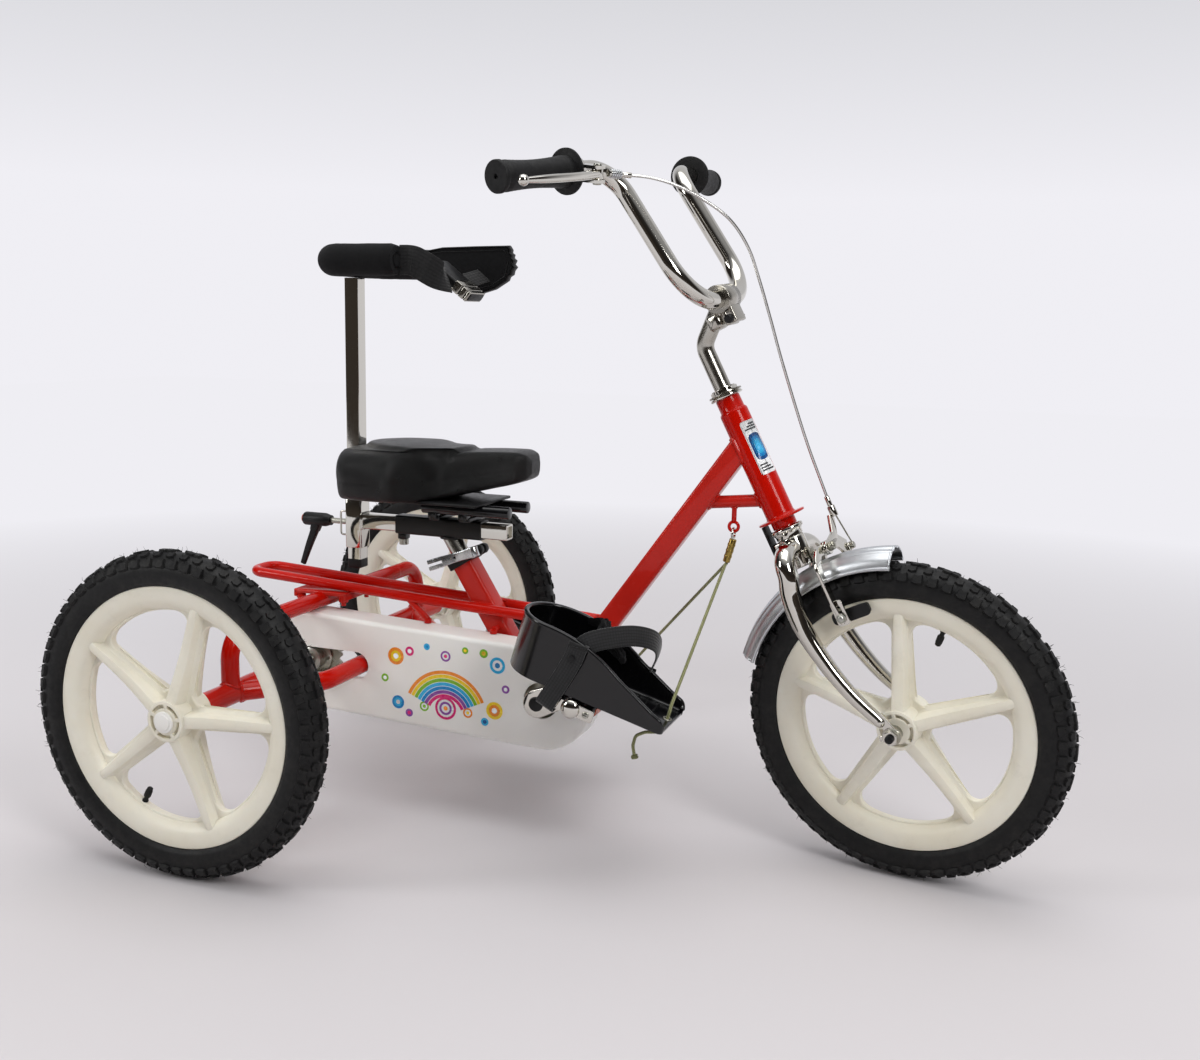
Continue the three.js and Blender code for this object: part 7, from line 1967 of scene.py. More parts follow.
b.make("mudguard_blade", "steering", ["mudguard_front"], "aluminium", 40)

# %% Centre bolt of the caliper
b = Build(STEER)
b.rod(V(-34, 0, 232), V(50, 0, 232), 3, ZINC, 28)
b.hexagon(V(-33.8, 0, 232), V(-28.4, 0, 232), 5.2, ZINC, 0.6)
b.hexagon(V(42.6, 0, 232), V(46, 0, 232), 5.6, ZINC, 0.6)
b.lathe([(0, 50.3), (3, 50.2), (5, 49), (5.6, 47.4), (5.6, 46.2), (0, 46.2)], ZINC, 28, "X",
    Matrix.Translation((0, 0, 232)))
b.make("caliper_screw", "steering", ["caliper_bolt"], "zinc", 40)

# %% Caliper arms and shoes
for label, x0, x1, s in (("right", 34, 38, -1), ("left", 38.3, 42.3, 1)):
    limb = [(0, 232), (s * 26.4, 232), (s * 44, 218.8), (s * 44, 172), (s * 37.5, 144.5)]
    corners = [V(0, y, z) for y, z in limb]
    path = bent(corners, [11, 22, 22], 6)
    section = box_section(12.5, x1 - x0 + 0.6, 1.2, 3)
    b = Build(STEER)
    b.sweep([p + V((x0 + x1) / 2, 0, 0) for p in path], section, CHROME, (1, 0, 0))
    b.rod(V(x0, 0, 232), V(x1, 0, 232), 9, CHROME, 40, 0.5)
    if s < 0:
        tail = bent([V(36, 0, 232), V(36, 40, 236), V(36, 62.5, 222)], 12, 6)
        b.sweep(tail, section, CHROME, (1, 0, 0))
        b.block((31.8, 52.5, 213), (44, 63.5, 224), CHROME, 1.2)
        b.rod(V(44, 58, 218.5), V(48.5, 58, 218.5), 4.4, ZINC, 24, 0.8)
    else:
        tail = bent([V(40.3, 0, 232), V(40.3, 30, 240), V(40.3, 45, 262)], 12, 6)
        b.sweep(tail, section, CHROME, (1, 0, 0))
        b.rod(V(46, 45, 275), V(46, 45, 261), 5, CHROME, 28, 0.8)
    plate = Build(STEER)
    plate.slab(rounded([(29.5, 141), (45.5, 141), (45.5, 173), (29.5, 173)], 5, 5, True), min(s * 39.6, s * 42.8),
        max(s * 39.6, s * 42.8), CHROME, None, 0.5)
    slot = Build(STEER)
    slot.slab(rounded([(33.9, 145.5), (41.1, 145.5), (41.1, 166), (33.9, 166)], 3.4, 6, True), min(s * 30, s * 50),
        max(s * 30, s * 50), CHROME)
    plate_mesh = carved(plate, (slot, "DIFFERENCE"))
    finish_piece("caliper_plate_" + label, plate_mesh, "caliper_" + label, (), 40, 0.4)
    b.hexagon(V(37.5, s * 42.6, 151), V(37.5, s * 47, 151), 5.6, ZINC, 0.5)
    b.lathe([(0, s * 50.6), (2.4, s * 50.4), (4.4, s * 49.2), (5.0, s * 47.4), (5.0, s * 46.8), (0, s * 46.8)],
        ZINC, 28, "Y", Matrix.Translation((37.5, 0, 151)))
    b.make("caliper_limb_" + label, "caliper_" + label, ["caliper_arm_" + label], "chrome", 45)
    b = Build(STEER)
    lo, hi = sorted((s * 21.6, s * 29.4))
    b.slab(rounded([(22, 143.5), (68, 143.5), (68, 156.5), (22, 156.5)], 4, 5, True), lo, hi, BLACK, None, 0.8)
    b.slab(rounded([(20, 142), (70, 142), (70, 158), (20, 158)], 7, 6, True), min(s * 29.0, s * 32.4),
        max(s * 29.0, s * 32.4), BLACK, None, 1.2)
    b.rod(V((x0 + x1) / 2, s * 29, 150), V((x0 + x1) / 2, s * 40.4, 150), 3, ZINC, 22)
    b.make("brake_pad_" + label, "caliper_" + label, ["brake_shoe_" + label], "rubber", 40)

# %% Stop strip
b = Build(STEER)
b.block((-28, -7.5, 223), (-24, 7.5, 285), BLACK, 1.2)
b.make("rubber_stop", "steering", ["stop_strip"], "rubber", 40)

# %% [markdown]
# ## Seat post and quick release
# The seat post ends in a square sleeve that takes the bar of the backrest. A collar with two ears clamps the
# post, and a cam lever closes it. The sleeve and collar are rings of sections joined end to end, so that they
# are truly hollow, and the lever is a swept blade with a slit and two holes cut through it.

# %% Post and square sleeve
BAR_Z = 392
b = Build()
post_top = (BAR_Z - 12.7 + 0.2 - SEAT_TOP[2]) / SEAT_AXIS[2]
b.rod(on_seat(-118), on_seat(post_top + 3), 12.45, DULL_CHROME, 44, 0.4)
b.block((113.6 - 6.3, -6.3, BAR_Z - 12.7 - 8), (113.6 + 6.3, 6.3, BAR_Z - 12.5), POWDER, 1)
u, v, w = frame_of(SEAT_AXIS)
bead(b, circle(12.7, 40), u, v, w, on_seat(post_top - 30), ("plane", V(0, 0, BAR_Z - 12.9), (0, 0, 1)), 2.4, POWDER)
sleeve = Build(Matrix.Translation((0, 0, BAR_Z)) @ Matrix.Rotation(math.pi / 2, 4, "Z"))
outer_ring = box_section(25.4, 25.4, 3.6, 5)
inner_ring = box_section(21.2, 21.2, 1.6, 5)
rings = []
for x, ring in ((-107, inner_ring), (-107, outer_ring), (-108, outer_ring), (-236, outer_ring), (-237, outer_ring),
    (-237, inner_ring), (-107, inner_ring)):
    rings.append([(p[0], x, p[1]) for p in ring])
sleeve.loft(rings, POWDER, caps=False)
b.make("seat_stem", "seat", ["seat_post"], "black_paint", 45)
sleeve.make("seat_sleeve", "seat", (), "black_paint", 45, 0.3)
refine("set_screw", ZINC, 0.4)

# %% Collar
ear_centre = on_seat(-3) + SEAT_FORWARD * 28
b = Build()
collar_u, collar_v, _ = frame_of(SEAT_AXIS)
outer_ring = box_section(38.4, 38.4, 6, 6)
inner_ring = box_section(30.5, 30.5, 4.6, 6)
rings = []
for d, ring, grow in ((-9.9, inner_ring, 0), (-9.9, outer_ring, -0.5), (-9.3, outer_ring, 0),
        (3.3, outer_ring, 0), (3.9, outer_ring, -0.5), (3.9, inner_ring, 0), (-9.9, inner_ring, 0)):
    base = on_seat(d)
    scale = 1 + grow / 19
    rings.append([base + collar_u * p[0] * scale + collar_v * p[1] * scale for p in ring])
b.loft(rings, BLACK, caps=False)
for y0, y1 in ((-11.2, -3), (3, 11.2)):
    m = Matrix((tuple(SEAT_FORWARD) + (0,), (0, 1, 0, 0), tuple(SEAT_AXIS) + (0,), (0, 0, 0, 1))).transposed()
    m = Matrix.Translation(Vector(ear_centre)) @ m.to_3x3().to_4x4()
    b.slab([(-9.4, -6.9), (1.9, -6.9)] + [(1.9 + 6.9 * math.cos(a), 6.9 * math.sin(a))
        for a in [-math.pi / 2 + math.pi * k / 14 for k in range(1, 15)]] + [(-9.4, 6.9)], y0, y1, BLACK, m, 1.0)
b.hexagon(ear_centre + V(0, 11.2, 0), ear_centre + V(0, 17.0, 0), 6.1, ZINC, 0.8)
b.rod(ear_centre + V(0, -11.4, 0), ear_centre + V(0, 11.4, 0), 3.2, ZINC, 24, 0)
b.make("post_collar", BODY_OF["seat_collar"], ["seat_collar"], "black_paint", 42)

# %% Cam of the quick release
cam_centre = ear_centre + V(0, -18.05, 0)
lever_way = V(-math.cos(deg(20)), 0, -math.sin(deg(20)))
cam_axis = V(math.sin(deg(20)), 0, -math.cos(deg(20)))
b = Build()
b.rod(cam_centre - cam_axis * 7, cam_centre + cam_axis * 7, 6.5, ALLOY, 40, 0.8)
b.rod(cam_centre - cam_axis * 7.3, cam_centre - cam_axis * 6, 3.2, ZINC, 24, 0.3)

# %% Blade of the quick release
y_blade = -(15 + 4 + 0.9 + 2.5)
start = V(ear_centre[0], y_blade, ear_centre[2])
flare = [V(0, 0, 0), lever_way * 12, lever_way * 25.3, lever_way * 40 + V(0, -2.4, 0), lever_way * 54
    + V(0, -5, 0), lever_way * 66 + V(0, -7, 0)]
curve = spline([start + p for p in flare], 26)
blade = Build()
blade.sweep(curve, lambda t: box_section(6.4 - 1.4 * t, 15 - 2.0 * math.sin(math.pi * min(1, t * 1.4)), 1.8, 4),
    ALLOY, tuple(cam_axis))
slit = Build()
slit.sweep([start + lever_way * 50 + V(0, 3, 0), start + lever_way * 84 + V(0, -14, 0)],
    box_section(30, 3.6, 1.2, 4), ALLOY, tuple(cam_axis))
holes = Build()
for at in (27, 33.5):
    middle_point = start + lever_way * at
    holes.rod(middle_point + V(0, 8, 0), middle_point - V(0, 12, 0), 1.9, ALLOY, 24, 0)
mesh = carved(blade, (slit, "DIFFERENCE"), (holes, "DIFFERENCE"))
b.make("release_cam", "release_lever", ["quick_release_lever"], "chrome", 45)
finish_piece("release_blade", mesh, "release_lever", (), 40, 0.5)

# %% Saddle under-frame
b = Build()
for s in (-1, 1):
    b.rod(V(160, s * 30, 422.7), V(288, s * 30, 422.7), 8, GLOSS_BLACK, 40, 1.2)
for x in (176, 221):
    b.block((x - 8, -30, 405.2), (x + 8, 30, 411.5), GLOSS_BLACK, 1.2)
    for s in (-1, 1):
        b.block((x - 6.5, s * 30 - 6, 409), (x + 6.5, s * 30 + 6, 421), GLOSS_BLACK, 1.2)
        b.lathe([(0, 0), (5.4, 0), (5, 1.8), (2.8, 3.2), (0, 3.4)], ZINC, 28, "Z",
            Matrix.Translation((x, s * 11, 411.4)))
b.make("saddle_frame", "seat", ["saddle_rods"], "black_paint", 42)

# %% [markdown]
# ## Saddle
# The saddle is a foam pad under one vinyl cover: two rear lobes, a narrow nose, and a raised oval on top.
# Sculpting could give this, but it can't be repeated or checked. Its width, top and underside are read from a
# table of shares along its length, joined by a curve without overshoot, and a section with a crease is lofted
# through them.

# %% Shares along the saddle
SADDLE_SHARES = [(0, 0.72, 0.9, 0.1), (0.008, 0.8, 0.96, 0.04), (0.035, 0.9, 1, 0), (0.1, 0.97, 1.01, 0),
    (0.2, 1, 1.02, 0), (0.3, 0.99, 1.02, 0), (0.345, 0.955, 1.02, 0), (0.38, 0.86, 1.015, 0),
    (0.42, 0.7, 1.01, 0), (0.47, 0.545, 1.01, 0.02), (0.55, 0.44, 1.02, 0.08), (0.66, 0.385, 1.04, 0.19),
    (0.8, 0.355, 1.07, 0.33), (0.92, 0.315, 1.08, 0.45), (0.98, 0.23, 1.02, 0.55), (1, 0.14, 0.9, 0.66)]
stations = [s[0] for s in SADDLE_SHARES]

# %% A curve without overshoot


def smooth_table(column):
    """Monotone cubic through the shares, so that the outline has no corner."""
    xs = np.array(stations)
    ys = np.array([s[column] for s in SADDLE_SHARES])
    slopes = np.diff(ys) / np.diff(xs)
    tangents = np.zeros(len(xs))
    tangents[0], tangents[-1] = slopes[0], slopes[-1]
    for i in range(1, len(xs) - 1):
        tangents[i] = 0 if slopes[i - 1] * slopes[i] <= 0 else 2 * slopes[i - 1] * slopes[i] / (slopes[i - 1]
            + slopes[i])

    def at(t):
        i = int(min(len(xs) - 2, max(0, np.searchsorted(xs, t) - 1)))
        h = xs[i + 1] - xs[i]
        q = (t - xs[i]) / h
        return float((1 + 2 * q) * (1 - q) ** 2 * ys[i] + q * (1 - q) ** 2 * h * tangents[i]
                     + q * q * (3 - 2 * q) * ys[i + 1] + q * q * (q - 1) * h * tangents[i + 1])
    return at


wide_at, top_at, low_at = (smooth_table(k) for k in (1, 2, 3))

# %% Section of the saddle
section_shape = [(0, 0), (0.4, 0.002), (0.74, 0.008), (0.86, 0.03), (0.915, 0.08), (0.945, 0.16), (0.965, 0.27),
    (0.978, 0.36), (0.972, 0.4), (0.984, 0.44), (0.995, 0.54), (1, 0.64), (0.998, 0.74), (0.985, 0.83),
    (0.957, 0.905), (0.915, 0.955), (0.865, 0.985)]
section_shape += [(0.81 - 0.045 * k, 1.0) for k in range(18)] + [(0, 1)]
profile = section_shape + [(-a, c) for a, c in section_shape[-2:0:-1]]

# %% Saddle cover
rings = []
count = 96
for k in range(count + 1):
    t = 0.5 - 0.5 * math.cos(math.pi * k / count)
    x = 54.5 + 257 * t
    half = 100 * wide_at(t)
    height = 66
    high = 431 + height * top_at(t)
    low = 431 + height * low_at(t)
    crown = 5 * wide_at(t)
    ring = []
    for across, up in profile:
        y = half * across
        z = low + (high - low) * up
        rise = crown * (1 - across * across) * max(0.0, min(1.0, (up - 0.4) / 0.4)) if up > 0.4 else 0
        # raised oval of the seat area with a crisp step and a fine valley at its foot
        d = math.hypot((x - 143) / 78, y / 66)
        swell = 0.0
        if up > 0.97:
            swell = 4.6 / (1 + math.exp((d - 0.97) * 60)) - 1.1 * math.exp(-((d - 1.04) / 0.05) ** 2)
        # side panel of each rear lobe below a crease, above it the shoulder slopes inward into the nose
        crease = 0.7 * math.sqrt(max(0.0, 1 - ((x - 54) / 118) ** 2.2)) if x > 54 else 0.7
        fade = 1.0 if x < 172 else math.exp(-((x - 172) / 30) ** 2)
        slope = 13 * max(0.0, min(up, 0.95) - crease) / 0.6 * fade if up > 0.02 else 0.0
        slope = min(slope, 9.0) + 1.4 * math.exp(-((up - crease) / 0.05) ** 2) * (x < 172) * (up < 0.9)
        y -= math.copysign(min(slope, abs(y)), y) if abs(across) > 0.8 else 0.0
        ring.append((x, y, z + rise + swell))
    rings.append(ring)
b = Build()
b.loft(rings, SADDLE)
seat_cover = b.make("saddle_cover", "seat", ["saddle"], "vinyl", 180, 0, 1)

# %% Saddle base
b = Build()
for x, y in ((176, -30), (176, 30), (221, -30), (221, 30)):
    b.block((x - 9, y - 12, 429.2), (x + 9, y + 12, 433), BLACK, 1)
b.block((150, -56, 429.6), (250, 56, 433.5), BLACK, 1.6)
b.make("saddle_base", "seat", (), "vinyl")

# %% [markdown]
# ## Backrest arm and post
# The backrest stands on a square chromed post in an upright sleeve, which is welded to a square bar. The bar
# and the post slide, so each is its own piece on its own body. Square tube is a rounded square lofted along a
# line, with a small step at its open end. The clamp lever is moulded, with an orange button and a steel stud.

# %% Bar of the arm
b = Build(Matrix.Translation((0, 0, BAR_Z)) @ Matrix.Rotation(math.pi / 2, 4, "Z"))
square = box_section(20.6, 20.6, 1.9, 4)
rows = [(-52.9, square), (-273.4, square), (-274, box_section(19.4, 19.4, 1.7, 4)),
    (-274, box_section(15.6, 15.6, 1.0, 4)), (-268, box_section(15.6, 15.6, 1.0, 4))]
b.loft([[(p[0], x, p[1]) for p in ring] for x, ring in rows], CHROME)
b.make("arm_bar", "backrest_arm", ["backrest_arm"], "chrome", 45)

# %% Upright sleeve
b = Build(Matrix.Translation((40, 0, 0)))
outer_ring = box_section(25.4, 25.4, 3.2, 5)
inner_ring = box_section(21.5, 21.5, 1.4, 5)
rows = [(354, inner_ring, 1), (354, outer_ring, 0.965), (354.7, outer_ring, 1), (428.3, outer_ring, 1),
    (429, outer_ring, 0.965), (429, inner_ring, 1), (354, inner_ring, 1)]
b.loft([[(p[0] * k, p[1] * k, z) for p in ring] for z, ring, k in rows], CHROME, caps=False)
staple_y = -12.7 + 2.8
staple = bent([V(-12.4, staple_y, 388 + 16.5), V(-20.7, staple_y, 388 + 16.5), V(-20.7, staple_y, 388 - 16.5),
    V(-12.4, staple_y, 388 - 16.5)], 3.4, 10)
b.tube(staple, 1.4, CHROME, 14)
bead(b, box_section(21, 21, 1.9, 3), *frame_of((1, 0, 0)), V(20, 0, BAR_Z), ("plane", V(12.6, 0, 0), (1, 0, 0)),
    2.0, CHROME)
b.make("arm_upright", "backrest_arm", (), "chrome", 45)

# %% Clamp lever
b = Build()
b.lathe([(0, -46), (6.4, -46), (8.8, -45.2), (9.5, -43.6), (9.5, -11.5), (9, -9.6), (7.4, -4.6), (7.1, -2.2),
    (0, -2.2)], BLACK, 44, "X", Matrix.Translation((0, 0, 388)))
b.lathe([(0, -2.4), (4, -2.4), (4, 29.4), (0, 29.4)], ZINC, 28, "X", Matrix.Translation((0, 0, 388)))
arm_path = spline([V(-24, 0, 388), V(-31, 0, 370), V(-40, 0, 349), V(-50.5, 0, 322)], 18)
b.sweep(arm_path, box_section(13, 9, 2.8, 5), BLACK, (0, 1, 0), size=lambda t: 1 - 0.42 * t)
b.sweep([V(-24, 0, 388), V(-30, 0, 372)], box_section(15, 15, 4, 5), BLACK, (0, 1, 0), size=lambda t: 1 - 0.18 * t)
b.rod(V(-48.6, 0, 388), V(-44.5, 0, 388), 6.1, ORANGE, 36, 0.9)
for k in range(8):
    a = 2 * math.pi * k / 8
    b.rod(V(-42, 9.0 * math.cos(a), 388 + 9.0 * math.sin(a)), V(-13, 9.0 * math.cos(a), 388 + 9.0 * math.sin(a)),
        0.7, BLACK, 10, 0.2)
b.make("clamp_handle", "clamp_lever", ["clamp_lever"], "black_plastic", 45)

# %% Backrest post
b = Build(Matrix.Translation((40, 0, 0)))
b.loft([[(p[0], p[1], z) for p in ring] for z, ring in ((337.5, square), (725.0, square))], CHROME)
b.loft([[(p[0] * k, p[1] * k, z) for p in box_section(20.6, 20.6, 2.2, 4)] for z, k in
        ((325, 0.90), (325.6, 0.97), (326.6, 1.0), (337.6, 1.0))], BLACK)
b.make("post_bar", "backrest", ["backrest_post"], "chrome", 45)

# %% [markdown]
# ## Foam hoop, belt and buckle
# The back rests against a U of tube in a foam sleeve, and a belt closes it in front: webbing and a buckle on
# one side, a padded flap on the other. Foam and webbing are soft, so their edges waver a little and the
# webbing twists on its way. It is lofted from sections that turn along a smooth path, and its weave follows
# its length.

# %% Foam hoop
hoop_path = bent([V(148, -75, 746), V(40, -75, 746), V(40, 75, 746), V(148, 75, 746)], 32, 5)
fine = [hoop_path[0]]
for a, c in zip(hoop_path, hoop_path[1:]):
    parts = max(1, int(np.linalg.norm(c - a) / 8))
    fine += [a + (c - a) * (k + 1) / parts for k in range(parts)]
b = Build()
stations_count = len(fine)


def hoop_size(t):
    end = min(t, 1 - t) * stations_count
    return 1 - 0.12 * max(0, 1 - end) ** 2 + 0.006 * math.sin(t * 37) + 0.005 * math.sin(t * 91 + 1)


b.sweep(fine, circle(20.5, 48), FOAM, (0, 0, 1), size=hoop_size)
hoop = b.make("foam_hoop", "backrest", ["backrest_hoop"], "foam", 60)
b = Build()
for s in (-1, 1):
    b.lathe([(0, 147.6), (9.8, 147.6), (10.6, 148.0), (10.6, 148.8), (9.6, 149.0), (8.4, 148.6), (8.2, 147.9),
        (0, 147.8)], BLACK, 36, "X", Matrix.Translation((0, s * 75, 746)))
b.make("hoop_core_ends", "backrest", (), "foam")

# %% Webbing
START = V(148.3, -75 + 40 / 6, 746)
BUCKLE = V(203, -44 * 0.3 - 4, 746 - 24)
END = V(BUCKLE[0], BUCKLE[1] - 22 - 0.3, BUCKLE[2])
WEB_SHARES = [(0, 0, 0), (0.2, 0.0, 0.0), (0.38, -0.04, 0.05), (0.52, 0.06, 0.22), (0.72, 0.2, 0.5),
    (0.93, 0.55, 0.85), (1, 1, 1)]
centres = [V(START[0] + (END[0] - START[0]) * f, START[1] + (END[1] - START[1]) * i, START[2]
    + (END[2] - START[2]) * d) for f, i, d in WEB_SHARES]
web_path = spline(centres, 44)
# it leaves the buckle tilted with it and turns upright on the way to the hoop
across_b = V(math.sin(deg(52)), 0, -math.cos(deg(52)))
b = Build()
rings = []
total = len(web_path) - 1
lengths = [0.0]
for p, q in zip(web_path, web_path[1:]):
    lengths.append(lengths[-1] + float(np.linalg.norm(q - p)) * MM)
for k, p in enumerate(web_path):
    t = k / total
    tangent = unit(web_path[min(total, k + 1)] - web_path[max(0, k - 1)])
    turn = max(0.0, (t - 0.55) / 0.45)
    turn = turn * turn * (3 - 2 * turn) * 0.55
    wide = unit(V(0, 0, -1) * (1 - turn) + across_b * turn)
    wide = unit(wide - tangent * (wide @ tangent))
    thick = np.cross(tangent, wide)
    rings.append([p + wide * x + thick * y for x, y in box_section(38, 1.9, 0.7, 2)])
shape = box_section(38, 1.9, 0.7, 2)
around = [0.0]
for j in range(len(shape)):
    a, c = shape[j], shape[(j + 1) % len(shape)]
    around.append(around[-1] + math.hypot(a[0] - c[0], a[1] - c[1]) * MM)
b.loft(rings, WEBBING, (around, lengths + [lengths[-1]]))
b.make("chest_webbing", "backrest", ["belt_webbing"], "webbing", 50)

# %% Buckle
# buckle: female body above, silver release lever below
normal_b = V(math.cos(deg(52)), 0, math.sin(deg(52)))
FLAT = Matrix(((across_b[0], 0, normal_b[0], BUCKLE[0]), (across_b[1], 1, normal_b[1], BUCKLE[1]),
    (across_b[2], 0, normal_b[2], BUCKLE[2]), (0, 0, 0, 1)))
b = Build(FLAT @ Matrix.Rotation(math.pi / 2, 4, "X"))
body_outline = rounded([(-36, -20), (-30, -21.8), (30, -21.8), (36, -20), (36, 20), (30, 21.8), (-30, 21.8),
    (-36, 20)], 3, 3, True)
b.slab(body_outline, -6.8, 6.8, BLACK, None, 4.2)
b.slab(rounded([(-33.5, -13), (33.5, -13), (33.5, 17), (-33.5, 17)], 3, 4, True), -6.9, 0, NEOPRENE, None, 0.5)
for x0, x1, grow in ((9, 20, 0.5), (21.4, 29, 0.4), (30.2, 34.6, 0.1)):
    b.slab(rounded([(x0, -22 - grow), (x1, -22 - grow), (x1, 22 + grow), (x0, 22 + grow)], 1.2, 3, True),
        -7 - grow, 7 + grow, DULL_CHROME, None, 1.0)
b.make("buckle_shell", "backrest", ["belt_buckle"], "black_plastic", 40)

# %% Belt pad
top_edge = [(100, 761), (130, 763.5), (150, 767), (200, 768.5), (248, 769.5)]
torn = [(251, 765), (250.5, 761), (254, 758.5), (253, 754.5), (257, 751), (254.5, 746), (258, 742.5), (254, 738),
    (253, 733), (248, 730), (246, 725)]
low_edge = [(228, 714), (206, 707.5), (190, 708), (165, 716), (135, 729), (100, 731)]
outline = list(reversed(top_edge + torn + low_edge))
b = Build()
b.slab(outline, 45.3, 54.1, NEOPRENE, None, 2.6, 4)
pad_piece = b.make("chest_pad", "backrest", ["belt_pad"], "foam", 40)

# %% Binding of the pad
b = Build()
inset = rounded([(106, 735), (137, 733.5), (168, 720.5), (194, 712.5), (224, 718), (243, 730), (248, 748),
    (244, 764.5), (150, 762), (106, 757)], 6, 4, True)
closed = [V(x, 45.1, z) for x, z in inset]
b.sweep(closed, circle(0.7, 8), BLACK, closed=True, hint=(0, 1, 0))
outer_line = [V(x, 49.7, z) for x, z in outline]
b.sweep(outer_line, [(x * 1.0, y * 4.2) for x, y in circle(1.5, 12)], BLACK, closed=True, hint=(0, 1, 0))
b.make("chest_pad_binding", "backrest", (), "foam")

# %% Tongue
tongue_a = BUCKLE + V(0, 22.3, 0)
tongue_b = V(BUCKLE[0] + 9, 45.6, BUCKLE[2] + 9)
b = Build()
b.sweep([tongue_a, tongue_a * 0.4 + tongue_b * 0.6, tongue_b], box_section(2.2, 24, 0.6, 2), WEBBING,
    tuple(across_b), uv=True)
b.make("chest_tongue", "backrest", (), "webbing", 50)

# %% [markdown]
# ## Clip of the cords
# A chromed split ring hangs in the frame's eye, and a crimped brass ferrule below it holds both cords. The
# ring is a torus, and the ferrule is a short rod with three pressed ribs.

# %% Clip and crimp
b = Build()
clip_z = EYE_Z - 6 + 2.2 + 0.3 + 1.6 - 7
b.ring((eye_root[0], 0, clip_z), 7, 1.6, CHROME, (1, 0, 0), 40, 16)
crimp_top, crimp_end = V(eye_root[0], 0, clip_z - 7), V(573.6, 0, 377.8)
crimp_way = unit(crimp_end - crimp_top)
b.rod(crimp_top, crimp_end, 4.6, BRASS, 32, 0.8)
for k in (0.25, 0.5, 0.75):
    at = crimp_top + (crimp_end - crimp_top) * k
    b.rod(at - crimp_way * 1.6, at + crimp_way * 1.6, 5.0, BRASS, 32, 0.6)
b.make("clip_ring", "frame", ["cord_clip"], "zinc", 45)

# %% [markdown]
# ## Floor
# The tricycle stands on a pale studio sweep: a floor that runs up into the wall without an edge. A large
# plane takes the shadow, and its far part turns into the wall's tone for the camera, and for mirrors and
# glass, so that no horizon shows. More lamps would clip the white case instead. The floor is stage, not part
# of the object.

# %% Sweep floor
WALL_TONE = "#efeef3"
WALL_SEEN_LOW, WALL_SEEN_HIGH = "#e4e3e8", "#cacace"
FLOOR_TONE = "#cdc9cb"
FADE_METRES = 10.0


def floor_paper(name):
    """Matt studio paper whose far part runs into the tone of the wall."""
    material, tree, where = begin(name)
    along, across = node(tree, SPLIT, {0: where}).outputs[:2]
    along = node(tree, MATH, {0: along, 1: 2.0}, operation="POWER").outputs[0]
    across = node(tree, MATH, {0: across, 1: 2.0}, operation="POWER").outputs[0]
    square = node(tree, MATH, {0: along, 1: across}, operation="ADD").outputs[0]
    away = node(tree, MATH, {0: square}, operation="SQRT").outputs[0]
    away = node(tree, MATH, {0: away, 1: FADE_METRES}, operation="DIVIDE").outputs[0]
    far = node(tree, RAMP, {0: away}, ((0.075, NONE), (0.3, FULL))).outputs[0]
    path = node(tree, "ShaderNodeLightPath").outputs
    mirrored = node(tree, MATH, {0: path["Is Glossy Ray"], 1: path["Is Transmission Ray"]}, operation="MAXIMUM")
    seen = node(tree, MATH, {0: path["Is Camera Ray"], 1: mirrored.outputs[0]}, operation="MAXIMUM").outputs[0]
    shown = node(tree, MATH, {0: far, 1: seen}, operation="MULTIPLY").outputs[0]
    paper = node(tree, "Principled BSDF", {
        "Base Color": linear(FLOOR_TONE), "Roughness": 0.9, "Specular IOR Level": 0.1}).outputs[0]
    glow = node(tree, "ShaderNodeEmission", {"Color": linear(WALL_TONE), "Strength": 1.0}).outputs[0]
    both = node(tree, "ShaderNodeMixShader", {0: shown, 1: paper, 2: glow}).outputs[0]
    node(tree, "Material Output", {"Surface": both})
    return material


sheet = bpy.data.meshes.new("floor")
sheet.from_pydata([(-8, -4, 0), (8, -4, 0), (8, 9, 0), (-8, 9, 0)], [], [(0, 1, 2, 3)])
sheet.materials.append(floor_paper("studio_floor"))
sheet.polygons.foreach_set("use_smooth", [True])
floor = bpy.data.objects.new("floor", sheet)
bpy.context.scene.collection.objects.link(floor)
floor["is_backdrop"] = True
print("floor: 16 by 13 m")

# %% [markdown]
# ## Room
# Chrome shows the room more than itself, so the room matters more for this object than the lamps do. Behind the
# tricycle is the pale wall, and on the camera's side the room is dark and warm below and bright above, which
# draws the dark edge along each chromed tube. The camera, mirrors and glass see a wall that is palest low down.

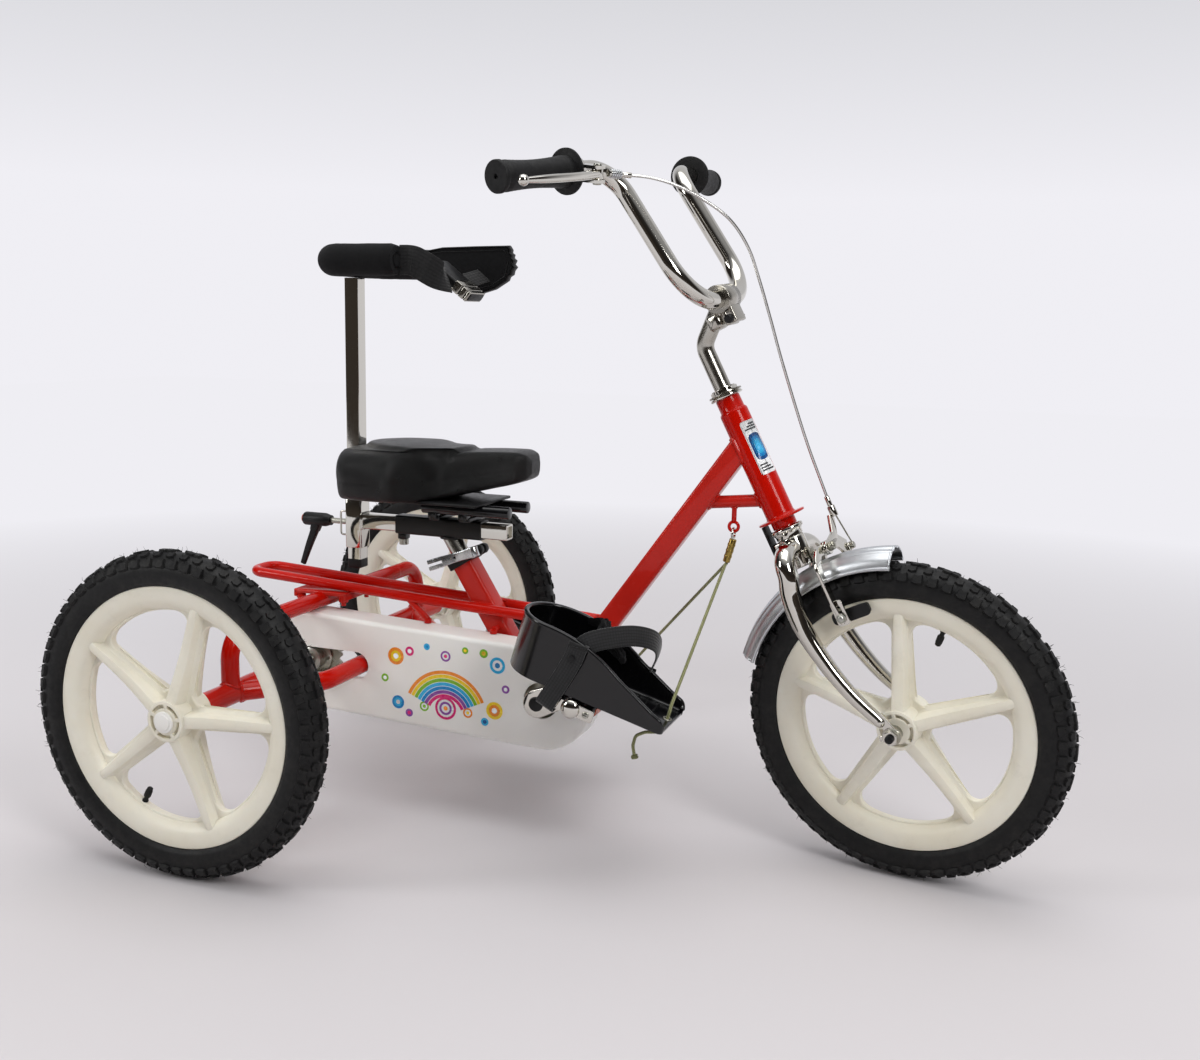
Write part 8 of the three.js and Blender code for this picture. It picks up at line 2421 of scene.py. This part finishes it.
# %% Room light
world = bpy.data.worlds.new("studio")
bpy.context.scene.world = world
world.use_nodes = True
tree = world.node_tree
generated = node(tree, COORDINATES).outputs["Generated"]
_, depth, height = node(tree, SPLIT, {0: generated}).outputs
ROOM_TONES = (
    ((0.0, "#c8c8ca"), (0.1, "#d8d8dc"), (0.5, "#ececee"), (1.0, "#ffffff")),
    ((0.0, "#3a342f"), (0.2, "#26221f"), (0.5, "#2e2c2b"), (0.75, "#9a9a9c"), (1.0, "#ffffff")),
    ((0.0, WALL_SEEN_LOW), (0.09, WALL_SEEN_LOW), (0.26, WALL_SEEN_HIGH), (1.0, WALL_SEEN_HIGH)))
wall_side, room_side, seen = (
    node(tree, RAMP, {0: height}, [(at, linear(tone)) for at, tone in tones]).outputs[0] for tones in ROOM_TONES)
turn = node(tree, SPAN, {0: depth, 1: 0.15, 2: 0.6}, interpolation_type="SMOOTHSTEP").outputs[0]
path = node(tree, "ShaderNodeLightPath").outputs
mirrored = node(tree, MATH, {0: path["Is Glossy Ray"], 1: path["Is Transmission Ray"]}, operation="MAXIMUM")
wall = node(tree, MIX, {0: mirrored.outputs[0], 6: wall_side, 7: seen}, data_type="RGBA").outputs[2]
room = node(tree, MIX, {0: turn, 6: room_side, 7: wall}, data_type="RGBA").outputs[2]
shown = node(tree, MIX, {0: path["Is Camera Ray"], 6: room, 7: seen}, data_type="RGBA").outputs[2]
node(tree, "Background", {0: shown, 1: 1.12})
print("room tones:", WALL_SEEN_LOW, "to", WALL_SEEN_HIGH)

# %% [markdown]
# ## Lamps
# Three soft boxes light the object: a large one overhead for the soft shadow under it, a stronger one at the
# front right for the shape of the tubes, and a weaker one at the left to lift the shadow side. Wide lamps give
# broad highlights on the vinyl, and their power is low enough for the white case not to clip.

# %% Soft boxes


def soft_box(name, place, target, size, power):
    data = bpy.data.lights.new(name, "AREA")
    data.shape = "RECTANGLE"
    data.size, data.size_y = size
    data.energy = power
    lamp = bpy.data.objects.new(name, data)
    lamp.location = place
    way = Vector(target) - Vector(place)
    lamp.rotation_euler = way.to_track_quat("-Z", "Y").to_euler()
    lamp.visible_camera = False
    bpy.context.scene.collection.objects.link(lamp)
    print(f"{name}: {size[0]} by {size[1]} m, {power} W")


soft_box("overhead", (0.0, -0.3, 3.2), (0.0, 0, 0.0), (3.0, 2.4), 40)
soft_box("key", (2.3, -1.9, 2.2), (0.0, 0, 0.4), (0.9, 1.3), 42)
soft_box("fill", (-2.4, -2.0, 1.6), (0.0, 0, 0.4), (0.7, 1.3), 27)

# %% [markdown]
# ## Exposure, sizes and the end
# The Standard view shows a colour as it is written. Last, the size of the dressed object is printed.

# %% Note the sizes and finish
bpy.context.scene.view_settings.view_transform = "Standard"
low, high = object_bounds()
print(f"dressed: {high.x - low.x:.3f} x {high.y - low.y:.3f} x {high.z - low.z:.3f} m")
